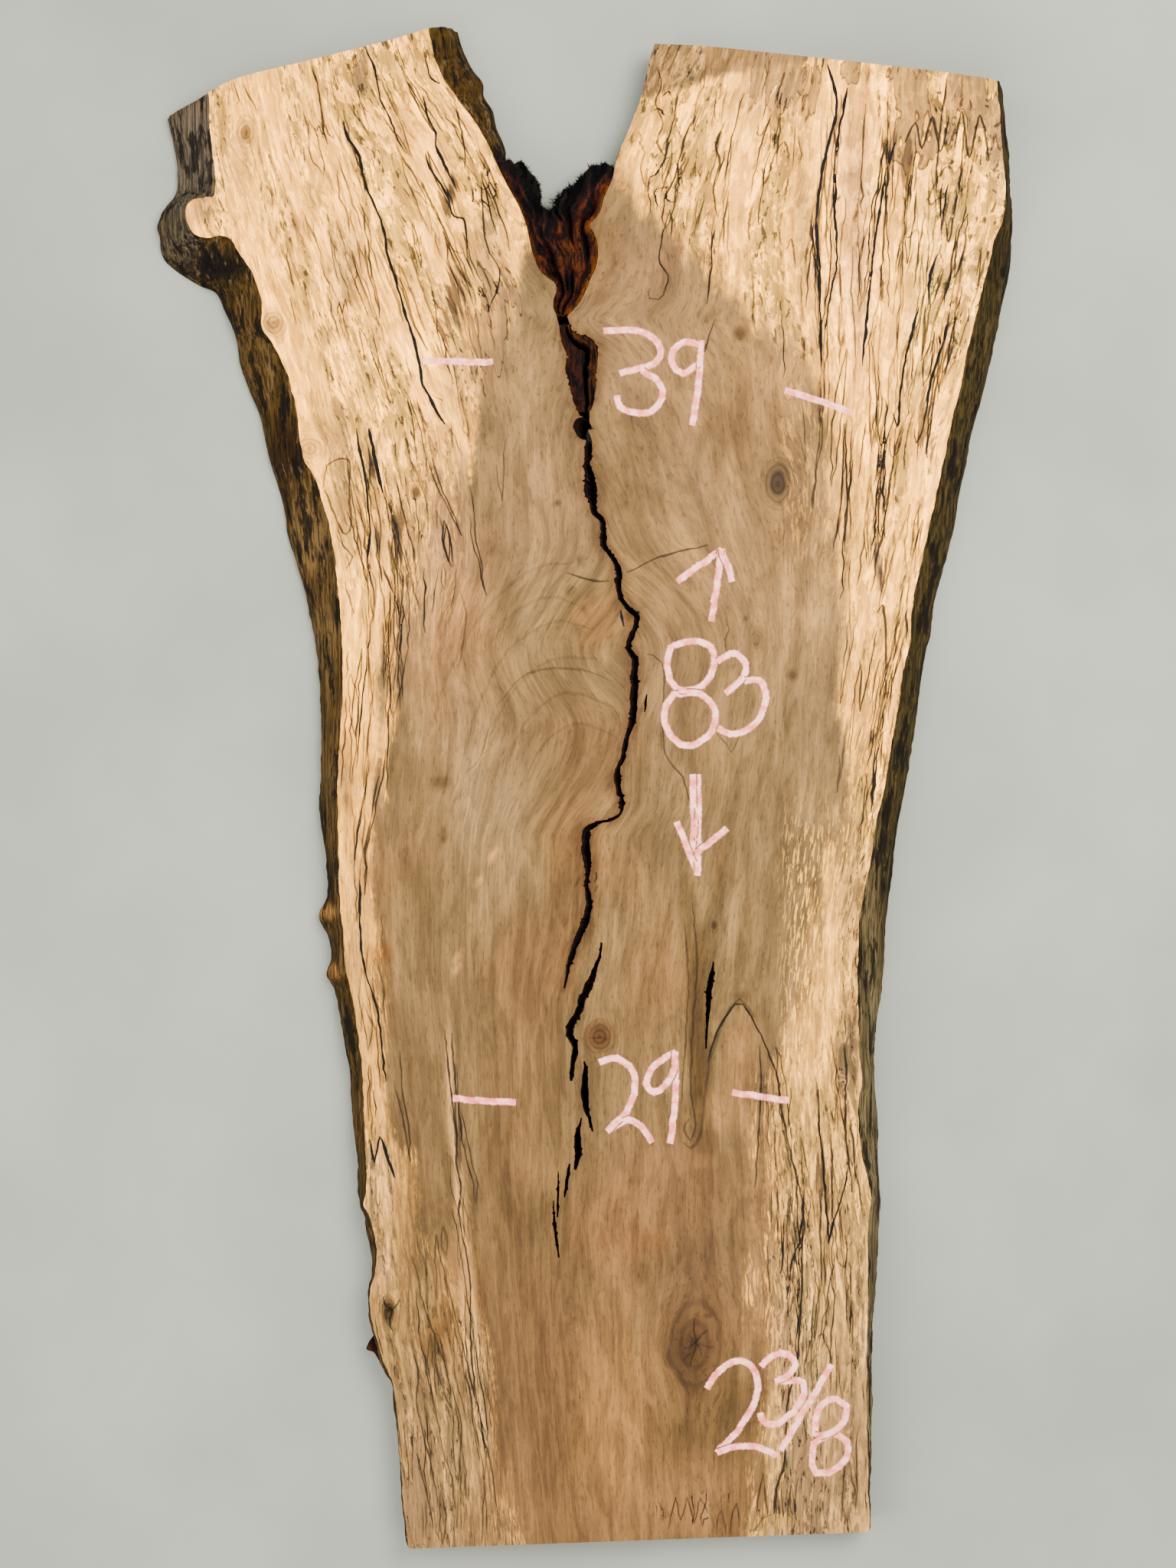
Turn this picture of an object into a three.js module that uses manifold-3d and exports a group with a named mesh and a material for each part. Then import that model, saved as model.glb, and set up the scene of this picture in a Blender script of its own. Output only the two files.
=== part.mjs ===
// A forked, live-edge slab of spalted maple, lying on its back with the sawn face up.
// The trunk end is at -Y and the two limb ends are at +Y. Lengths are in millimetres.
import * as THREE from "three";
import { mergeVertices } from "three/addons/utils/BufferGeometryUtils.js";
import Module from "manifold-3d";

const wasm = await Module();
wasm.setup();

// Driving dimensions: 83 in long, 2 3/8 in thick.
const LENGTH = 2108;
const THICKNESS = 60.3;

// The outlines are drawn on a grid with x to the right and y down, as seen from the front.
// GRID_TOP and GRID_FOOT are the grid rows of the slab's two ends, so one step is GRID millimetres.
const GRID_TOP = 25;
const GRID_FOOT = 2023;
const GRID_MIDDLE = 768;
const GRID = LENGTH / (GRID_FOOT - GRID_TOP);

// Where an edge's back shows past its face, it is drawn as seen from VIEW_DISTANCE and moved out to its true place.
const VIEW_DISTANCE = 3200;
const GRID_EYE = 1024;
const BACK_SPREAD = VIEW_DISTANCE / (VIEW_DISTANCE - THICKNESS);

// Facets
const OUTLINE_STEP = 15; // along an edge
const LEVELS = [0, 0.1, 0.3, 0.52, 0.76, 1]; // shares of the thickness, from the back to the face
const CLEARANCE = 0.5; // between the wood and a piece of bark that it holds
const OVERRUN = 3; // a cutter runs this far past a face

// Live edges
const EDGE_CURVE = 1.55; // above 1, an edge bellies out towards the back
const EDGE_BELLY = 2.5;
const RIDGE_HEIGHT = 1.6;
const RIDGE_PITCH = 47;
const KNOB_PITCH = 131;

// Bark in the fork
const BARK_TOP = THICKNESS - 5;
const BARK_FOOT = 3;
const BARK_RELIEF = 5;
const BARK_CELL = 11;

// Each station of an edge is [face x, face y, back x, back y] in grid steps.
const LEFT_EDGE = [
  [533, 2023, 537, 2004], [527, 1960, 531, 1960], [522, 1900, 527, 1900], [519, 1850, 523, 1850],
  [512, 1805, 515, 1805], [501, 1778, 502, 1780], [490, 1742, 491, 1742], [484, 1712, 486, 1712],
  [484, 1685, 485, 1685], [490, 1662, 488, 1662], [492, 1635, 487, 1635], [487, 1603, 481, 1603],
  [480, 1584, 477, 1584], [475, 1573, 473, 1573], [478, 1560, 471, 1560], [478, 1520, 468, 1520],
  [476, 1470, 462, 1470], [473, 1400, 457, 1400], [466, 1340, 447, 1340], [457, 1292, 439, 1292],
  [452, 1266, 427, 1273], [450, 1245, 434, 1250], [448, 1217, 431, 1224], [445, 1190, 417, 1196],
  [443, 1165, 429, 1168], [442, 1110, 425, 1110], [441, 1060, 418, 1064], [441, 1010, 421, 1010],
  [445, 950, 420, 950], [448, 890, 419, 890], [447, 840, 413, 840], [444, 795, 404, 795],
  [440, 750, 394, 750], [434, 705, 379, 708], [424, 664, 371, 664], [412, 626, 361, 628],
  [398, 602, 352, 600], [391, 570, 345, 568], [388, 540, 339, 540], [381, 508, 325, 508],
  [370, 476, 315, 478], [356, 449, 311, 450], [342, 428, 303, 425], [343, 402, 292, 402],
  [337, 377, 282, 383], [327, 351, 262, 374], [312, 331, 243, 363], [304, 315, 226, 351],
  [290, 308, 215, 340], [270, 311, 210, 326], [254, 306, 209, 312], [245, 290, 206, 299],
  [243, 275, 209, 286], [250, 262, 217, 274], [265, 259, 226, 262], [279, 256, 231, 252],
  [281, 240, 233, 236], [279, 210, 231, 210], [275, 180, 226, 182], [273, 158, 222, 168],
  [273, 138, 220, 160], [272, 121, 219, 156],
];
const LEFT_LIMB_CUT = [
  [272, 121, 208, 139], [304, 104, 250, 126], [402, 79, 385, 84], [520, 49, 535, 44], [560, 36, 595, 25],
];
const LEFT_LIMB_INNER_EDGE = [
  [560, 36, 598, 43], [565, 64, 604, 64], [574, 92, 616, 90], [589, 117, 631, 110],
  [604, 138, 632, 126], [617, 155, 644, 146], [629, 173, 648, 166], [638, 190, 656, 186],
  [646, 208, 661, 208],
];
const FORK_LEFT_WALL = [
  [646, 208, 659, 192], [655, 227, 663, 215], [663, 243, 667, 238], [672, 259, 672, 259],
  [681, 277, 681, 277], [688, 297, 688, 297], [692, 316, 692, 316], [697, 335, 697, 335],
  [704, 351, 704, 351], [714, 362, 714, 362], [724, 369, 724, 369], [727, 379, 727, 379],
  [723, 391, 723, 391], [723, 403, 723, 403], [728, 412, 728, 412], [733, 417, 733, 417],
];
const FORK_RIGHT_WALL = [
  [733, 417, 733, 417], [739, 414, 739, 414], [749, 405, 749, 405], [758, 394, 758, 394],
  [765, 380, 765, 380], [771, 365, 771, 365], [778, 350, 778, 350], [781, 334, 781, 334],
  [780, 317, 780, 317], [775, 303, 775, 303], [770, 294, 770, 294], [777, 286, 777, 286],
  [784, 276, 784, 276], [788, 261, 788, 261], [794, 247, 794, 247], [800, 233, 801, 233],
  [803, 219, 806, 219],
];
const RIGHT_LIMB_INNER_EDGE = [
  [803, 219, 806, 219], [812, 192, 820, 192], [821, 170, 832, 170], [829, 150, 843, 150],
  [837, 129, 851, 129], [842, 109, 857, 109], [847, 86, 863, 86], [855, 57, 870, 58],
];
const RIGHT_LIMB_CUT = [
  [855, 57, 870, 58], [920, 60, 922, 60], [1000, 68, 1000, 68], [1120, 81, 1122, 81],
  [1240, 95, 1245, 95], [1302, 104, 1314, 105],
];
const RIGHT_EDGE = [
  [1302, 104, 1304, 122], [1306, 150, 1309, 158], [1310, 200, 1313, 201], [1314, 258, 1317, 260],
  [1310, 286, 1319, 290], [1300, 311, 1320, 318], [1291, 345, 1319, 347], [1280, 392, 1309, 396],
  [1266, 448, 1298, 450], [1254, 508, 1285, 508], [1241, 560, 1270, 560], [1232, 605, 1261, 605],
  [1222, 650, 1252, 650], [1211, 700, 1243, 700], [1202, 742, 1232, 742], [1193, 785, 1220, 785],
  [1188, 838, 1211, 838], [1179, 882, 1204, 882], [1172, 930, 1197, 930], [1163, 978, 1189, 978],
  [1154, 1035, 1180, 1035], [1143, 1080, 1172, 1078], [1138, 1122, 1167, 1112], [1129, 1162, 1162, 1160],
  [1122, 1215, 1156, 1215], [1120, 1270, 1153, 1270], [1121, 1325, 1146, 1325], [1122, 1370, 1141, 1372],
  [1126, 1405, 1141, 1405], [1121, 1445, 1143, 1445], [1124, 1495, 1145, 1495], [1133, 1538, 1147, 1538],
  [1139, 1568, 1147, 1568], [1134, 1592, 1146, 1595], [1134, 1650, 1143, 1650], [1133, 1720, 1139, 1720],
  [1132, 1800, 1136, 1800], [1133, 1880, 1134, 1880], [1136, 2001, 1129, 1983],
];
const FOOT_CUT = [
  [1136, 2001, 1136, 2001], [835, 2012, 835, 2012], [533, 2023, 533, 2023],
];
// A live edge has relief, and an edge whose back is seen is moved out to its true place.
const PERIMETER = [
  { stations: LEFT_EDGE, live: true, backSeen: true },
  { stations: LEFT_LIMB_CUT, live: false, backSeen: false },
  { stations: LEFT_LIMB_INNER_EDGE, live: true, backSeen: true },
  { stations: FORK_LEFT_WALL, live: false, backSeen: false },
  { stations: FORK_RIGHT_WALL, live: false, backSeen: false },
  { stations: RIGHT_LIMB_INNER_EDGE, live: true, backSeen: false },
  { stations: RIGHT_LIMB_CUT, live: false, backSeen: false },
  { stations: RIGHT_EDGE, live: true, backSeen: true },
  { stations: FOOT_CUT, live: false, backSeen: false },
];

// Each station of a crack is [x, y, width] in grid steps, from the fork downwards.
const SEAM_POCKET = [
  [732, 409, 5], [732, 417, 6], [737, 425, 14], [741, 438, 19], [748, 447, 28], [758, 456, 42],
  [761, 468, 40], [759, 479, 42], [761, 500, 36], [762, 522, 28], [763, 538, 17], [765, 545, 7],
];
const SEAM_CRACK = [
  [765, 545, 7], [762, 551, 20], [761, 558, 25], [762, 566, 18], [769, 572, 8], [769, 584, 10],
  [767, 604, 9], [769, 619, 12], [771, 640, 18], [774, 655, 10], [776, 668, 8], [785, 678, 7],
  [788, 693, 8], [789, 711, 8], [797, 725, 6], [804, 734, 6], [809, 747, 9], [808, 765, 8],
  [812, 783, 7], [820, 794, 6], [831, 804, 7], [830, 818, 8], [823, 835, 8], [821, 848, 7],
  [829, 862, 9], [829, 883, 10], [828, 905, 10], [827, 928, 9], [825, 947, 8], [820, 960, 7],
  [815, 979, 8], [813, 992, 6], [807, 1004, 7], [807, 1023, 8], [812, 1046, 6], [810, 1063, 4],
  [796, 1071, 4], [779, 1076, 5], [767, 1084, 9], [765, 1097, 11], [766, 1119, 11], [768, 1138, 6],
  [766, 1154, 5], [769, 1173, 7], [768, 1192, 8], [761, 1211, 10], [753, 1231, 8], [745, 1253, 6],
  [741, 1272, 4], [737, 1291, 2],
];
// A seam leans by SEAM_LEAN grid steps from the face to the back.
const SEAM_LEAN = [17, 3];

// Splits beside the seam: each closes to an edge at SPLIT_DEPTH below the face.
const SPLIT_DEPTH = 38;
const SPLITS = [
  [[786, 1231, 2], [783, 1250, 4], [775, 1273, 8], [768, 1290, 10], [761, 1306, 10], [755, 1322, 9],
    [747, 1336, 10], [744, 1352, 9], [751, 1366, 8], [748, 1389, 7], [746, 1412, 3]],
  [[763, 1386, 2], [765, 1399, 8], [764, 1425, 10], [765, 1446, 9], [770, 1462, 5], [774, 1478, 2]],
  [[759, 1460, 2], [755, 1482, 8], [755, 1505, 9], [751, 1528, 3]],
  [[744, 1520, 2], [742, 1532, 5], [740, 1548, 4], [737, 1564, 1.5]],
  [[729, 1530, 1.5], [729, 1560, 3.5], [728, 1590, 2]],
  [[723, 1568, 1.5], [724, 1598, 4], [727, 1621, 3.5], [730, 1643, 1.5]],
  [[932, 1256, 1.5], [930, 1272, 6], [927, 1292, 8], [925, 1312, 6], [923, 1345, 3], [922, 1370, 1.5]],
  [[845, 907, 1.5], [843, 917, 4], [842, 930, 2]],
];

// Pits of old knots in the face: [x, y, half width, half length, depth], the depth in millimetres.
const KNOT_PITS = [
  [508, 1716, 9, 19, 11],
  [320, 172, 4, 9, 6],
  [892, 1757, 5, 12, 3],
];

// Outline of the bark grown into the fork, oversize where the wood cuts it back.
const FORK_BARK_OUTLINE = [
  [662, 212], [665, 206], [672, 213], [680, 208], [687, 216], [693, 226], [700, 232], [705, 246],
  [704, 262], [711, 270], [719, 272], [726, 264], [729, 252], [739, 244], [749, 238], [757, 229],
  [766, 221], [774, 214], [782, 213], [790, 211], [797, 214], [803, 219], [815, 240], [800, 290],
  [795, 350], [770, 400], [745, 425], [715, 420], [700, 390], [675, 340], [650, 250],
];
const BARK_SCALE_OUTLINE = [
  [489, 1736], [485, 1752], [477, 1764], [476, 1769], [485, 1772], [493, 1784], [504, 1797], [515, 1795], [503, 1740],
];
const BARK_SCALE_LEVELS = [16, 47];

const gridX = (x) => (x - GRID_MIDDLE) * GRID;
const gridY = (y) => (GRID_FOOT - y) * GRID;

// A seen point of the back outline, moved out from the eye's grid point.
function seenBackPoint(x, y) {
  const eyeX = gridX(GRID_MIDDLE);
  const eyeY = gridY(GRID_EYE);
  return new THREE.Vector2(
    eyeX + (gridX(x) - eyeX) * BACK_SPREAD,
    eyeY + (gridY(y) - eyeY) * BACK_SPREAD,
  );
}

const facePoint = (x, y) => new THREE.Vector2(gridX(x), gridY(y));
const flatCurve = (points) => new THREE.CatmullRomCurve3(
  points.map((p) => new THREE.Vector3(p.x, p.y, 0)), false, "centripetal",
);

// The slab's edge as a ring of {face, back, live}, a facet apart.
function perimeterRing() {
  const ring = [];
  for (const { stations, live, backSeen } of PERIMETER) {
    const backPoint = backSeen ? seenBackPoint : facePoint;
    const face = flatCurve(stations.map((s) => facePoint(s[0], s[1])));
    const back = flatCurve(stations.map((s) => backPoint(s[2], s[3])));
    for (let i = 0; i < stations.length - 1; i += 1) {
      const [ax, ay, bx, by] = stations[i];
      const [cx, cy, dx, dy] = stations[i + 1];
      const run = GRID * Math.max(Math.hypot(cx - ax, cy - ay), Math.hypot(dx - bx, dy - by));
      const steps = Math.max(1, Math.round(run / OUTLINE_STEP));
      for (let k = 0; k < steps; k += 1) {
        const t = (i + k / steps) / (stations.length - 1);
        ring.push({ face: face.getPoint(t), back: back.getPoint(t), live });
      }
    }
  }
  return ring;
}

// Unit vectors that point out of the ring, which runs clockwise.
function outwardNormals(ring) {
  return ring.map((_, i) => {
    const before = ring[(i + ring.length - 1) % ring.length];
    const after = ring[(i + 1) % ring.length];
    const along = new THREE.Vector2(
      after.face.x + after.back.x - before.face.x - before.back.x,
      after.face.y + after.back.y - before.face.y - before.back.y,
    );
    return new THREE.Vector2(-along.y, along.x).normalize();
  });
}

// Ridges and knobs of a live edge at a distance along it and a share of the thickness.
function liveRelief(distance, share) {
  const ridges = Math.sin((distance / RIDGE_PITCH) * 2.1 + share * 7) * Math.cos(share * 11 + distance / 90);
  const knobs = Math.sin((distance / KNOB_PITCH) * 2 * Math.PI + 2 * share);
  return RIDGE_HEIGHT * (0.6 * ridges + 0.4 * knobs);
}

function triangleMesh(positions, triangles) {
  const geometry = new THREE.BufferGeometry();
  geometry.setAttribute("position", new THREE.Float32BufferAttribute(positions, 3));
  geometry.setIndex(triangles);
  return geometry;
}

function solidOf(geometry) {
  const bare = geometry.clone();
  bare.deleteAttribute("normal");
  bare.deleteAttribute("uv");
  const merged = mergeVertices(bare, 1e-4);
  return new wasm.Manifold(new wasm.Mesh({
    numProp: 3,
    vertProperties: new Float32Array(merged.attributes.position.array),
    triVerts: new Uint32Array(merged.index.array),
  }));
}

function geometryOf(solid) {
  const mesh = solid.getMesh();
  const positions = [];
  for (let i = 0; i < mesh.numVert; i += 1) {
    positions.push(...mesh.vertProperties.slice(i * mesh.numProp, i * mesh.numProp + 3));
  }
  const geometry = triangleMesh(positions, Array.from(mesh.triVerts));
  geometry.computeVertexNormals();
  return geometry;
}

// The slab before it is cut: its edge lofted from the back outline to the face, and grown outwards by grow.
function slabBlank(grow) {
  const ring = perimeterRing();
  const normals = outwardNormals(ring);
  const positions = [];
  for (const share of LEVELS) {
    let distance = 0;
    ring.forEach(({ face, back, live }, i) => {
      const blend = live ? share ** EDGE_CURVE : share;
      const point = back.clone().lerp(face, blend);
      const middle = share > 0 && share < 1;
      const belly = live && middle ? EDGE_BELLY * Math.sin(Math.PI * share) + liveRelief(distance, share) : 0;
      point.addScaledVector(normals[i], grow + belly);
      positions.push(point.x, point.y, share * THICKNESS);
      distance += face.distanceTo(ring[(i + 1) % ring.length].face);
    });
  }
  const count = ring.length;
  const triangles = [];
  for (let level = 0; level < LEVELS.length - 1; level += 1) {
    for (let i = 0; i < count; i += 1) {
      const a = level * count + i;
      const b = level * count + ((i + 1) % count);
      triangles.push(a, a + count, b, b, a + count, b + count);
    }
  }
  for (const [level, up] of [[0, false], [LEVELS.length - 1, true]]) {
    const offset = level * count;
    const loop = ring.map((_, i) => {
      const at = (offset + i) * 3;
      return new THREE.Vector2(positions[at], positions[at + 1]);
    });
    for (const [a, b, c] of THREE.ShapeUtils.triangulateShape(loop, [])) {
      const turn = (loop[b].x - loop[a].x) * (loop[c].y - loop[a].y) - (loop[b].y - loop[a].y) * (loop[c].x - loop[a].x);
      triangles.push(offset + a, ...((turn > 0) === up ? [offset + b, offset + c] : [offset + c, offset + b]));
    }
  }
  return solidOf(triangleMesh(positions, triangles));
}

// A crack's solid: a ribbon of stations from the top height to the foot height, narrowed to footShare and leaning there.
function ribbon(stations, top, foot, footShare, lean, inset) {
  const centres = stations.map(([x, y]) => facePoint(x, y));
  const positions = [];
  centres.forEach((centre, i) => {
    const before = centres[Math.max(0, i - 1)];
    const after = centres[Math.min(centres.length - 1, i + 1)];
    const across = new THREE.Vector2(before.y - after.y, after.x - before.x).normalize();
    const half = Math.max(0.4, (stations[i][2] * GRID) / 2 - inset);
    for (const [height, share] of [[top, 1], [foot, footShare]]) {
      const slide = (THICKNESS - height) / THICKNESS;
      for (const side of [-1, 1]) {
        positions.push(
          centre.x + lean[0] * GRID * slide + across.x * half * share * side,
          centre.y - lean[1] * GRID * slide + across.y * half * share * side,
          height,
        );
      }
    }
  });
  const corners = [0, 1, 3, 2];
  const triangles = [];
  for (let i = 0; i < stations.length - 1; i += 1) {
    corners.forEach((corner, k) => {
      const a = i * 4 + corner;
      const b = i * 4 + corners[(k + 1) % 4];
      triangles.push(a, b, a + 4, b, b + 4, a + 4);
    });
  }
  const last = (stations.length - 1) * 4;
  triangles.push(0, 3, 1, 0, 2, 3, last, last + 1, last + 3, last, last + 3, last + 2);
  const made = solidOf(triangleMesh(positions, triangles));
  if (made.volume() > 0) return made;
  for (let i = 0; i < triangles.length; i += 3) {
    [triangles[i + 1], triangles[i + 2]] = [triangles[i + 2], triangles[i + 1]];
  }
  return solidOf(triangleMesh(positions, triangles));
}

const throughRibbon = (stations, inset) => ribbon(stations, THICKNESS + OVERRUN, -OVERRUN, 1, SEAM_LEAN, inset);

function prism(outline, foot, top) {
  const shape = new THREE.Shape(outline.map(([x, y]) => facePoint(x, y)));
  const geometry = new THREE.ExtrudeGeometry(shape, { depth: top - foot, bevelEnabled: false });
  geometry.translate(0, 0, foot);
  return solidOf(geometry);
}

// A pit is half of a stretched ball sunk in the face.
function knotPit([x, y, halfWidth, halfLength, depth]) {
  const geometry = new THREE.SphereGeometry(1, 14, 8);
  geometry.scale(halfWidth * GRID, halfLength * GRID, depth);
  geometry.translate(gridX(x), gridY(y), THICKNESS);
  return solidOf(geometry);
}

// Height of rough bark over (x, y): long furrows that run down the fork, broken by lumps.
function barkHeight(x, y) {
  const furrows = Math.sin(x / 5.3 + 1.4 * Math.sin(y / 31)) * Math.cos(y / 57 + x / 41);
  const lumps = Math.sin(x / 13 + 2) * Math.sin(y / 17);
  return BARK_RELIEF * (0.6 * furrows + 0.5 * lumps);
}

// A block over a box of the plan whose top has the height of the bark's surface.
function barkBlock(box, foot, heightAt) {
  const columns = Math.ceil((box.max.x - box.min.x) / BARK_CELL);
  const rows = Math.ceil((box.max.y - box.min.y) / BARK_CELL);
  const top = new THREE.PlaneGeometry(box.max.x - box.min.x, box.max.y - box.min.y, columns, rows);
  top.translate((box.min.x + box.max.x) / 2, (box.min.y + box.max.y) / 2, 0);
  const positions = [];
  const plan = top.attributes.position;
  for (let i = 0; i < plan.count; i += 1) {
    positions.push(plan.getX(i), plan.getY(i), heightAt(plan.getX(i), plan.getY(i)));
  }
  for (let i = 0; i < plan.count; i += 1) positions.push(plan.getX(i), plan.getY(i), foot);
  const surface = Array.from(top.index.array);
  const triangles = [...surface];
  for (let i = 0; i < surface.length; i += 3) {
    triangles.push(surface[i] + plan.count, surface[i + 2] + plan.count, surface[i + 1] + plan.count);
  }
  const rim = [];
  for (let c = 0; c < columns; c += 1) rim.push(c);
  for (let r = 0; r < rows; r += 1) rim.push(r * (columns + 1) + columns);
  for (let c = columns; c > 0; c -= 1) rim.push(rows * (columns + 1) + c);
  for (let r = rows; r > 0; r -= 1) rim.push(r * (columns + 1));
  rim.forEach((a, i) => {
    const b = rim[(i + 1) % rim.length];
    triangles.push(a, b, a + plan.count, b, b + plan.count, a + plan.count);
  });
  return solidOf(triangleMesh(positions, triangles));
}

function planBox(outline, margin) {
  return new THREE.Box2().setFromPoints(outline.map(([x, y]) => facePoint(x, y))).expandByScalar(margin);
}

function slabSolid(blank) {
  let wood = blank.subtract(throughRibbon([...SEAM_POCKET.slice(0, -1), ...SEAM_CRACK], 0));
  for (const split of SPLITS) {
    wood = wood.subtract(ribbon(split, THICKNESS + OVERRUN, THICKNESS - SPLIT_DEPTH, 0.12, [0, 0], 0));
  }
  for (const pit of KNOT_PITS) wood = wood.subtract(knotPit(pit));
  return wood;
}

function forkBarkSolid(grownBlank) {
  const block = barkBlock(planBox(FORK_BARK_OUTLINE, 4), BARK_FOOT, (x, y) => BARK_TOP + barkHeight(x, y));
  return prism(FORK_BARK_OUTLINE, 0, THICKNESS).intersect(block).subtract(grownBlank);
}

// The bark in the seam's pocket lies in two lips with a cleft between them.
function seamBarkSolid() {
  const lips = SEAM_POCKET.slice(2, -1);
  const cleft = lips.slice(1).map(([x, y, width]) => [x + 3, y, width * 0.13]);
  const box = planBox(lips, 45);
  const block = barkBlock(box, BARK_FOOT, (x, y) => BARK_TOP - 3 + 0.5 * barkHeight(x + 9, y));
  return throughRibbon(lips, CLEARANCE)
    .intersect(block)
    .subtract(ribbon(cleft, THICKNESS + OVERRUN, THICKNESS - SPLIT_DEPTH, 0.5, SEAM_LEAN, 0));
}

function barkScaleSolid(grownBlank) {
  return prism(BARK_SCALE_OUTLINE, ...BARK_SCALE_LEVELS).subtract(grownBlank);
}

function largestBody(solid) {
  return solid.decompose().reduce((best, body) => (body.volume() > best.volume() ? body : best));
}

const spaltedMaple = new THREE.MeshStandardMaterial({ color: 0xd3ab7a, roughness: 0.8, metalness: 0 });
const darkBark = new THREE.MeshStandardMaterial({ color: 0x3f220e, roughness: 0.9, metalness: 0 });

function namedMesh(name, solid, material) {
  const mesh = new THREE.Mesh(geometryOf(largestBody(solid)), material);
  mesh.name = name;
  return mesh;
}

const blank = slabBlank(0);
const grownBlank = slabBlank(CLEARANCE);
const slab = new THREE.Group();
slab.add(
  namedMesh("slab", slabSolid(blank), spaltedMaple),
  namedMesh("fork_bark", forkBarkSolid(grownBlank), darkBark),
  namedMesh("seam_bark", seamBarkSolid(), darkBark),
  namedMesh("bark_scale", barkScaleSolid(grownBlank), darkBark),
);

// The origin is under the middle of the slab's box, on the surface it lies on.
const bounds = new THREE.Box3().setFromObject(slab);
const centre = bounds.getCenter(new THREE.Vector3());
slab.position.set(-centre.x, -centre.y, -bounds.min.z);

export default slab;
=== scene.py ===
"""Dress a forked, live-edge slab of spalted maple that lies on its back with the sawn face up."""

from __future__ import annotations

import itertools
import logging
import math
from collections.abc import Callable, Iterable, Sequence
from dataclasses import dataclass, field
from enum import Enum

import bpy
import numpy as np
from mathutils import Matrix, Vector, kdtree
from mathutils.geometry import delaunay_2d_cdt

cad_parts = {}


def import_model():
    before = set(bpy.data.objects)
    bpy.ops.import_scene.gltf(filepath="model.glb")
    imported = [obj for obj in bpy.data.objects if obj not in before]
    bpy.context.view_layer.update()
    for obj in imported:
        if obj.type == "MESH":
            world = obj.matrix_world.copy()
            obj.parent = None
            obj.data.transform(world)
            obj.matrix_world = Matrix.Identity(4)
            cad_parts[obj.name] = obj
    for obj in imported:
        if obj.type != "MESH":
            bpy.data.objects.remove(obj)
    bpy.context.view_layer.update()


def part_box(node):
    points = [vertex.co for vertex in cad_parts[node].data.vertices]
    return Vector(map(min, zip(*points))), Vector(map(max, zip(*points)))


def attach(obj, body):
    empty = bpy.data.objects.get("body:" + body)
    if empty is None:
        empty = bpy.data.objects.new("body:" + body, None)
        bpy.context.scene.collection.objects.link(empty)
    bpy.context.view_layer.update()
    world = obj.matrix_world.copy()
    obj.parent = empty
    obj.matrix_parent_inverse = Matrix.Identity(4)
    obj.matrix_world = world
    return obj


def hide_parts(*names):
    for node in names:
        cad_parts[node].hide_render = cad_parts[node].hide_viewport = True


LOG = logging.getLogger("slab")

Stations = tuple[tuple[float, ...], ...]
Colour = tuple[float, float, float]

# Driving dimensions: 83 in long, 2 3/8 in thick.
LENGTH = 2.108
THICKNESS = 0.0603

# The outlines are drawn on a grid with x to the right and y down, as seen from the front.
GRID_TOP = 25
GRID_FOOT = 2023
GRID_MIDDLE = 768
GRID_EYE = 1024
GRID = LENGTH / (GRID_FOOT - GRID_TOP)

# Where an edge's back shows past its face, it is drawn as seen from VIEW_DISTANCE.
VIEW_DISTANCE = 3.2
BACK_SPREAD = VIEW_DISTANCE / (VIEW_DISTANCE - THICKNESS)

# Each station of an edge is (face x, face y, back x, back y) in grid steps.
LEFT_EDGE: Stations = (
    (533, 2023, 537, 2004), (527, 1960, 531, 1960), (522, 1900, 527, 1900), (519, 1850, 523, 1850),
    (512, 1805, 515, 1805), (501, 1778, 502, 1780), (490, 1742, 491, 1742), (484, 1712, 486, 1712),
    (484, 1685, 485, 1685), (490, 1662, 488, 1662), (492, 1635, 487, 1635), (487, 1603, 481, 1603),
    (480, 1584, 477, 1584), (475, 1573, 473, 1573), (478, 1560, 471, 1560), (478, 1520, 468, 1520),
    (476, 1470, 462, 1470), (473, 1400, 457, 1400), (466, 1340, 447, 1340), (457, 1292, 439, 1292),
    (452, 1266, 427, 1273), (450, 1245, 434, 1250), (448, 1217, 431, 1224), (445, 1190, 417, 1196),
    (443, 1165, 429, 1168), (442, 1110, 425, 1110), (441, 1060, 418, 1064), (441, 1010, 421, 1010),
    (445, 950, 420, 950), (448, 890, 419, 890), (447, 840, 413, 840), (444, 795, 404, 795),
    (440, 750, 394, 750), (434, 705, 379, 708), (424, 664, 371, 664), (412, 626, 361, 628),
    (398, 602, 352, 600), (391, 570, 345, 568), (388, 540, 339, 540), (381, 508, 325, 508),
    (370, 476, 315, 478), (356, 449, 311, 450), (342, 428, 303, 425), (343, 402, 292, 402),
    (337, 377, 282, 383), (327, 351, 262, 374), (312, 331, 243, 363), (304, 315, 226, 351),
    (290, 308, 215, 340), (270, 311, 210, 326), (254, 306, 209, 312), (245, 290, 206, 299),
    (243, 275, 209, 286), (250, 262, 217, 274), (265, 259, 226, 262), (279, 256, 231, 252),
    (281, 240, 233, 236), (279, 210, 231, 210), (275, 180, 226, 182), (273, 158, 222, 168),
    (273, 138, 220, 160), (272, 121, 219, 156),
)
LEFT_LIMB_CUT: Stations = (
    (272, 121, 208, 139), (304, 104, 250, 126), (402, 79, 385, 84), (520, 49, 535, 44), (560, 36, 595, 25),
)
LEFT_LIMB_INNER_EDGE: Stations = (
    (560, 36, 598, 43), (565, 64, 604, 64), (574, 92, 616, 90), (589, 117, 631, 110), (604, 138, 632, 126),
    (617, 155, 644, 146), (629, 173, 648, 166), (638, 190, 656, 186), (646, 208, 661, 208),
)
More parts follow.
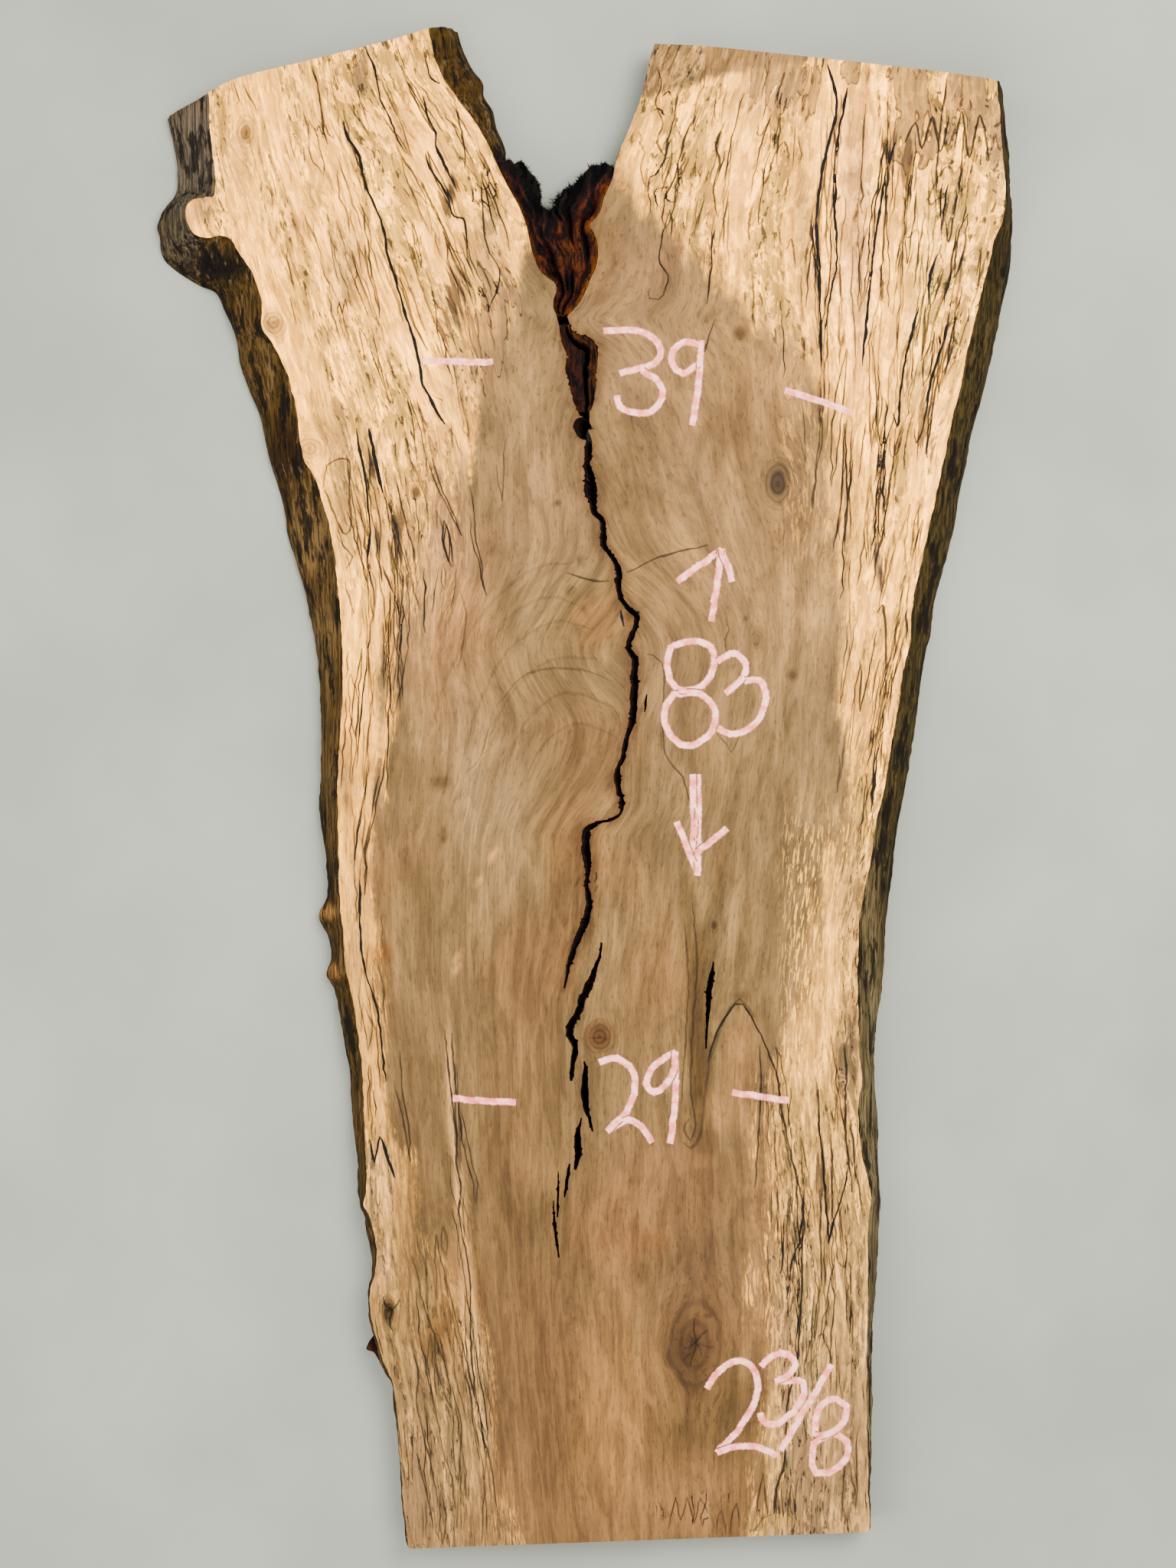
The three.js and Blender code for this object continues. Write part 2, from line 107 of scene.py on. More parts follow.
FORK_LEFT_WALL: Stations = (
    (646, 208, 659, 192), (655, 227, 663, 215), (663, 243, 667, 238), (672, 259, 672, 259),
    (681, 277, 681, 277), (688, 297, 688, 297), (692, 316, 692, 316), (697, 335, 697, 335),
    (704, 351, 704, 351), (714, 362, 714, 362), (724, 369, 724, 369), (727, 379, 727, 379),
    (723, 391, 723, 391), (723, 403, 723, 403), (728, 413, 728, 413),
)
FORK_RIGHT_WALL: Stations = (
    (741, 413, 741, 413), (749, 405, 749, 405), (758, 394, 758, 394), (765, 380, 765, 380),
    (771, 365, 771, 365), (778, 350, 778, 350), (781, 334, 781, 334), (780, 317, 780, 317),
    (775, 303, 775, 303), (770, 294, 770, 294), (777, 286, 777, 286), (784, 276, 784, 276),
    (788, 261, 788, 261), (794, 247, 794, 247), (800, 233, 801, 233), (803, 219, 806, 219),
)
RIGHT_LIMB_INNER_EDGE: Stations = (
    (803, 219, 806, 219), (812, 192, 820, 192), (821, 170, 832, 170), (829, 150, 843, 150),
    (837, 129, 851, 129), (842, 109, 857, 109), (847, 86, 863, 86), (855, 57, 870, 58),
)
RIGHT_LIMB_CUT: Stations = (
    (855, 57, 870, 58), (920, 60, 922, 60), (1000, 68, 1000, 68), (1120, 81, 1122, 81),
    (1240, 95, 1245, 95), (1302, 104, 1314, 105),
)
RIGHT_EDGE: Stations = (
    (1302, 104, 1304, 122), (1306, 150, 1309, 158), (1310, 200, 1313, 201), (1314, 258, 1317, 260),
    (1310, 286, 1319, 290), (1300, 311, 1320, 318), (1291, 345, 1319, 347), (1280, 392, 1309, 396),
    (1266, 448, 1298, 450), (1254, 508, 1285, 508), (1241, 560, 1270, 560), (1232, 605, 1261, 605),
    (1222, 650, 1252, 650), (1211, 700, 1243, 700), (1202, 742, 1232, 742), (1193, 785, 1220, 785),
    (1188, 838, 1211, 838), (1179, 882, 1204, 882), (1172, 930, 1197, 930), (1163, 978, 1189, 978),
    (1154, 1035, 1180, 1035), (1143, 1080, 1172, 1078), (1138, 1122, 1167, 1112), (1129, 1162, 1162, 1160),
    (1122, 1215, 1156, 1215), (1120, 1270, 1153, 1270), (1121, 1325, 1146, 1325), (1122, 1370, 1141, 1372),
    (1126, 1405, 1141, 1405), (1121, 1445, 1143, 1445), (1124, 1495, 1145, 1495), (1133, 1538, 1147, 1538),
    (1139, 1568, 1147, 1568), (1134, 1592, 1146, 1595), (1134, 1650, 1143, 1650), (1133, 1720, 1139, 1720),
    (1132, 1800, 1136, 1800), (1133, 1880, 1134, 1880), (1136, 2001, 1129, 1983),
)
FOOT_CUT: Stations = ((1136, 2001, 1136, 2001), (835, 2012, 835, 2012), (533, 2023, 533, 2023))

# Each station of a crack is (x, y, width), from the fork downwards.
SEAM_POCKET: Stations = (
    (737, 425, 14), (741, 438, 19), (748, 447, 28), (758, 456, 42), (761, 468, 40), (759, 479, 42),
    (761, 500, 36), (762, 522, 28), (763, 538, 17),
)
SEAM_CRACK: Stations = (
    (765, 545, 7), (762, 551, 20), (761, 558, 25), (762, 566, 18), (769, 572, 8), (769, 584, 10),
    (767, 604, 9), (769, 619, 12), (771, 640, 18), (774, 655, 10), (776, 668, 8), (785, 678, 7),
    (788, 693, 8), (789, 711, 8), (797, 725, 6), (804, 734, 6), (809, 747, 9), (808, 765, 8), (812, 783, 7),
    (820, 794, 6), (831, 804, 7), (830, 818, 8), (823, 835, 8), (821, 848, 7), (829, 862, 9),
    (829, 883, 10), (828, 905, 10), (827, 928, 9), (825, 947, 8), (820, 960, 7), (815, 979, 8),
    (813, 992, 6), (807, 1004, 7), (807, 1023, 8), (812, 1046, 6), (810, 1063, 4), (796, 1071, 4),
    (779, 1076, 5), (767, 1084, 9), (765, 1097, 11), (766, 1119, 11), (768, 1138, 6), (766, 1154, 5),
    (769, 1173, 7), (768, 1192, 8), (761, 1211, 10), (753, 1231, 8), (745, 1253, 6), (741, 1272, 4),
    (737, 1291, 2),
)
SEAM_LEAN = (17.0, 3.0)
SEAM_LEAN_RUN = 0.075
TORN_REACH = 0.007

# Splits beside the seam: each closes to an edge at SPLIT_DEPTH below the face.
SPLIT_DEPTH = 0.038
SPLITS: tuple[Stations, ...] = (
    ((786, 1231, 2), (783, 1250, 4), (775, 1273, 8), (768, 1290, 10), (761, 1306, 10), (755, 1322, 9),
        (747, 1336, 10), (744, 1352, 9), (751, 1366, 8), (748, 1389, 7), (746, 1412, 3)),
    ((763, 1386, 2), (765, 1399, 8), (764, 1425, 10), (765, 1446, 9), (770, 1462, 5), (774, 1478, 2)),
    ((759, 1460, 2), (755, 1482, 8), (755, 1505, 9), (751, 1528, 3)),
    ((744, 1520, 2), (742, 1532, 5), (740, 1548, 4), (737, 1564, 1.5)),
    ((729, 1530, 1.5), (729, 1560, 3.5), (728, 1590, 2)),
    ((723, 1568, 1.5), (724, 1598, 4), (727, 1621, 3.5), (730, 1643, 1.5)),
    ((932, 1256, 1.5), (930, 1272, 6), (927, 1292, 8), (925, 1312, 6), (923, 1345, 3), (922, 1370, 1.5)),
    ((845, 907, 1.5), (843, 917, 4), (842, 930, 2)),
)

# Bark in the fork: the shaggy top edge from right to left.
FORK_BARK_TOP: Stations = (
    (803, 219), (797, 214), (790, 211), (782, 213), (774, 214), (766, 221), (757, 229), (749, 238),
    (739, 244), (729, 252), (726, 264), (719, 272), (711, 270), (704, 262), (705, 246), (700, 232),
    (693, 226), (687, 216), (680, 208), (672, 213), (665, 206), (657, 212),
)
BARK_SCALE_OUTLINE: Stations = (
    (489, 1736), (485, 1752), (477, 1764), (476, 1769), (485, 1772), (493, 1784), (504, 1797), (515, 1795),
    (503, 1740),
)

# Streamlines of the grain as (y, x), with the measure across the grain that each one holds, in metres.
OUTER_GRAIN = 0.300
LEFT_GRAIN = 0.185
RIGHT_GRAIN = 0.220
LEFT_STREAM: Stations = (
    (0, 262), (100, 276), (200, 292), (300, 314), (400, 344), (509, 380), (605, 404), (688, 430),
    (772, 446), (842, 448), (1013, 441), (1145, 443), (1251, 452), (1352, 467), (1495, 477), (1643, 487),
    (1740, 495), (1855, 518), (2023, 533),
)
LEFT_MID_STREAM: Stations = (
    (0, 400), (158, 449), (287, 497), (430, 536), (554, 581), (650, 602), (750, 606), (850, 598),
    (950, 583), (1100, 572), (1250, 570), (1400, 580), (1550, 592), (1700, 612), (1903, 636), (2023, 640),
)
LEFT_INNER_STREAM: Stations = (
    (0, 548), (36, 560), (92, 574), (138, 604), (173, 629), (208, 646), (259, 672), (297, 688), (335, 697),
    (379, 723), (417, 733),
)
RIGHT_INNER_STREAM: Stations = (
    (0, 872), (57, 855), (109, 842), (150, 829), (192, 812), (247, 794), (303, 779), (365, 771), (394, 758),
    (417, 733),
)
RIGHT_MID_STREAM: Stations = (
    (0, 1082), (76, 1078), (287, 1066), (478, 1073), (700, 1075), (900, 1060), (1100, 1040), (1300, 1022),
    (1500, 1022), (1700, 1030), (2023, 1012),
)
RIGHT_STREAM: Stations = (
    (0, 1352), (105, 1345), (275, 1322), (363, 1300), (482, 1268), (590, 1240), (723, 1212), (811, 1193),
    (921, 1173), (1019, 1155), (1116, 1138), (1215, 1124), (1357, 1120), (1450, 1121), (1600, 1133),
    (2023, 1135),
)
SEAM_STREAM: Stations = (
    (417, 733), (480, 757), (545, 762), (620, 770), (680, 783), (740, 803), (800, 818), (860, 822),
    (930, 822), (1000, 812), (1050, 800), (1090, 775), (1150, 768), (1230, 757), (1300, 742), (1400, 742),
    (1500, 745), (1600, 735), (1700, 735), (1850, 745), (2023, 760),
)
SEAM_GRAIN: Stations = ((417, 0.105), (600, 0.075), (800, 0.045), (1000, 0.012), (1060, 0.0))

# The sapwood's inner boundary on each side, as (y, x).
LEFT_SAP: Stations = (
    (0, 720), (300, 700), (360, 668), (400, 650), (480, 628), (560, 612), (640, 590), (720, 560),
    (800, 522), (900, 495), (1000, 487), (1100, 485), (1200, 484), (1300, 492), (1400, 502), (1480, 500),
    (1510, 532), (1600, 545), (1700, 600), (1800, 640), (1900, 655), (2023, 660),
)
RIGHT_SAP: Stations = (
    (0, 835), (200, 812), (270, 850), (330, 905), (380, 960), (430, 1010), (480, 1065), (560, 1098),
    (700, 1118), (900, 1122), (1000, 1118), (1100, 1098), (1300, 1068), (1400, 1012), (1450, 998),
    (1550, 1010), (1650, 1015), (1750, 1012), (2023, 1000),
)


# The seam's column, which parts the left side from the right, and the row of the fork's throat.
SEAM_COLUMN = 760
THROAT_ROW = 417

# The least lengths, squares of lengths and shares that are divided by.
LEAST_LENGTH = 1e-9
LEAST_SQUARE = 1e-12
LEAST_SHARE = 1e-6

# Bark stays this far under the face, and this value stands for a place with no line or knot near it.
UNDER_FACE = 0.0004
FAR_AWAY = 9.0
MM = 1000

# How bright a white surface is under the studio's lights in red, green and blue, how much gloss whitens
# it, and how the picture turns light into tones: it mixes the channels, follows a curve over their
# logarithms, and mixes them back.
STUDIO_LIGHT = np.array((4.0, 3.8, 3.9))
HAZE = 0.005
BLEND_IN = np.array(((0.8425, 0.0784, 0.0792), (0.0423, 0.8785, 0.0792), (0.0424, 0.0784, 0.8791)))
CURVE = (15.5, -40.14, 31.96, -6.868, 0.4298, 0.1191, -0.0023)
STOPS = (-12.474, 4.026)


def paint(red: float, green: float, blue: float) -> Colour:
    """Give the surface colour that shows as a picture colour in the studio's light.

    Args:
        red: The picture's red, 0 to 255.
        green: The picture's green, 0 to 255.
        blue: The picture's blue, 0 to 255.

    Returns:
        The surface's linear red, green and blue.
    """
    mixed = BLEND_IN @ (np.array((red, green, blue)) / 255)
    places = np.linspace(0, 1, 400)
    stop = np.interp(mixed, np.polyval(CURVE, places), places)
    light = np.linalg.inv(BLEND_IN) @ 2 ** (STOPS[0] + stop * (STOPS[1] - STOPS[0]))
    return tuple(np.clip(light / STUDIO_LIGHT - HAZE, 0.0006, 0.9).tolist())


def smooth(low: float, high: float, values: np.ndarray) -> np.ndarray:
    """Ease values from 0 at low to 1 at high.

    Args:
        low: Where the step starts.
        high: Where it ends; it may be the lower of the two.
        values: What is eased.

    Returns:
        An array of 0 to 1.
    """
    share = np.clip((values - low) / (high - low), 0.0, 1.0)
    return share * share * (3.0 - 2.0 * share)


def towards(first: np.ndarray | Sequence, second: np.ndarray | Sequence, share: np.ndarray) -> np.ndarray:
    """Move rows of colour a share of the way from the first to the second."""
    first = np.asarray(first, float)
    return first + (np.asarray(second, float) - first) * share[:, None]


class Noise:
    """Smooth gradient noise over space that is the same on every run."""

    def __init__(self, seed: int) -> None:
        """Draw the lattice's slopes from a seed.

        Args:
            seed: What the random draws start from.
        """
        rng = np.random.default_rng(seed)
        self.order = np.tile(rng.permutation(256), 2)
        slopes = rng.normal(size=(256, 3))
        self.slopes = slopes / np.linalg.norm(slopes, axis=1)[:, None]

    def at(self, points: np.ndarray, *scale: float) -> np.ndarray:
        """Evaluate one layer of noise.

        Args:
            points: Rows of 2 or 3 coordinates.
            scale: One multiplier, or one for each axis.

        Returns:
            One value for each row, from about -1 to 1.
        """
        place = np.asarray(points, float) * (scale if len(scale) > 1 else scale[0])
        if place.shape[1] == 2:
            place = np.column_stack([place, np.full(len(place), 0.37)])
        cell = np.floor(place).astype(int)
        inside = place - cell
        fade = inside**3 * (inside * (inside * 6 - 15) + 10)
        total = np.zeros(len(place))
        for corner in itertools.product((0, 1), repeat=3):
            offset = np.array(corner)
            at = (cell + offset) & 255
            picked = self.slopes[self.order[self.order[self.order[at[:, 0]] + at[:, 1]] + at[:, 2]]]
            weight = np.prod(np.where(offset, fade, 1 - fade), axis=1)
            total += weight * ((inside - offset) * picked).sum(1)
        return total * 1.6

    def layers(self, points: np.ndarray, *scale: float, count: int = 3) -> np.ndarray:
        """Sum layers of noise, each twice as fine and half as strong as the one before."""
        steps = np.array(scale)
        return sum(self.at(points + 3.1 * k, *(steps * 2**k)) / 2**k for k in range(count))


NOISE = Noise(7)


@dataclass
class Drawing:
    """The drawing grid and its place in the part's frame."""

    shift: np.ndarray = field(default_factory=lambda: np.zeros(2))

    def plan(self, grid: np.ndarray | Sequence) -> np.ndarray:
        """Turn grid points into metres in the part's frame."""
        grid = np.asarray(grid, float).reshape(-1, 2)
        return np.column_stack([grid[:, 0] - GRID_MIDDLE, GRID_FOOT - grid[:, 1]]) * GRID + self.shift

    def grid(self, plan: np.ndarray) -> np.ndarray:
        """Turn metres in the part's frame into grid points."""
        steps = (np.asarray(plan, float)[:, :2] - self.shift) / GRID
        return np.column_stack([steps[:, 0] + GRID_MIDDLE, GRID_FOOT - steps[:, 1]])


def seen_to_true(grid: np.ndarray) -> np.ndarray:
    """Move points of the back out from where the eye sees them to where they are."""
    eye = np.array([GRID_MIDDLE, GRID_EYE], float)
    return eye + (grid - eye) * BACK_SPREAD


def spline(points: np.ndarray, places: np.ndarray) -> np.ndarray:
    """Follow a smooth curve through points.

    Args:
        points: Rows of coordinates that the curve passes through.
        places: Where to evaluate it, counted in points from the first.

    Returns:
        A row of coordinates for each place.
    """
    points = np.asarray(points, float)
    ends = np.vstack([2 * points[0] - points[1], points, 2 * points[-1] - points[-2]])
    first = np.clip(np.floor(places).astype(int), 0, len(points) - 2)
    share = (places - first)[:, None]
    p0, p1, p2, p3 = (ends[first + k] for k in range(4))
    runs = ((p0, p1), (p1, p2), (p2, p3))
    gaps = [np.maximum(np.linalg.norm(b - a, axis=1), LEAST_LENGTH)[:, None] ** 0.5 for a, b in runs]
    leave = ((p1 - p0) / gaps[0] - (p2 - p0) / (gaps[0] + gaps[1]) + (p2 - p1) / gaps[1]) * gaps[1]
    arrive = ((p2 - p1) / gaps[1] - (p3 - p1) / (gaps[1] + gaps[2]) + (p3 - p2) / gaps[2]) * gaps[1]
    square, cube = share**2, share**3
    return (
        p1 * (2 * cube - 3 * square + 1)
        + leave * (cube - 2 * square + share)
        + p2 * (3 * square - 2 * cube)
        + arrive * (cube - square)
    )


def stepped(points: np.ndarray, step: float, followed: bool = True) -> np.ndarray:
    """Choose places along a curve about a step apart, with one at each of its points.

    Args:
        points: Rows of coordinates.
        step: The wanted distance.
        followed: Whether another curve starts at the last point, which is then left out.

    Returns:
        Places for spline().
    """
    runs = np.linalg.norm(np.diff(points, axis=0), axis=1)
    counts = np.maximum(1, np.round(runs / step)).astype(int)
    places = np.concatenate([i + np.arange(n) / n for i, n in enumerate(counts)])
    return places if followed else np.append(places, len(points) - 1.0)


def turned_left(direction: np.ndarray) -> np.ndarray:
    """Give unit vectors a quarter turn to the left of directions."""
    left = np.column_stack([-direction[:, 1], direction[:, 0]])
    return left / np.maximum(np.linalg.norm(left, axis=1), LEAST_SQUARE)[:, None]


class EdgeKind(Enum):
    """What a stretch of the slab's outline is."""

    LEFT_LIVE = 0
    RIGHT_LIVE = 1
    SAWN = 2
    FORK_WALL = 3
    CRACK = 4


@dataclass(frozen=True)
class Stretch:
    """One stretch of the outline: its stations, kind, and whether its back is drawn as seen."""

    stations: Stations
    kind: EdgeKind
    back_seen: bool = False
    step: float = 0.005

    def points(self) -> tuple[np.ndarray, np.ndarray]:
        """Give the face's and the back's points in grid steps, without the last.

        Returns:
            The face's rows and the back's rows.
        """
        table = np.array(self.stations, float)
        face, back = table[:, :2], table[:, 2:]
        if self.back_seen:
            back = seen_to_true(back)
        places = stepped(np.hstack([face, back]) * GRID, self.step)
        return spline(face, places), spline(back, places)


@dataclass
class Ring:
    """A closed run of points round a solid, with the material on its right."""

    face: np.ndarray
    back: np.ndarray
    kind: np.ndarray
    run: np.ndarray = field(init=False)
    outward: np.ndarray = field(init=False)

    def __post_init__(self) -> None:
        """Measure the run along the ring and the direction out of it."""
        middle = (self.face + self.back) / 2
        steps = np.linalg.norm(np.roll(middle, -1, 0) - middle, axis=1)
        self.run = np.concatenate([[0.0], np.cumsum(steps)[:-1]])
        self.outward = turned_left(np.roll(middle, -1, 0) - np.roll(middle, 1, 0))


def crack_sides(
    stations: Stations, step: float, rough: float, drawing: Drawing
) -> tuple[np.ndarray, np.ndarray]:
    """Draw the two sides of a crack.

    Args:
        stations: Rows of (x, y, width) in grid steps.
        step: Distance between points in metres.
        rough: How far the sides stray, in metres.
        drawing: The drawing grid.

    Returns:
        The west side and the east side in metres, both from the first station to the last.
    """
    table = np.array(stations, float)
    places = stepped(table[:, :2] * GRID, step, followed=False)
    centre = drawing.plan(spline(table[:, :2], places))
    half = np.interp(places, np.arange(len(table)), table[:, 2]) * GRID / 2
    along = np.gradient(centre, axis=0)
    left = -turned_left(along)
    sides = []
    for sign in (-1, 1):
        stray = rough * NOISE.layers(centre + sign * 0.31, 70, count=3)
        torn = np.maximum(0, NOISE.at(centre - sign * 0.17, 210, 260) - 0.25) * TORN_REACH
        width = np.maximum(half + (stray + torn) * np.minimum(1, half / 0.003), 0.2 * half + 0.0003)
        sides.append(centre + sign * left * width[:, None])
    west, east = sorted(sides, key=lambda side: side[:, 0].mean())
    return west, east


@dataclass
class Outline:
    """The slab's outline with the seam's crack let into it, and the splits as holes."""

    drawing: Drawing
    crack_step: float = 0.0023
    split_step: float = 0.0024
    crack_rough: float = 0.0017
    edge_rough: float = 0.0013

    def ring(self) -> Ring:
        """Join the stretches and the crack's two sides into one ring.

        Returns:
            The ring.
        """
        before = (
            Stretch(LEFT_EDGE, EdgeKind.LEFT_LIVE, True),
            Stretch(LEFT_LIMB_CUT, EdgeKind.SAWN, step=0.009),
            Stretch(LEFT_LIMB_INNER_EDGE, EdgeKind.LEFT_LIVE, True),
            Stretch(FORK_LEFT_WALL, EdgeKind.FORK_WALL),
        )
        after = (
            Stretch(FORK_RIGHT_WALL, EdgeKind.FORK_WALL),
            Stretch(RIGHT_LIMB_INNER_EDGE, EdgeKind.LEFT_LIVE),
            Stretch(RIGHT_LIMB_CUT, EdgeKind.SAWN, step=0.009),
            Stretch(RIGHT_EDGE, EdgeKind.RIGHT_LIVE, True),
            Stretch(FOOT_CUT, EdgeKind.SAWN, step=0.009),
        )
        west, east = crack_sides(SEAM_POCKET + SEAM_CRACK, self.crack_step, self.crack_rough, self.drawing)
        crack_face = np.vstack([west, east[::-1]])
        lean = np.array([SEAM_LEAN[0], -SEAM_LEAN[1]]) * GRID
        depth = np.arange(len(west)) * self.crack_step / SEAM_LEAN_RUN
        ease = np.clip(np.concatenate([depth, depth[::-1]]), 0, 1)[:, None]
        faces, backs, kinds = [], [], []
        for stretch in before:
            self._append(stretch, faces, backs, kinds)
        faces.append(crack_face)
        backs.append(crack_face + lean * ease)
        kinds.append(np.full(len(crack_face), EdgeKind.CRACK.value))
        for stretch in after:
            self._append(stretch, faces, backs, kinds)
        face, back, kind = np.vstack(faces), np.vstack(backs), np.concatenate(kinds)
        live = np.isin(kind, (EdgeKind.LEFT_LIVE.value, EdgeKind.RIGHT_LIVE.value))
        ring = Ring(face, back, kind)
        stray = self.edge_rough * NOISE.layers(face, 55, count=3)
        ring.face = face + ring.outward * (stray * live)[:, None]
        return ring

    def _append(self, stretch: Stretch, faces: list, backs: list, kinds: list) -> None:
        """Add one stretch's points to the lists that make up the ring.

        Args:
            stretch: The stretch.
            faces: The face's points so far.
            backs: The back's points so far.
            kinds: Their kinds so far.
        """
        face, back = stretch.points()
        faces.append(self.drawing.plan(face))
        backs.append(self.drawing.plan(back))
        kinds.append(np.full(len(face), stretch.kind.value))

    def holes(self) -> list[np.ndarray]:
        """Give each split's loop: down its right side and up its left, so the hole is on its left.

        Returns:
            One loop for each split, in metres.
        """
        loops = []
        for stations in SPLITS:
            west, east = crack_sides(stations, self.split_step, self.crack_rough, self.drawing)
            loops.append(np.vstack([west, east[::-1]]))
        return loops


@dataclass(frozen=True)
class Knot:
    """A knot in the figure: its place and half sizes in grid steps, and how it looks."""

    x: float
    y: float
    rx: float
    ry: float
    core: float
    rings: float
    reach: float = 2.6
    tint: Colour = (120, 84, 56)
    tinted: float = 0.6


KNOTS: tuple[Knot, ...] = (
    Knot(1016, 632, 14, 21, 0.62, 0.9, 2.4, (146, 118, 86), 0.8),
    Knot(783, 1354, 13, 14, 0.2, 1.0, 2.2, (138, 92, 56), 0.85),
    Knot(907, 1757, 30, 52, 0.0, 0.7, 1.9, (136, 98, 66), 0.75),
    Knot(321, 172, 9, 14, 0.5, 0.9, 2.6, (204, 166, 120), 0.8),
    Knot(357, 421, 11, 12, 0.3, 0.9, 2.4, (206, 168, 122), 0.8),
    Knot(543, 643, 6, 9, 0.5, 0.7, 2.4, (176, 134, 92), 0.8),
    Knot(1090, 355, 6, 8, 0.3, 0.7, 2.4, (196, 152, 106), 0.8),
    Knot(404, 586, 14, 12, 0.05, 0.8, 2.4, (214, 172, 124), 0.5),
    Knot(1145, 1553, 9, 11, 0.1, 0.7, 2.0, (176, 140, 100), 0.8),
    Knot(1100, 1408, 8, 10, 0.05, 0.6, 2.0, (214, 178, 134), 0.6),
    Knot(933, 1209, 4, 7, 0.6, 0.6, 2.6, (150, 112, 74), 0.7),
    Knot(1035, 882, 5, 6, 0.2, 0.5, 2.4, (150, 114, 78), 0.8),
    Knot(988, 836, 7, 11, 0.15, 0.5, 2.2, (150, 116, 80), 0.6),
    Knot(967, 435, 6, 7, 0.1, 0.6, 2.2, (156, 118, 80), 0.7),
    Knot(507, 1714, 8, 15, 0.3, 0.4, 1.8, (130, 92, 58), 0.8),
)

# Pits that knots left: the middle and half sizes in grid steps, and the depth in metres.
KNOT_PITS: Stations = ((508, 1716, 6, 15, 0.008), (320, 172, 4, 9, 0.006), (892, 1757, 5, 12, 0.003))


@dataclass(frozen=True)
class Patch:
    """A soft patch of tone on the face: an ellipse in grid steps and the colour at its middle."""

    x: float
    y: float
    rx: float
    ry: float
    tint: Colour
    strength: float
    turn: float = 0.0


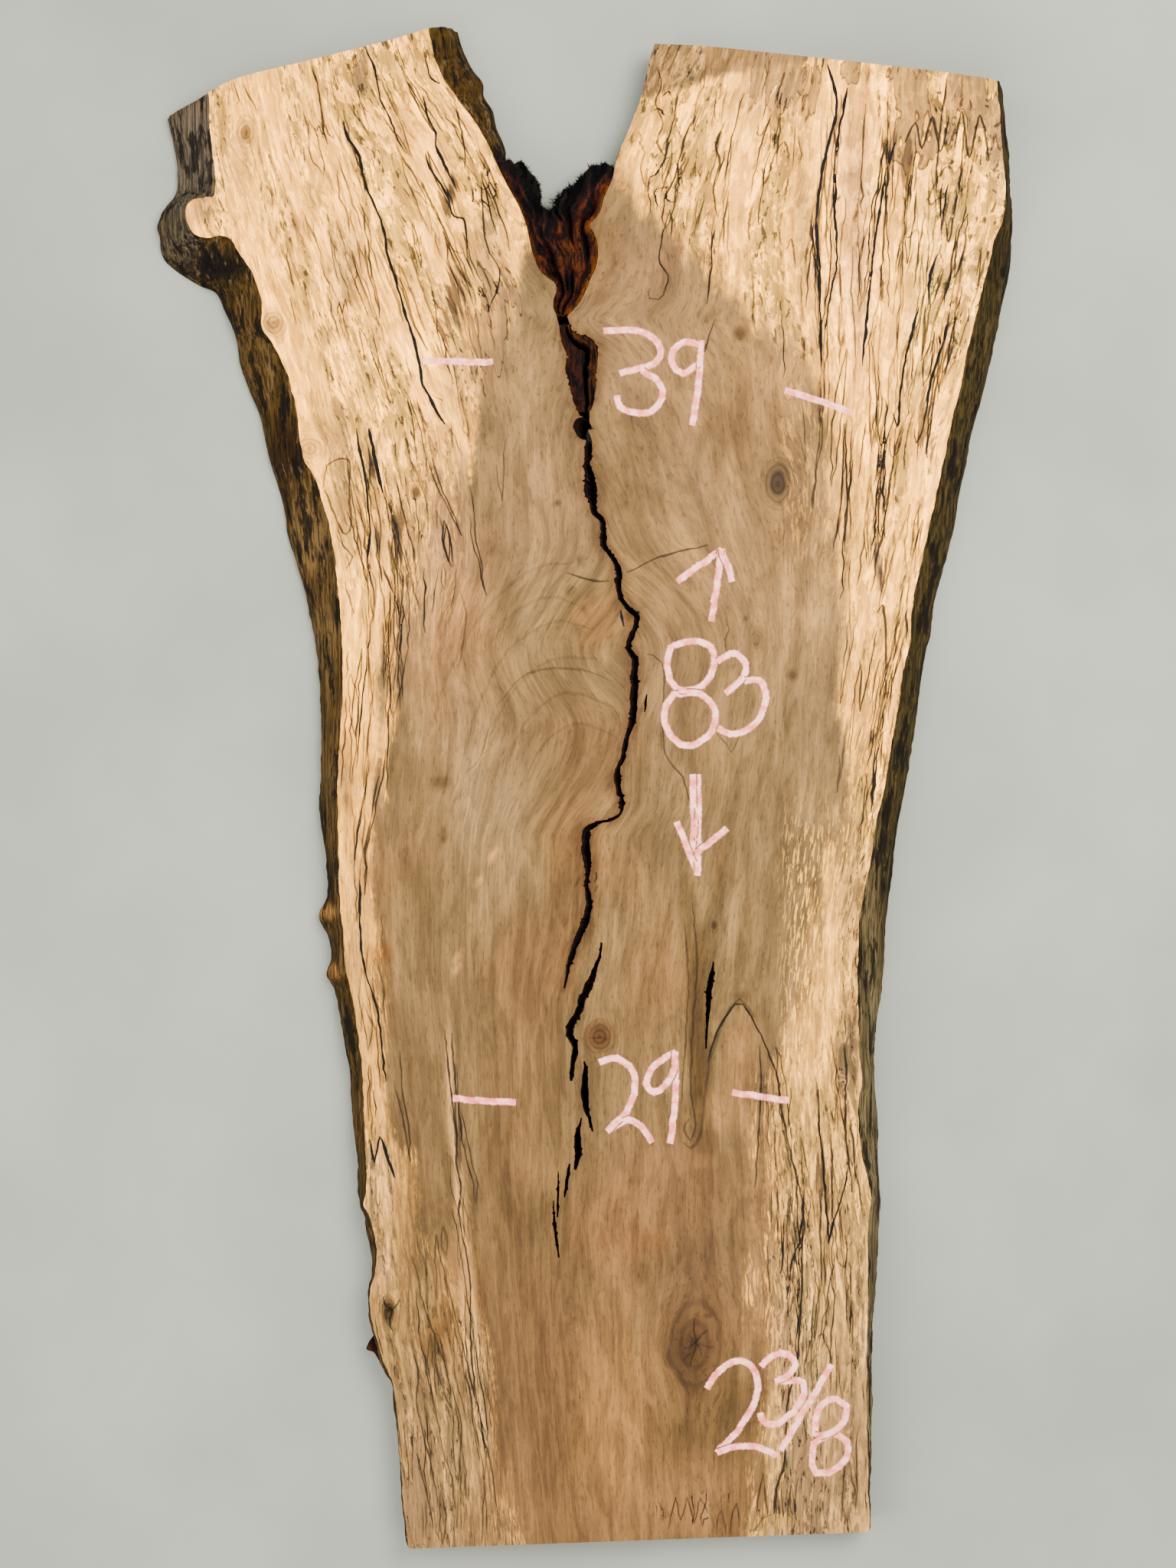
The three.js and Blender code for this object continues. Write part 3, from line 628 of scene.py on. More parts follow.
PATCHES: tuple[Patch, ...] = tuple(itertools.starmap(Patch, (
    (560, 700, 70, 190, (208, 172, 130), 0.6), (590, 860, 80, 160, (204, 168, 126), 0.6),
    (540, 1080, 70, 150, (184, 150, 108), 0.7), (500, 1250, 22, 160, (176, 136, 88), 0.5),
    (640, 1040, 60, 150, (206, 180, 144), 0.5), (560, 1400, 60, 170, (168, 135, 96), 0.7),
    (680, 1400, 46, 240, (174, 138, 96), 0.7), (560, 1650, 50, 180, (166, 132, 92), 0.5),
    (537, 1590, 7, 120, (176, 128, 76), 0.6, 0.05), (496, 1545, 22, 70, (226, 196, 150), 0.8),
    (502, 1650, 16, 60, (220, 188, 144), 0.7), (660, 480, 60, 60, (190, 156, 114), 0.5),
    (838, 372, 95, 62, (186, 152, 115), 0.85, -0.5), (785, 330, 26, 80, (168, 131, 92), 0.7),
    (840, 470, 110, 70, (200, 168, 128), 0.6), (870, 340, 60, 60, (200, 165, 126), 0.5, 0.3),
    (845, 620, 105, 130, (171, 139, 100), 0.75), (690, 600, 60, 90, (190, 156, 116), 0.5),
    (700, 690, 70, 70, (190, 156, 118), 0.6), (775, 815, 40, 42, (184, 144, 96), 0.8, 0.2),
    (764, 797, 4, 6, (96, 62, 36), 0.95), (744, 772, 7, 9, (138, 110, 78), 0.8),
    (930, 700, 120, 120, (184, 152, 112), 0.5), (870, 900, 70, 120, (176, 142, 104), 0.6),
    (690, 930, 90, 90, (178, 144, 104), 0.6), (775, 990, 70, 90, (176, 138, 96), 0.6),
    (745, 1100, 60, 70, (172, 130, 84), 0.7), (805, 1140, 70, 80, (178, 138, 94), 0.5),
    (700, 1260, 80, 90, (172, 134, 92), 0.6), (855, 1260, 60, 130, (188, 148, 102), 0.5),
    (911, 1330, 17, 170, (124, 92, 54), 0.95, 0.03), (897, 1180, 14, 90, (150, 118, 78), 0.6),
    (940, 1130, 22, 70, (160, 126, 84), 0.6), (975, 1180, 22, 110, (176, 142, 100), 0.4),
    (966, 1303, 15, 10, (124, 96, 62), 0.9), (986, 1330, 6, 24, (142, 114, 78), 0.7, -0.45),
    (944, 1332, 8, 24, (148, 118, 80), 0.7, 0.5), (926, 1384, 6, 44, (138, 106, 68), 0.8, 0.12),
    (972, 1395, 34, 76, (196, 160, 114), 0.8), (985, 1420, 16, 44, (158, 128, 90), 0.8),
    (950, 1452, 40, 30, (198, 162, 118), 0.6), (907, 1484, 9, 30, (146, 114, 76), 0.5),
    (916, 1518, 18, 12, (204, 168, 122), 0.7), (860, 1560, 110, 90, (184, 146, 106), 0.7),
    (850, 1625, 34, 26, (172, 124, 82), 0.6), (800, 1610, 60, 60, (186, 142, 98), 0.5),
    (912, 1655, 62, 56, (160, 126, 91), 0.85, 0.3), (905, 1700, 70, 50, (180, 146, 108), 0.6),
    (985, 1690, 50, 90, (188, 152, 114), 0.5), (830, 1740, 46, 110, (190, 154, 112), 0.6),
    (905, 1770, 46, 80, (192, 156, 114), 0.6), (700, 1740, 80, 130, (170, 134, 95), 0.75),
    (700, 1860, 70, 170, (172, 135, 96), 0.75), (800, 1880, 60, 170, (206, 170, 122), 0.75),
    (760, 1985, 110, 40, (184, 146, 104), 0.6), (620, 1960, 60, 80, (186, 147, 104), 0.5),
    (900, 1960, 90, 70, (202, 165, 122), 0.6), (572, 1742, 18, 38, (160, 118, 68), 0.8, -0.2),
    (600, 1700, 30, 80, (196, 150, 100), 0.4), (546, 1903, 10, 13, (150, 120, 76), 0.6),
    (1010, 1650, 40, 220, (200, 164, 122), 0.4), (1095, 1900, 60, 120, (200, 166, 126), 0.6),
    (1050, 1960, 40, 60, (178, 142, 104), 0.5), (520, 1010, 70, 34, (164, 130, 88), 0.5),
    (575, 1022, 16, 10, (122, 92, 58), 0.7), (580, 1092, 5, 12, (120, 86, 52), 0.8),
    (500, 1245, 18, 16, (176, 118, 66), 0.7), (963, 437, 8, 8, (150, 112, 74), 0.5),
    (1302, 200, 16, 70, (206, 176, 138), 0.7), (1000, 125, 60, 40, (206, 170, 128), 0.6),
    (1115, 290, 26, 190, (230, 198, 154), 0.8), (1048, 285, 12, 100, (206, 172, 120), 0.85),
    (450, 345, 34, 56, (221, 190, 144), 0.7, -0.2), (392, 295, 16, 24, (196, 150, 104), 0.6),
    (262, 272, 22, 26, (218, 182, 136), 0.8), (300, 205, 30, 50, (228, 196, 148), 0.5),
    (430, 560, 30, 40, (204, 166, 122), 0.6), (610, 490, 40, 60, (212, 176, 132), 0.6),
    (1148, 742, 6, 40, (148, 128, 116), 0.9, 0.15), (587, 256, 7, 36, (122, 108, 92), 0.85, -0.2),
    (600, 380, 22, 80, (188, 160, 124), 0.6, -0.25), (488, 600, 8, 40, (120, 106, 88), 0.7, -0.2),
    (493, 705, 7, 26, (120, 104, 86), 0.7), (1002, 1420, 10, 70, (150, 124, 88), 0.6, -0.1),
    (590, 1430, 9, 100, (214, 184, 140), 0.95, 0.05), (601, 1560, 10, 100, (218, 188, 142), 0.95, 0.06),
    (612, 1700, 10, 100, (220, 190, 144), 0.95, 0.06), (626, 1830, 12, 110, (222, 192, 146), 0.95, 0.1),
    (590, 1920, 30, 80, (212, 180, 134), 0.6, 0.05), (540, 1860, 18, 90, (210, 176, 132), 0.5),
    (643, 1118, 5, 16, (228, 196, 152), 0.9, -0.4), (625, 1152, 4, 10, (224, 190, 146), 0.8, -0.4),
    (597, 1258, 4, 18, (222, 190, 146), 0.8, -0.2), (754, 822, 8, 11, (134, 112, 82), 0.8),
    (820, 806, 8, 10, (128, 82, 54), 0.95), (757, 731, 7, 8, (134, 112, 82), 0.7),
    (727, 655, 3, 8, (84, 58, 36), 0.9, -0.3), (973, 807, 3, 4, (76, 50, 32), 0.9),
    (768, 985, 2.5, 2.5, (70, 44, 26), 0.95), (1262, 350, 26, 100, (244, 218, 166), 0.8, 0.15),
    (1218, 580, 22, 120, (243, 216, 164), 0.7, 0.15), (465, 1230, 16, 220, (220, 188, 134), 0.8),
    (1108, 1375, 22, 80, (180, 148, 108), 0.7), (1112, 1150, 26, 150, (198, 166, 122), 0.75),
    (450, 620, 26, 110, (196, 164, 122), 0.8), (640, 320, 24, 90, (196, 164, 124), 0.7),
    (830, 600, 30, 90, (160, 128, 90), 0.5), (548, 1630, 36, 96, (150, 120, 82), 0.65),
    (745, 1180, 40, 90, (160, 122, 80), 0.5), (960, 900, 60, 200, (178, 146, 106), 0.5),
    (1018, 704, 40, 50, (172, 138, 100), 0.6), (1020, 480, 40, 70, (216, 184, 142), 0.6),
    (1206, 380, 26, 150, (248, 222, 172), 0.7), (924, 1240, 12, 60, (126, 96, 60), 0.6),
    (1112, 1360, 20, 70, (178, 146, 106), 0.7), (924, 1030, 30, 60, (160, 126, 86), 0.5),
    (452, 1030, 14, 60, (188, 156, 110), 0.8), (452, 1256, 14, 60, (194, 160, 112), 0.7),
    (1028, 1800, 26, 110, (222, 188, 144), 0.6), (908, 1750, 8, 26, (158, 112, 56), 0.9),
    (897, 1770, 7, 11, (150, 100, 46), 0.8),
)))


def interpolate(table: Stations, at: np.ndarray) -> np.ndarray:
    """Read the second column of a table of stations at values of the first."""
    rows = np.array(table, float)
    return np.interp(at, rows[:, 0], rows[:, 1])


# Spots as (x, y, half width, half height, turn) in grid steps: where fungi left the wood flat tan with a
# jagged dark rim, where they left it in grey streaks, and where their lines curl.
Spots = tuple[tuple[float, float, float, float, float], ...]
TAN_SPOTS: Spots = (
    (1030, 92, 36, 44, 0), (985, 112, 7, 22, 0), (1196, 128, 30, 70, 0), (1270, 126, 36, 52, 0),
    (1110, 92, 14, 20, 0), (600, 90, 12, 40, -0.3), (470, 98, 12, 30, -0.2), (640, 420, 26, 60, -0.2),
    (1160, 1480, 12, 40, 0), (548, 1960, 20, 60, -0.1), (1050, 1930, 20, 60, 0.1),
)
GREY_SPOTS: Spots = (
    (588, 255, 13, 34, -0.3), (590, 400, 20, 76, -0.2), (1067, 320, 9, 120, 0), (1160, 205, 8, 34, 0.25),
    (1184, 216, 14, 40, 0), (488, 600, 9, 44, -0.2), (493, 705, 8, 32, -0.2), (1148, 742, 6, 44, 0.15),
    (1002, 1420, 10, 60, 0), (1210, 560, 12, 60, 0.15), (600, 1500, 6, 90, 0.05), (1075, 1540, 10, 60, 0),
    (520, 700, 10, 60, -0.1),
)
CURL_SPOTS: Spots = (
    (630, 245, 26, 60, -0.2), (866, 200, 34, 120, 0), (640, 400, 26, 60, -0.2), (480, 1510, 30, 26, 0),
    (930, 1970, 90, 26, 0), (420, 190, 30, 50, 0),
)


def nearness(x: np.ndarray, y: np.ndarray, spots: Spots) -> np.ndarray:
    """Give how near points are to spots: 1 in a middle, 0.5 at a rim, and 0 at twice its reach.

    Args:
        x: Grid columns.
        y: Grid rows.
        spots: The spots.

    Returns:
        One value for each point.
    """
    near = np.zeros(len(x))
    for middle_x, middle_y, wide, high, turn in spots:
        dx, dy = x - middle_x, y - middle_y
        u = (dx * math.cos(turn) - dy * math.sin(turn)) / wide
        v = (dx * math.sin(turn) + dy * math.cos(turn)) / high
        near = np.maximum(near, 1 - 0.5 * np.hypot(u, v))
    return near


@dataclass
class Figure:
    """The grain and tone at points of the slab, from streamlines, knots and patches."""

    drawing: Drawing
    cream: Colour = paint(242, 215, 156)
    heart: Colour = paint(180, 151, 110)
    limb_tan: Colour = paint(208, 174, 130)
    low_heart: Colour = paint(164, 131, 89)
    low_left_cream: Colour = paint(190, 157, 112)
    low_right_cream: Colour = paint(210, 180, 134)
    damp_grey: Colour = paint(186, 152, 110)

    def across(self, x: np.ndarray, y: np.ndarray) -> np.ndarray:
        """Give the measure across the grain at grid points, in metres from the seam.

        Args:
            x: Grid columns.
            y: Grid rows.

        Returns:
            Negative values left of the seam and positive values right of it.
        """
        fork = y < THROAT_ROW
        seam_left = np.where(fork, interpolate(LEFT_INNER_STREAM, y), interpolate(SEAM_STREAM, y))
        seam_right = np.where(fork, interpolate(RIGHT_INNER_STREAM, y), interpolate(SEAM_STREAM, y))
        held = interpolate(SEAM_GRAIN, y)
        left_outer = interpolate(LEFT_STREAM, y)
        left_mid = interpolate(LEFT_MID_STREAM, y)
        right_mid = interpolate(RIGHT_MID_STREAM, y)
        right_outer = interpolate(RIGHT_STREAM, y)
        left = np.where(
            x < left_mid,
            -OUTER_GRAIN + (x - left_outer) / (left_mid - left_outer) * (OUTER_GRAIN - LEFT_GRAIN),
            -LEFT_GRAIN + (x - left_mid) / (seam_left - left_mid) * (LEFT_GRAIN - held),
        )
        right = np.where(
            x > right_mid,
            RIGHT_GRAIN + (x - right_mid) / (right_outer - right_mid) * (OUTER_GRAIN - RIGHT_GRAIN),
            held + (x - seam_right) / (right_mid - seam_right) * (RIGHT_GRAIN - held),
        )
        return np.where(x < (seam_left + seam_right) / 2, left, right)

    def grain(self, plan: np.ndarray) -> tuple[np.ndarray, np.ndarray]:
        """Give the grain's own coordinates at points, bent round knots and swirled by the seam.

        Args:
            plan: Points in metres.

        Returns:
            Rows of (across, along), and rows of (knot distance, core, rings).
        """
        grid = self.drawing.grid(plan)
        x, y = grid[:, 0].copy(), grid[:, 1].copy()
        marks = np.zeros((len(grid), 3))
        marks[:, 0] = FAR_AWAY
        bent = self.across(x, y)
        wobble = 1 + 0.12 * NOISE.at(plan, 45) + 0.05 * NOISE.at(plan, 140)
        for knot in KNOTS:
            dx, dy = (x - knot.x) / knot.rx, (y - knot.y) / knot.ry
            far = np.hypot(dx, dy) * wobble
            centre = self.across(np.array([knot.x]), np.array([knot.y]))[0]
            ease = np.clip(1 - 1 / np.maximum(far, LEAST_SHARE) ** 2, 0, 1)
            reach = np.exp(-((far / (knot.reach * 1.6)) ** 2))
            bent = bent + (centre + (bent - centre) * ease - bent) * reach
            closer = far < marks[:, 0]
            marks[closer, 0] = far[closer]
            marks[closer, 1] = knot.core * smooth(1.0, 0.55, far[closer])
            marks[closer, 2] = knot.rings * smooth(knot.reach, 0.8, far[closer])
        swirl = np.exp(-((bent / 0.16) ** 2)) * smooth(330, 520, y) * smooth(1250, 1000, y)
        arch = np.exp(-(((x - SEAM_COLUMN) / 170) ** 2)) * smooth(1120, 980, y) * smooth(700, 850, y)
        bent = bent + (0.004 + 0.009 * swirl) * NOISE.layers(plan, 5.5, 3.4, count=2) * 1.3
        bent = bent - np.sign(bent) * 0.05 * arch * smooth(960, 840, y)
        bent = bent + 0.0025 * NOISE.at(plan, 30, 9)
        along = (GRID_FOOT - y) * GRID
        return np.column_stack([bent, along]), marks

    def sap(self, plan: np.ndarray) -> np.ndarray:
        """Give how much of the pale sapwood there is at points, with fingers along the grain.

        Args:
            plan: Points in metres.

        Returns:
            Its share at each point, 0 to 1.
        """
        grid = self.drawing.grid(plan)
        fingers = 26 * NOISE.layers(plan, 60, 7, count=3) + 14 * NOISE.at(plan, 7)
        x, y = grid[:, 0] + fingers, grid[:, 1]
        left = smooth(16, -16, x - interpolate(LEFT_SAP, y))
        right = smooth(-28, 28, x - interpolate(RIGHT_SAP, y))
        return np.where(grid[:, 0] < SEAM_COLUMN, left, right)

    def tone(self, plan: np.ndarray, sap: np.ndarray) -> np.ndarray:
        """Blend the base colour of the wood at points.

        Args:
            plan: Points in metres.
            sap: The sapwood's share there.

        Returns:
            Rows of linear red, green and blue.
        """
        grid = self.drawing.grid(plan)
        x, y = grid[:, 0], grid[:, 1]
        low = smooth(900, 1900, y)
        heart = towards(self.heart, self.low_heart, low)
        low_cream = np.where((x < SEAM_COLUMN)[:, None], self.low_left_cream, self.low_right_cream)
        cream = towards(self.cream, low_cream, low)
        limb = smooth(760, 860, x) * smooth(1150, 1040, x) * smooth(300, 480, y) * smooth(980, 700, y)
        colour = towards(towards(heart, self.limb_tan, 0.5 * limb), cream, sap)
        cloud = NOISE.layers(plan, 24, 6, count=3)[:, None] * (1 - 0.6 * sap)[:, None]
        colour = colour * 1.3 ** np.clip(cloud * 1.6, -1.5, 1.5)
        for patch in PATCHES:
            colour = self.blend(colour, plan, x, y, patch)
        for knot in KNOTS:
            spot = Patch(knot.x, knot.y, knot.rx * 1.5, knot.ry * 1.5, knot.tint, knot.tinted)
            colour = self.blend(colour, plan, x, y, spot)
        return np.clip(self._stain(colour, x, y), 0.004, 0.95)

    @staticmethod
    def blend(
        colour: np.ndarray, plan: np.ndarray, x: np.ndarray, y: np.ndarray, patch: Patch
    ) -> np.ndarray:
        """Blend one patch into the colours.

        Args:
            colour: Rows of linear red, green and blue.
            plan: The points in metres.
            x: Their grid columns.
            y: Their grid rows.
            patch: What is blended in.

        Returns:
            The new rows.
        """
        turn_x, turn_y = math.cos(patch.turn), math.sin(patch.turn)
        dx, dy = x - patch.x, y - patch.y
        near = (np.abs(dx) < patch.rx + patch.ry + 60) & (np.abs(dy) < patch.rx + patch.ry + 60)
        if not near.any():
            return colour
        u = (dx[near] * turn_x - dy[near] * turn_y) / patch.rx
        v = (dx[near] * turn_y + dy[near] * turn_x) / patch.ry
        stray = 0.25 * NOISE.layers(plan[near], 18, 7, count=3)
        share = patch.strength * smooth(1.35, 0.25, np.hypot(u, v) + stray)
        blended = colour.copy()
        blended[near] = towards(colour[near], paint(*patch.tint), share)
        return blended

    def _stain(self, colour: np.ndarray, x: np.ndarray, y: np.ndarray) -> np.ndarray:
        """Darken the damp corner at the right limb's end, above its slanting line.

        Args:
            colour: Rows of linear red, green and blue.
            x: Grid columns.
            y: Grid rows.

        Returns:
            The new rows.
        """
        edge = np.interp(x, (850, 880, 960, 1045, 1320), (128, 117, 96, 80, 74))
        damp = smooth(4.0, -4.0, y - edge) * smooth(1120, 1010, x) * (x > 800)
        shade = 1 - 0.22 * smooth(930, 1030, x) * smooth(1060, 1030, x)
        return towards(colour, np.array(self.damp_grey) * shade[:, None], 0.9 * damp)

    def densities(self, plan: np.ndarray, sap: np.ndarray) -> np.ndarray:
        """Give how much mottle, zone line and pale streak there is at points.

        Args:
            plan: Points in metres.
            sap: The sapwood's share there.

        Returns:
            Rows of (mottle, lines, streaks), each 0 to 1.
        """
        grid = self.drawing.grid(plan)
        x, y = grid[:, 0], grid[:, 1]
        clear_left = smooth(760, 860, y) * smooth(1500, 1450, y) * (x < 620)
        clear_right = smooth(1090, 1150, x) * smooth(1750, 1820, y)
        mottle = sap * (1 - 0.6 * clear_left) * (1 - 0.5 * clear_right)
        left_lines = smooth(330, 470, x) * smooth(690, 640, x) * smooth(800, 700, y)
        low_left = smooth(700, 620, x) * smooth(1480, 1560, y)
        right_lines = smooth(820, 900, x) * smooth(960, 850, y)
        low_right = smooth(985, 1010, x) * smooth(1240, 1330, y)
        lines = sap * np.clip(left_lines + low_left + right_lines + low_right, 0, 1)
        edge, heart = np.abs(sap - 0.5) * 2, 1 - sap
        streaks = (1 - edge) * (0.6 + 0.4 * smooth(560, 800, y))
        streaks = streaks + 0.8 * smooth(1010, 1040, x) * smooth(1000, 1150, y) * heart
        streaks = streaks + 0.25 * smooth(1000, 1030, x) * smooth(800, 680, y) * heart
        streaks = streaks + 0.35 * smooth(620, 590, x) * smooth(500, 540, x) * smooth(880, 760, y)
        streaks = streaks * (1 - 0.6 * smooth(700, 620, x) * smooth(1480, 1560, y))
        return np.column_stack([mottle, lines, np.clip(streaks, 0, 1)])


class Tool(Enum):
    """What a line on the face was made by, and how far from its middle the mesh carries it."""

    FUNGUS = 0.0026
    CHALK = 0.0062


# The mesh attributes that hold the lines through each triangle.
LINE_LAYERS = ("line_a", "line_b", "line_c")
CHALK_LAYER = "chalk_at"


@dataclass(frozen=True)
class Line:
    """One line on the face: its points in grid steps, its width in mm, and how strong it is."""

    points: Stations
    width: float = 1.5
    strength: float = 1.0
    tool: Tool = Tool.FUNGUS


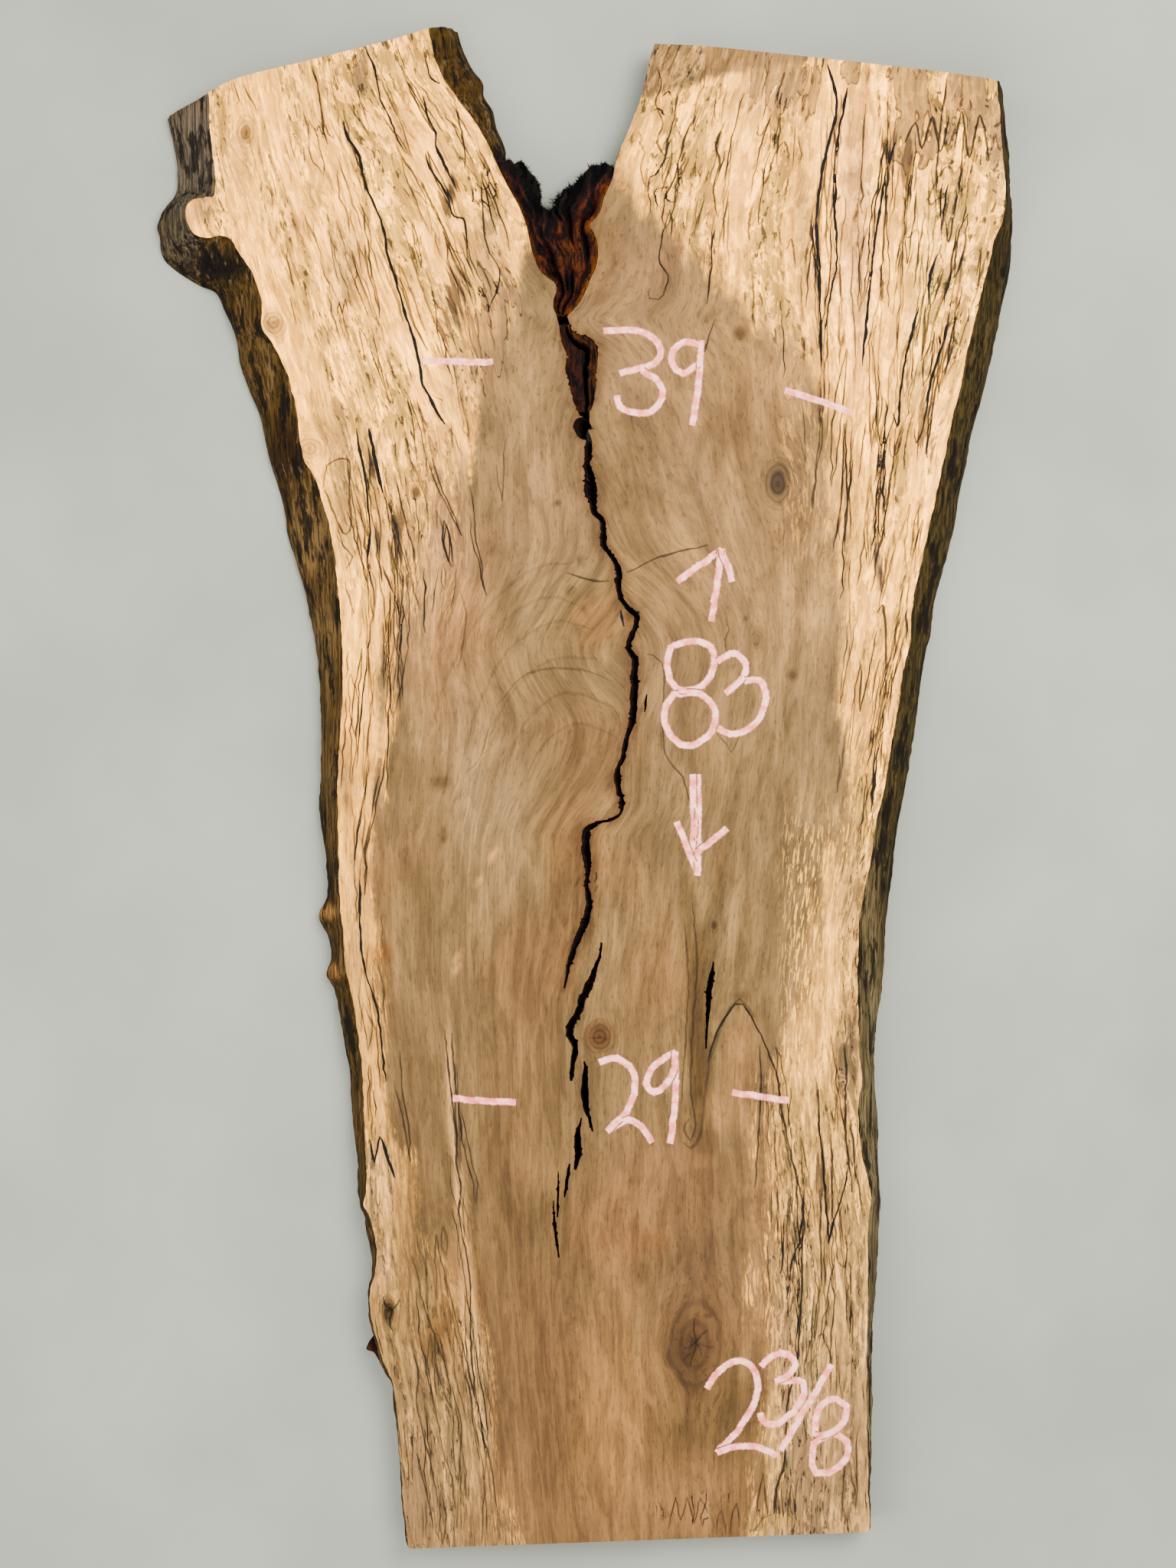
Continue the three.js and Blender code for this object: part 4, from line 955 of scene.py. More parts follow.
# The dark lines that fungi left, drawn one by one: width in mm, strength, and points in grid steps.
ZONE_LINES: tuple[tuple[float, float, Stations], ...] = (
    (1.6, 0.9, ((403, 79), (416, 116), (420, 148), (423, 171), (428, 188))),
    (1.4, 0.8, ((316, 102), (321, 119), (331, 135), (337, 151))),
    (1.8, 0.9, ((305, 108), (313, 132))),
    (2.6, 1.0, ((449, 158), (452, 175), (461, 190), (470, 205), (474, 228), (481, 252), (489, 268),
        (497, 287), (503, 310), (507, 335), (514, 357), (519, 375), (524, 393), (530, 415), (536, 430),
        (545, 460), (553, 503), (560, 516), (571, 540), (581, 554))),
    (1.8, 1.0, ((479, 65), (488, 87), (492, 106), (497, 129), (502, 140), (512, 161), (519, 182),
        (530, 200))),
    (1.4, 0.8, ((516, 48), (521, 68), (530, 89))),
    (2.0, 1.0, ((553, 126), (557, 145), (561, 158), (569, 174), (569, 190), (577, 209), (587, 228),
        (597, 251))),
    (1.6, 0.9, ((568, 60), (576, 80), (582, 100), (588, 120), (596, 140), (604, 180), (608, 200),
        (606, 220))),
    (2.0, 1.0, ((556, 202), (561, 219), (572, 235), (584, 254), (593, 283), (605, 286), (609, 308),
        (611, 325))),
    (1.8, 0.9, ((628, 238), (632, 290), (633, 310), (640, 330), (652, 352), (650, 375), (640, 400))),
    (1.4, 0.8, ((622, 196), (632, 214), (640, 236), (650, 258), (646, 240), (636, 214), (626, 197))),
    (1.4, 0.8, ((539, 292), (547, 318), (550, 350), (544, 330), (538, 294))),
    (2.0, 1.0, ((465, 560), (470, 589), (476, 618), (480, 656), (483, 688), (480, 735))),
    (3.4, 1.0, ((481, 560), (487, 584), (492, 612), (500, 643))),
    (1.8, 0.9, ((500, 643), (513, 672), (521, 711))),
    (1.8, 0.9, ((500, 740), (510, 765), (518, 788), (523, 817))),
    (1.6, 0.8, ((537, 563), (542, 576))),
    (1.6, 0.8, ((539, 640), (545, 672), (547, 708))),
    (1.5, 0.8, ((500, 813), (502, 850), (501, 900))),
    (1.5, 0.8, ((506, 813), (508, 850), (506, 893))),
    (1.6, 0.8, ((422, 637), (427, 608), (436, 602), (454, 600), (456, 656), (459, 682), (452, 698),
        (440, 680), (424, 640))),
    (1.4, 0.8, ((440, 700), (450, 715), (460, 727), (453, 742))),
    (1.4, 0.7, ((450, 760), (456, 780), (462, 802))),
    (2.0, 1.0, ((470, 1150), (471, 1220), (476, 1266), (486, 1296), (494, 1326), (499, 1372), (504, 1412))),
    (1.5, 0.9, ((582, 1346), (584, 1379), (592, 1452), (597, 1485), (596, 1525), (602, 1545), (600, 1591),
        (612, 1657), (616, 1771), (621, 1817), (630, 1869), (636, 1903))),
    (1.6, 0.8, ((590, 1350), (592, 1384), (600, 1455), (604, 1490))),
    (2.6, 1.0, ((476, 1512), (483, 1488), (489, 1518), (496, 1485), (506, 1512), (516, 1538))),
    (1.8, 0.9, ((440, 412), (443, 395), (447, 409), (451, 391), (455, 408))),
    (1.4, 0.7, ((540, 1770), (546, 1790), (544, 1830), (552, 1870), (562, 1910), (570, 1950), (572, 1968))),
    (1.2, 0.7, ((556, 1790), (566, 1830), (572, 1860), (580, 1900), (590, 1930), (594, 1970))),
    (1.2, 0.7, ((590, 1700), (600, 1740), (612, 1790), (622, 1830), (628, 1870), (640, 1910), (650, 1980))),
    (1.2, 0.7, ((538, 1640), (546, 1670), (552, 1700), (566, 1740), (580, 1780), (590, 1820))),
    (1.2, 0.7, ((545, 1900), (552, 1930), (560, 1960), (566, 1996))),
    (1.5, 0.8, ((858, 88), (864, 112), (856, 136), (866, 160), (858, 186), (868, 204))),
    (1.4, 0.8, ((834, 184), (842, 200), (836, 220), (844, 244))),
    (1.8, 0.9, ((885, 122), (880, 155), (871, 192), (868, 217))),
    (1.6, 0.9, ((902, 160), (889, 200), (880, 235), (868, 260), (865, 290), (870, 297), (880, 270),
        (882, 240))),
    (1.6, 0.9, ((866, 300), (862, 345), (873, 360), (870, 375), (860, 392), (848, 390), (846, 380))),
    (1.8, 0.9, ((942, 172), (935, 191), (940, 215), (932, 244), (937, 282))),
    (2.6, 1.0, ((1078, 76), (1093, 134), (1081, 191), (1073, 230), (1066, 287), (1069, 335), (1071, 407),
        (1073, 478))),
    (2.2, 1.0, ((1107, 115), (1093, 191), (1090, 268), (1093, 344), (1085, 383), (1078, 430))),
    (3.0, 1.0, ((1092, 240), (1090, 268), (1091, 300))),
    (2.4, 1.0, ((1169, 186), (1157, 230), (1150, 268), (1140, 335), (1133, 407), (1126, 478))),
    (2.2, 0.9, ((1182, 186), (1196, 160), (1204, 194), (1218, 152), (1228, 198), (1240, 150))),
    (2.0, 0.9, ((1246, 196), (1256, 146), (1266, 206), (1280, 150), (1292, 210))),
    (1.8, 0.9, ((1238, 96), (1232, 136), (1226, 186), (1222, 255))),
    (1.8, 0.9, ((1259, 167), (1255, 225), (1245, 286), (1239, 317), (1234, 286))),
    (2.6, 1.0, ((1224, 332), (1215, 359), (1213, 398))),
    (2.2, 1.0, ((1200, 400), (1180, 480), (1172, 557), (1166, 540))),
    (2.2, 1.0, ((1233, 445), (1217, 495), (1205, 560), (1197, 578), (1194, 560))),
    (2.4, 1.0, ((1236, 424), (1234, 438), (1230, 452), (1226, 438))),
    (1.6, 0.9, ((1115, 600), (1105, 680), (1103, 720))),
    (2.0, 0.9, ((1204, 725), (1195, 755), (1195, 785), (1185, 797), (1185, 830), (1182, 865), (1178, 905))),
    (1.8, 0.9, ((1145, 800), (1152, 790), (1157, 850), (1154, 930), (1150, 955), (1143, 950), (1137, 985),
        (1132, 1000))),
    (2.0, 1.0, ((1069, 1423), (1070, 1471), (1075, 1519), (1078, 1567), (1083, 1624))),
    (1.8, 1.0, ((1083, 1624), (1088, 1599), (1104, 1548), (1107, 1525))),
    (2.0, 0.9, ((1102, 1363), (1105, 1391), (1104, 1455), (1107, 1503), (1113, 1557))),
    (1.5, 0.8, ((992, 1366), (994, 1423), (989, 1503), (986, 1551))),
    (2.0, 0.9, ((1048, 1617), (1047, 1686), (1044, 1743), (1039, 1794), (1029, 1829), (1027, 1871),
        (1024, 1914), (1014, 1943), (1011, 1977))),
    (1.2, 0.7, ((873, 1998), (877, 1976), (882, 1956), (885, 1966), (889, 1986), (894, 1968), (897, 1956))),
    (1.2, 0.7, ((897, 1956), (902, 1972), (906, 1990), (911, 1972), (915, 1957), (920, 1964), (925, 1976))),
    (1.2, 0.6, ((936, 2004), (938, 1980), (942, 1974), (946, 1988), (949, 2004))),
    (1.2, 0.7, ((954, 2004), (957, 1974), (962, 1964), (965, 1976), (966, 2004))),
    (1.2, 0.6, ((972, 2006), (974, 1990), (980, 2000), (986, 1998), (996, 1984), (1008, 1978))),
    (1.4, 0.7, ((988, 1976), (992, 1946), (996, 1926), (998, 1938), (1000, 1958), (1003, 1974))),
    (1.2, 0.6, ((1028, 2002), (1030, 1970), (1034, 1940), (1038, 1974), (1046, 2002))),
    (1.8, 0.9, ((1110, 1649), (1112, 1690))),
    (2.0, 0.9, ((1111, 1700), (1110, 1740))),
    (1.6, 0.9, ((924, 1388), (932, 1359), (948, 1328), (960, 1312), (970, 1312), (986, 1337), (1002, 1372),
        (1015, 1407), (1021, 1449), (1034, 1512), (1047, 1567), (1050, 1611), (1037, 1640), (1027, 1697))),
    (1.6, 0.7, ((740, 748), (785, 760), (812, 750), (870, 725), (925, 712))),
    (1.8, 0.35, ((650, 920), (690, 880), (760, 875), (800, 890))),
    (3.4, 0.17, ((600, 1010), (622, 930), (664, 850), (724, 812), (770, 820))),
    (3.4, 0.17, ((560, 960), (590, 870), (640, 790), (700, 742), (750, 735))),
    (3.4, 0.17, ((640, 960), (672, 900), (720, 862), (780, 860))),
    (3.4, 0.17, ((660, 1000), (690, 940), (740, 905), (806, 925))),
    (3.4, 0.17, ((676, 1060), (704, 980), (752, 945), (804, 962))),
    (3.4, 0.17, ((640, 840), (672, 800), (716, 780), (756, 790))),
    (1.2, 0.5, ((602, 772), (608, 800), (604, 850), (599, 872))),
    (1.2, 0.4, ((641, 945), (634, 965), (627, 990), (609, 1010))),
    (1.4, 0.6, ((845, 854), (860, 860), (868, 881), (866, 920), (869, 985), (880, 1002), (891, 1015),
        (900, 1045))),
    (1.2, 0.5, ((948, 808), (952, 822), (947, 836), (950, 854))),
    (1.2, 0.5, ((936, 958), (948, 972), (955, 982), (964, 966), (960, 950))),
    (1.4, 0.45, ((900, 232), (903, 222), (908, 217), (914, 228), (914, 240), (908, 247), (901, 240),
        (900, 232))),
    (1.6, 0.5, ((812, 808), (815, 798), (821, 795), (828, 803), (829, 814), (822, 821), (814, 817),
        (812, 808))),
    (1.8, 0.5, ((905, 1180), (910, 1260), (905, 1340), (902, 1420), (908, 1470), (902, 1490), (893, 1476),
        (900, 1462))),
    (1.3, 0.5, ((894, 1200), (899, 1280), (895, 1360), (890, 1440))),
    (3.6, 0.45, ((948, 1326), (957, 1313), (966, 1305), (975, 1313), (984, 1328))),
    (2.6, 0.4, ((948, 1326), (936, 1356), (926, 1392), (920, 1440), (914, 1484), (903, 1500), (893, 1492))),
    (3.4, 1.0, ((806, 780), (810, 790), (811, 806), (815, 818), (824, 826))),
    (1.4, 0.9, ((770, 1128), (763, 1122), (755, 1124))),
    (1.4, 0.9, ((778, 1136), (774, 1130), (777, 1124))),
    (1.6, 0.9, ((766, 1142), (757, 1148), (752, 1157))),
    (1.4, 0.9, ((776, 1152), (780, 1147), (779, 1140))),
    (1.6, 0.9, ((772, 1170), (778, 1164), (781, 1156))),
    (1.4, 0.8, ((846, 893), (843, 905), (844, 920), (842, 934))),
    (1.6, 0.55, ((908, 1722), (906, 1738), (910, 1752), (906, 1768), (902, 1784))),
    (1.4, 0.5, ((893, 1762), (900, 1759), (908, 1754), (916, 1744), (924, 1738))),
    (1.2, 0.5, ((899, 1744), (906, 1752), (914, 1760), (917, 1772))),
    (1.2, 0.45, ((892, 1778), (898, 1770), (906, 1766))),
    (1.8, 0.9, ((500, 1694), (505, 1706), (512, 1712), (509, 1724), (512, 1738))),
    (1.6, 0.9, ((512, 1712), (518, 1704), (521, 1698))),
)

# Chalk marks: ticks, arrows and plain numbers, in grid steps, and their width in mm.
CHALK_STROKES: tuple[Stations, ...] = (
    ((553, 471), (598, 472), (643, 473)),
    ((789, 433), (825, 431), (853, 441), (863, 457), (858, 472), (834, 481), (810, 487)),
    ((839, 484), (861, 500), (865, 520), (853, 536), (830, 539), (810, 531), (806, 517)),
    ((913, 450), (894, 447), (880, 457), (877, 474), (892, 488), (911, 476)),
    ((916, 445), (913, 496), (904, 555)),
    ((1026, 510), (1070, 524), (1114, 539)),
    ((942, 718), (936, 765), (930, 811)),
    ((942, 718), (914, 738), (885, 759)),
    ((942, 718), (950, 738), (956, 759)),
    ((873, 848), (903, 837), (929, 845), (933, 864), (924, 889), (909, 899), (884, 899), (873, 880),
        (872, 861), (876, 845)),
    ((878, 908), (913, 905), (932, 924), (933, 947), (919, 966), (897, 974), (878, 963), (868, 943),
        (870, 921), (880, 907)),
    ((938, 864), (954, 853), (970, 859), (975, 876), (964, 892), (948, 905)),
    ((973, 889), (992, 889), (1000, 912), (994, 934), (976, 953), (954, 959), (938, 951)),
    ((912, 1012), (912, 1080), (911, 1143)),
    ((905, 1012), (906, 1060), (905, 1112)),
    ((884, 1074), (896, 1104), (909, 1135)),
    ((949, 1082), (930, 1098), (911, 1112)),
    ((592, 1435), (632, 1438), (673, 1440)),
    ((783, 1387), (798, 1382), (814, 1386), (828, 1402), (828, 1429), (818, 1452), (794, 1477), (821, 1462),
        (838, 1472), (851, 1492)),
    ((882, 1374), (871, 1379), (851, 1396), (844, 1416), (854, 1427), (871, 1416), (881, 1396)),
    ((882, 1374), (882, 1432), (876, 1493)),
    ((957, 1427), (993, 1432), (1029, 1438)),
    ((923, 1813), (940, 1789), (963, 1777), (983, 1786), (990, 1806), (983, 1837), (963, 1869), (937, 1897),
        (963, 1889), (991, 1891), (1014, 1901)),
    ((994, 1784), (1009, 1770), (1029, 1769), (1039, 1783), (1029, 1797), (1013, 1804)),
    ((1013, 1804), (1049, 1806), (1047, 1829), (1029, 1851), (1009, 1860), (994, 1853), (993, 1846)),
    ((1086, 1783), (1053, 1838), (1020, 1894)),
    ((1091, 1827), (1106, 1837), (1103, 1854), (1089, 1869), (1066, 1874), (1066, 1854), (1074, 1834),
        (1091, 1827)),
    ((1089, 1871), (1106, 1883), (1106, 1903), (1089, 1920), (1066, 1924), (1061, 1914), (1064, 1886),
        (1089, 1871)),
)
CHALK_WIDTH = 9.4


class LineForm(Enum):
    """How a line in a thicket runs."""

    RUN = 0
    TURN = 1
    LOOP = 2


@dataclass(frozen=True)
class Thicket:
    """A stretch of the face crowded with lines: its box in grid steps, their number, reach and width."""

    box: tuple[float, float, float, float]
    count: int
    reach: tuple[float, float]
    width: tuple[float, float] = (1.1, 2.4)
    forms: tuple[float, float, float] = (0.5, 0.35, 0.15)
    spread: tuple[float, float] = (2.0, 7.0)
    strength: tuple[float, float] = (0.6, 1.0)
    drift: float = 0.05
    waver: float = 0.09
    step: float = 12.0

    def lines(self, figure: Figure, rng: np.random.Generator) -> list[Line]:
        """Grow the thicket's lines along the grain.

        Args:
            figure: The grain that they follow.
            rng: The source of chance.

        Returns:
            The lines in grid steps.
        """
        left, top, right, bottom = self.box
        grown = []
        for _ in range(self.count):
            start = np.array([rng.uniform(left, right), rng.uniform(top, bottom)])
            count = max(3, int(rng.uniform(*self.reach) / self.step))
            form = LineForm(rng.choice(len(LineForm), p=self.forms))
            path, side = self._follow(figure, start, count, rng)
            spread = rng.uniform(*self.spread)
            width = rng.uniform(*self.width)
            strength = rng.uniform(*self.strength)
            for points in self._shape(form, path, side, spread, rng):
                grown.append(Line(tuple(map(tuple, points)), width, strength))
        return grown

    def _follow(
        self, figure: Figure, start: np.ndarray, count: int, rng: np.random.Generator
    ) -> tuple[np.ndarray, np.ndarray]:
        """Walk down the grain from a point, and give the path and the unit vectors across it.

        Args:
            figure: The grain that it follows.
            start: Where it starts, in grid steps.
            count: How many steps it takes.
            rng: The source of chance.

        Returns:
            The path, and the unit vectors across it.
        """
        path, sides = [start], []
        drift = rng.normal(0, self.drift)
        for _ in range(count):
            x, y = path[-1]
            around = figure.across(np.array([x - 3, x + 3, x, x]), np.array([y, y, y - 3, y + 3]))
            slope = np.array([around[1] - around[0], around[3] - around[2]])
            slope = slope / max(np.linalg.norm(slope), LEAST_LENGTH)
            down = np.array([-slope[1], slope[0]])
            down = down * (1 if down[1] > 0 else -1)
            sides.append(slope)
            path.append(path[-1] + (down + slope * (drift + rng.normal(0, self.waver))) * self.step)
        sides.append(sides[-1])
        return np.array(path), np.array(sides)

    @staticmethod
    def _shape(
        form: LineForm, path: np.ndarray, side: np.ndarray, spread: float, rng: np.random.Generator
    ) -> list[np.ndarray]:
        """Turn a path into a run, a pointed turn or a spindle.

        Args:
            form: How the line runs.
            path: Its points.
            side: Unit vectors across it.
            spread: How far it opens.
            rng: The source of chance.

        Returns:
            One or two lines.
        """
        share = np.linspace(0, 1, len(path))[:, None]
        stray = rng.normal(0, 0.5, (2, len(path), 1))
        if form is LineForm.RUN:
            return [path + side * stray[0]]
        if form is LineForm.LOOP:
            bulge = spread * np.sin(np.pi * share) ** 0.8
            return [path + side * (bulge + stray[0] * share), path - side * (bulge + stray[1] * share)]
        opening = spread * share**0.8 * rng.choice((0.6, 1.4))
        there, back = path + side * (opening + stray[0] * share), path - side * (opening + stray[1] * share)
        if rng.random() < 0.5:
            middle = path[-1] * 2 - path
            there, back = middle + side * opening, middle - side * opening
        return [there, back[: int(len(back) * rng.uniform(0.5, 1.0)) + 1]]


THICKETS: tuple[Thicket, ...] = (
    Thicket((420, 60, 600, 360), 40, (30, 150), (1.0, 2.3), (0.6, 0.3, 0.1)),
    Thicket((520, 200, 650, 560), 22, (40, 150)),
    Thicket((450, 560, 530, 880), 44, (60, 200), (0.9, 2.1), (0.7, 0.2, 0.1)),
    Thicket((540, 560, 600, 760), 8, (30, 90)),
    Thicket((300, 90, 440, 400), 24, (20, 80), (0.8, 1.5), (0.6, 0.25, 0.15)),
    Thicket((845, 80, 960, 330), 22, (30, 110)),
    Thicket((960, 110, 1080, 420), 14, (40, 130)),
    Thicket((1070, 110, 1180, 560), 42, (60, 240), (1.0, 2.5), (0.6, 0.3, 0.1)),
    Thicket((1170, 130, 1300, 330), 32, (30, 130), (1.2, 3.0), (0.35, 0.5, 0.15)),
    Thicket((1140, 330, 1260, 640), 30, (40, 150), (1.1, 2.7)),
    Thicket((1110, 600, 1220, 900), 30, (40, 140), (1.1, 2.6)),
    Thicket((1125, 860, 1180, 1040), 12, (30, 100)),
    Thicket((470, 1150, 500, 1480), 12, (40, 160)),
    Thicket((585, 1380, 620, 1900), 12, (60, 220), (0.8, 1.6)),
    Thicket((520, 1600, 600, 1780), 8, (40, 120), (0.8, 1.4), (0.5, 0.1, 0.4)),
    Thicket((530, 1790, 640, 2000), 13, (40, 150), (0.8, 1.4), (0.55, 0.15, 0.3)),
    Thicket((1000, 1340, 1120, 1640), 30, (40, 190), (0.9, 2.2), (0.55, 0.35, 0.1)),
    Thicket((1020, 1600, 1120, 1780), 18, (40, 150), (0.9, 2.0), (0.6, 0.3, 0.1)),
    Thicket((925, 1945, 1010, 2005), 8, (20, 50), (0.8, 1.4), (0.3, 0.6, 0.1)),
)


@dataclass
class Bands:
    """Narrow bands of the face mesh round each line, which hold the distance from its middle."""

    middle: np.ndarray
    side: np.ndarray
    half: np.ndarray
    strength: np.ndarray
    reach: np.ndarray
    chalk: np.ndarray

    def corners(self) -> np.ndarray:
        """Give each band's four corners in order, turning left.

        Returns:
            Four rows for each band.
        """
        lateral = self.side * self.reach[:, None, None]
        left, right = self.middle + lateral, self.middle - lateral
        return np.stack([left[:, 0], right[:, 0], right[:, 1], left[:, 1]], axis=1)

    def place(self, band: np.ndarray, points: np.ndarray) -> np.ndarray:
        """Find where points lie in their bands.

        Args:
            band: The band that each point is in.
            points: The points in metres.

        Returns:
            Rows of (distance from the middle in mm, half the line's width in mm, strength).
        """
        start, end = self.middle[band, 0], self.middle[band, 1]
        run = end - start
        length = np.maximum((run**2).sum(1), LEAST_SQUARE)
        share = np.clip(((points - start) * run).sum(1) / length, 0, 1)
        for _ in range(3):
            lateral = self.side[band, 0] * (1 - share)[:, None] + self.side[band, 1] * share[:, None]
            centre = start + run * share[:, None]
            off = ((points - centre) * lateral).sum(1) / np.maximum((lateral**2).sum(1), LEAST_SQUARE)
            left_over = points - centre - lateral * off[:, None]
            share = np.clip(share + (left_over * run).sum(1) / length, 0, 1)
        half = self.half[band, 0] * (1 - share) + self.half[band, 1] * share
        return np.column_stack([off * MM, half, self.strength[band]])


def near_tree(points: np.ndarray) -> kdtree.KDTree:
    """Build a search tree over points in the plane.

    Args:
        points: Rows of coordinates.

    Returns:
        The tree.
    """
    tree = kdtree.KDTree(len(points))
    for index, (x, y) in enumerate(points[:, :2].tolist()):
        tree.insert((x, y, 0.0), index)
    tree.balance()
    return tree


def distances(tree: kdtree.KDTree, points: np.ndarray) -> np.ndarray:
    """Give each point's distance from the nearest one in a tree."""
    return np.array([tree.find((x, y, 0.0))[2] for x, y in points[:, :2].tolist()])


def inside(loop: np.ndarray, points: np.ndarray) -> np.ndarray:
    """Tell which points lie inside a closed loop.

    Args:
        loop: The closed loop.
        points: The points that are tested.

    Returns:
        One truth value for each point.
    """
    found = np.zeros(len(points), bool)
    for (ax, ay), (bx, by) in zip(loop.tolist(), np.roll(loop, -1, 0).tolist()):
        if ay == by:
            continue
        crosses = (points[:, 1] < ay) != (points[:, 1] < by)
        found ^= crosses & (points[:, 0] < ax + (points[:, 1] - ay) * (bx - ax) / (by - ay))
    return found


def filled(loop: np.ndarray, step: float) -> np.ndarray:
    """Give points that are sure to lie on a closed loop, no more than a step apart.

    Args:
        loop: The closed loop.
        step: The greatest distance between them in metres.

    Returns:
        The points.
    """
    following = np.roll(loop, -1, 0)
    counts = np.ceil(np.linalg.norm(following - loop, axis=1) / step).astype(int)
    runs = [a + (b - a) * np.arange(n)[:, None] / n for a, b, n in zip(loop, following, counts) if n]
    return np.vstack(runs)


@dataclass
class Marks:
    """All lines on the face, cut clear of its edges and turned into bands."""

    figure: Figure
    step: float = 0.009
    stray: float = 0.0005
    clearance: float = 0.0013
    sharpest: float = math.radians(70)
    thickened: float = 1.5
    overlap: float = 0.0008
    edge_step: float = 0.0015
    seed: int = 11

    def lines(self) -> list[Line]:
        """Gather the drawn lines, the thickets' lines and the chalk marks.

        Returns:
            The lines.
        """
        rng = np.random.default_rng(self.seed)
        drawn = [Line(points, width * self.thickened, strength) for width, strength, points in ZONE_LINES]
        for thicket in THICKETS:
            drawn += thicket.lines(self.figure, rng)
        return drawn + [Line(points, CHALK_WIDTH, 1.0, Tool.CHALK) for points in CHALK_STROKES]

    def bands(self, loops: Sequence[np.ndarray]) -> Bands:
        """Turn the lines into bands that stay clear of the face's edges.

        Args:
            loops: The face's outline first, then its holes, in metres.

        Returns:
            The bands.
        """
        tree = near_tree(np.vstack([filled(loop, self.edge_step) for loop in loops]))
        rng = np.random.default_rng(self.seed + 1)
        pieces = []
        for line in self.lines():
            points = self.figure.drawing.plan(line.points)
            path = spline(points, stepped(points, self.step, followed=False))
            across = turned_left(np.gradient(path, axis=0))
            path = path + across * rng.normal(0, self.stray, len(path))[:, None]
            keep = inside(loops[0], path) & (distances(tree, path) > line.tool.value + self.clearance)
            for hole in loops[1:]:
                keep &= ~inside(hole, path)
            for run in self._runs(path, keep):
                pieces.append((path[run], line))
        parts = [self._piece(path, line, rng) for path, line in pieces]
        return Bands(*(np.concatenate(column) for column in zip(*parts)))

    def _runs(self, path: np.ndarray, keep: np.ndarray) -> list[np.ndarray]:
        """Split a path where it leaves the face and where it turns sharply.

        Args:
            path: The line's points.
            keep: Which points stay.

        Returns:
            The numbers of each run's points.
        """
        runs, current = [], []
        for index in range(len(path)):
            if not keep[index]:
                runs.append(current)
                current = []
                continue
            if len(current) >= 2:
                before, after = path[index - 1] - path[index - 2], path[index] - path[index - 1]
                turn = math.atan2(before[0] * after[1] - before[1] * after[0], before @ after)
                if abs(turn) > self.sharpest:
                    runs.append(current)
                    current = [index - 1]
            current.append(index)
        runs.append(current)
        return [np.array(run) for run in runs if len(run) >= 2]

    def _piece(self, path: np.ndarray, line: Line, rng: np.random.Generator) -> tuple[np.ndarray, ...]:
        """Make the bands of one smooth run of a line.

        Args:
            path: Its points.
            line: The line.
            rng: The source of chance.

        Returns:
            The fields of Bands for this run.
        """
        runs = np.diff(path, axis=0)
        runs = runs / np.maximum(np.linalg.norm(runs, axis=1), LEAST_LENGTH)[:, None]
        path = path.copy()
        path[0] -= runs[0] * self.overlap
        path[-1] += runs[-1] * self.overlap
        before, after = np.vstack([runs[:1], runs]), np.vstack([runs, runs[-1:]])
        mean = before + after
        mean = mean / np.maximum(np.linalg.norm(mean, axis=1), LEAST_LENGTH)[:, None]
        side = turned_left(mean) / np.clip((mean * after).sum(1), 0.75, 1)[:, None]
        count = len(path)
        if line.tool is Tool.CHALK:
            half = np.full(count, line.width / 2)
        else:
            ends = np.minimum(np.arange(count), np.arange(count)[::-1])
            half = line.width / 2 * np.clip(0.25 + ends * 0.5, 0, 1) * rng.uniform(0.6, 1.15, count)
        pair = np.arange(count - 1)
        spans = [np.stack([values[pair], values[pair + 1]], axis=1) for values in (path, side, half)]
        reach = np.full(count - 1, line.tool.value)
        chalk = np.full(count - 1, line.tool is Tool.CHALK)
        return (*spans, np.full(count - 1, line.strength), reach, chalk)


class Side(Enum):
    """The sides of the slab, each with a finish of its own, in the order of its material slots."""

    FACE = 0
    BACK = 1
    LEFT_LIVE = 2
    RIGHT_LIVE = 3
    SAWN = 4
    FORK_WALL = 5
    CRACK = 6


SIDE_OF_KIND = {
    EdgeKind.LEFT_LIVE: Side.LEFT_LIVE,
    EdgeKind.RIGHT_LIVE: Side.RIGHT_LIVE,
    EdgeKind.SAWN: Side.SAWN,
    EdgeKind.FORK_WALL: Side.FORK_WALL,
    EdgeKind.CRACK: Side.CRACK,
}

# The colour of each kind of wall, and patches on the live edges. The cracks' near black is partly the torn
# wood's own dark colour and partly painted shade of their depth.
WALL_TINTS = {
    EdgeKind.LEFT_LIVE: (112, 85, 52),
    EdgeKind.RIGHT_LIVE: (104, 86, 56),
    EdgeKind.SAWN: (184, 147, 104),
    EdgeKind.FORK_WALL: (84, 48, 26),
    EdgeKind.CRACK: (66, 36, 18),
}
WALL_PATCHES: tuple[Patch, ...] = tuple(itertools.starmap(Patch, (
    (250, 190, 60, 110, (146, 130, 112), 0.95), (225, 300, 40, 60, (126, 112, 92), 0.9),
    (285, 345, 70, 26, (44, 30, 19), 0.9), (330, 450, 34, 90, (140, 110, 72), 0.6),
    (372, 590, 26, 60, (74, 50, 28), 0.7), (400, 700, 30, 70, (156, 126, 86), 0.8),
    (425, 830, 26, 80, (150, 120, 82), 0.7), (430, 1000, 26, 120, (142, 114, 76), 0.6),
    (424, 1192, 20, 13, (196, 158, 108), 0.95), (434, 1270, 16, 11, (190, 150, 100), 0.9),
    (440, 1120, 14, 50, (112, 82, 48), 0.5), (465, 1450, 24, 130, (136, 104, 66), 0.6),
    (492, 1700, 24, 120, (112, 76, 42), 0.6), (1140, 1560, 30, 560, (156, 138, 106), 0.9),
    (1160, 1150, 20, 110, (104, 84, 54), 0.5), (1304, 330, 22, 60, (70, 56, 32), 0.6),
    (600, 120, 60, 110, (104, 76, 46), 0.6), (840, 130, 60, 110, (112, 84, 52), 0.6),
)))


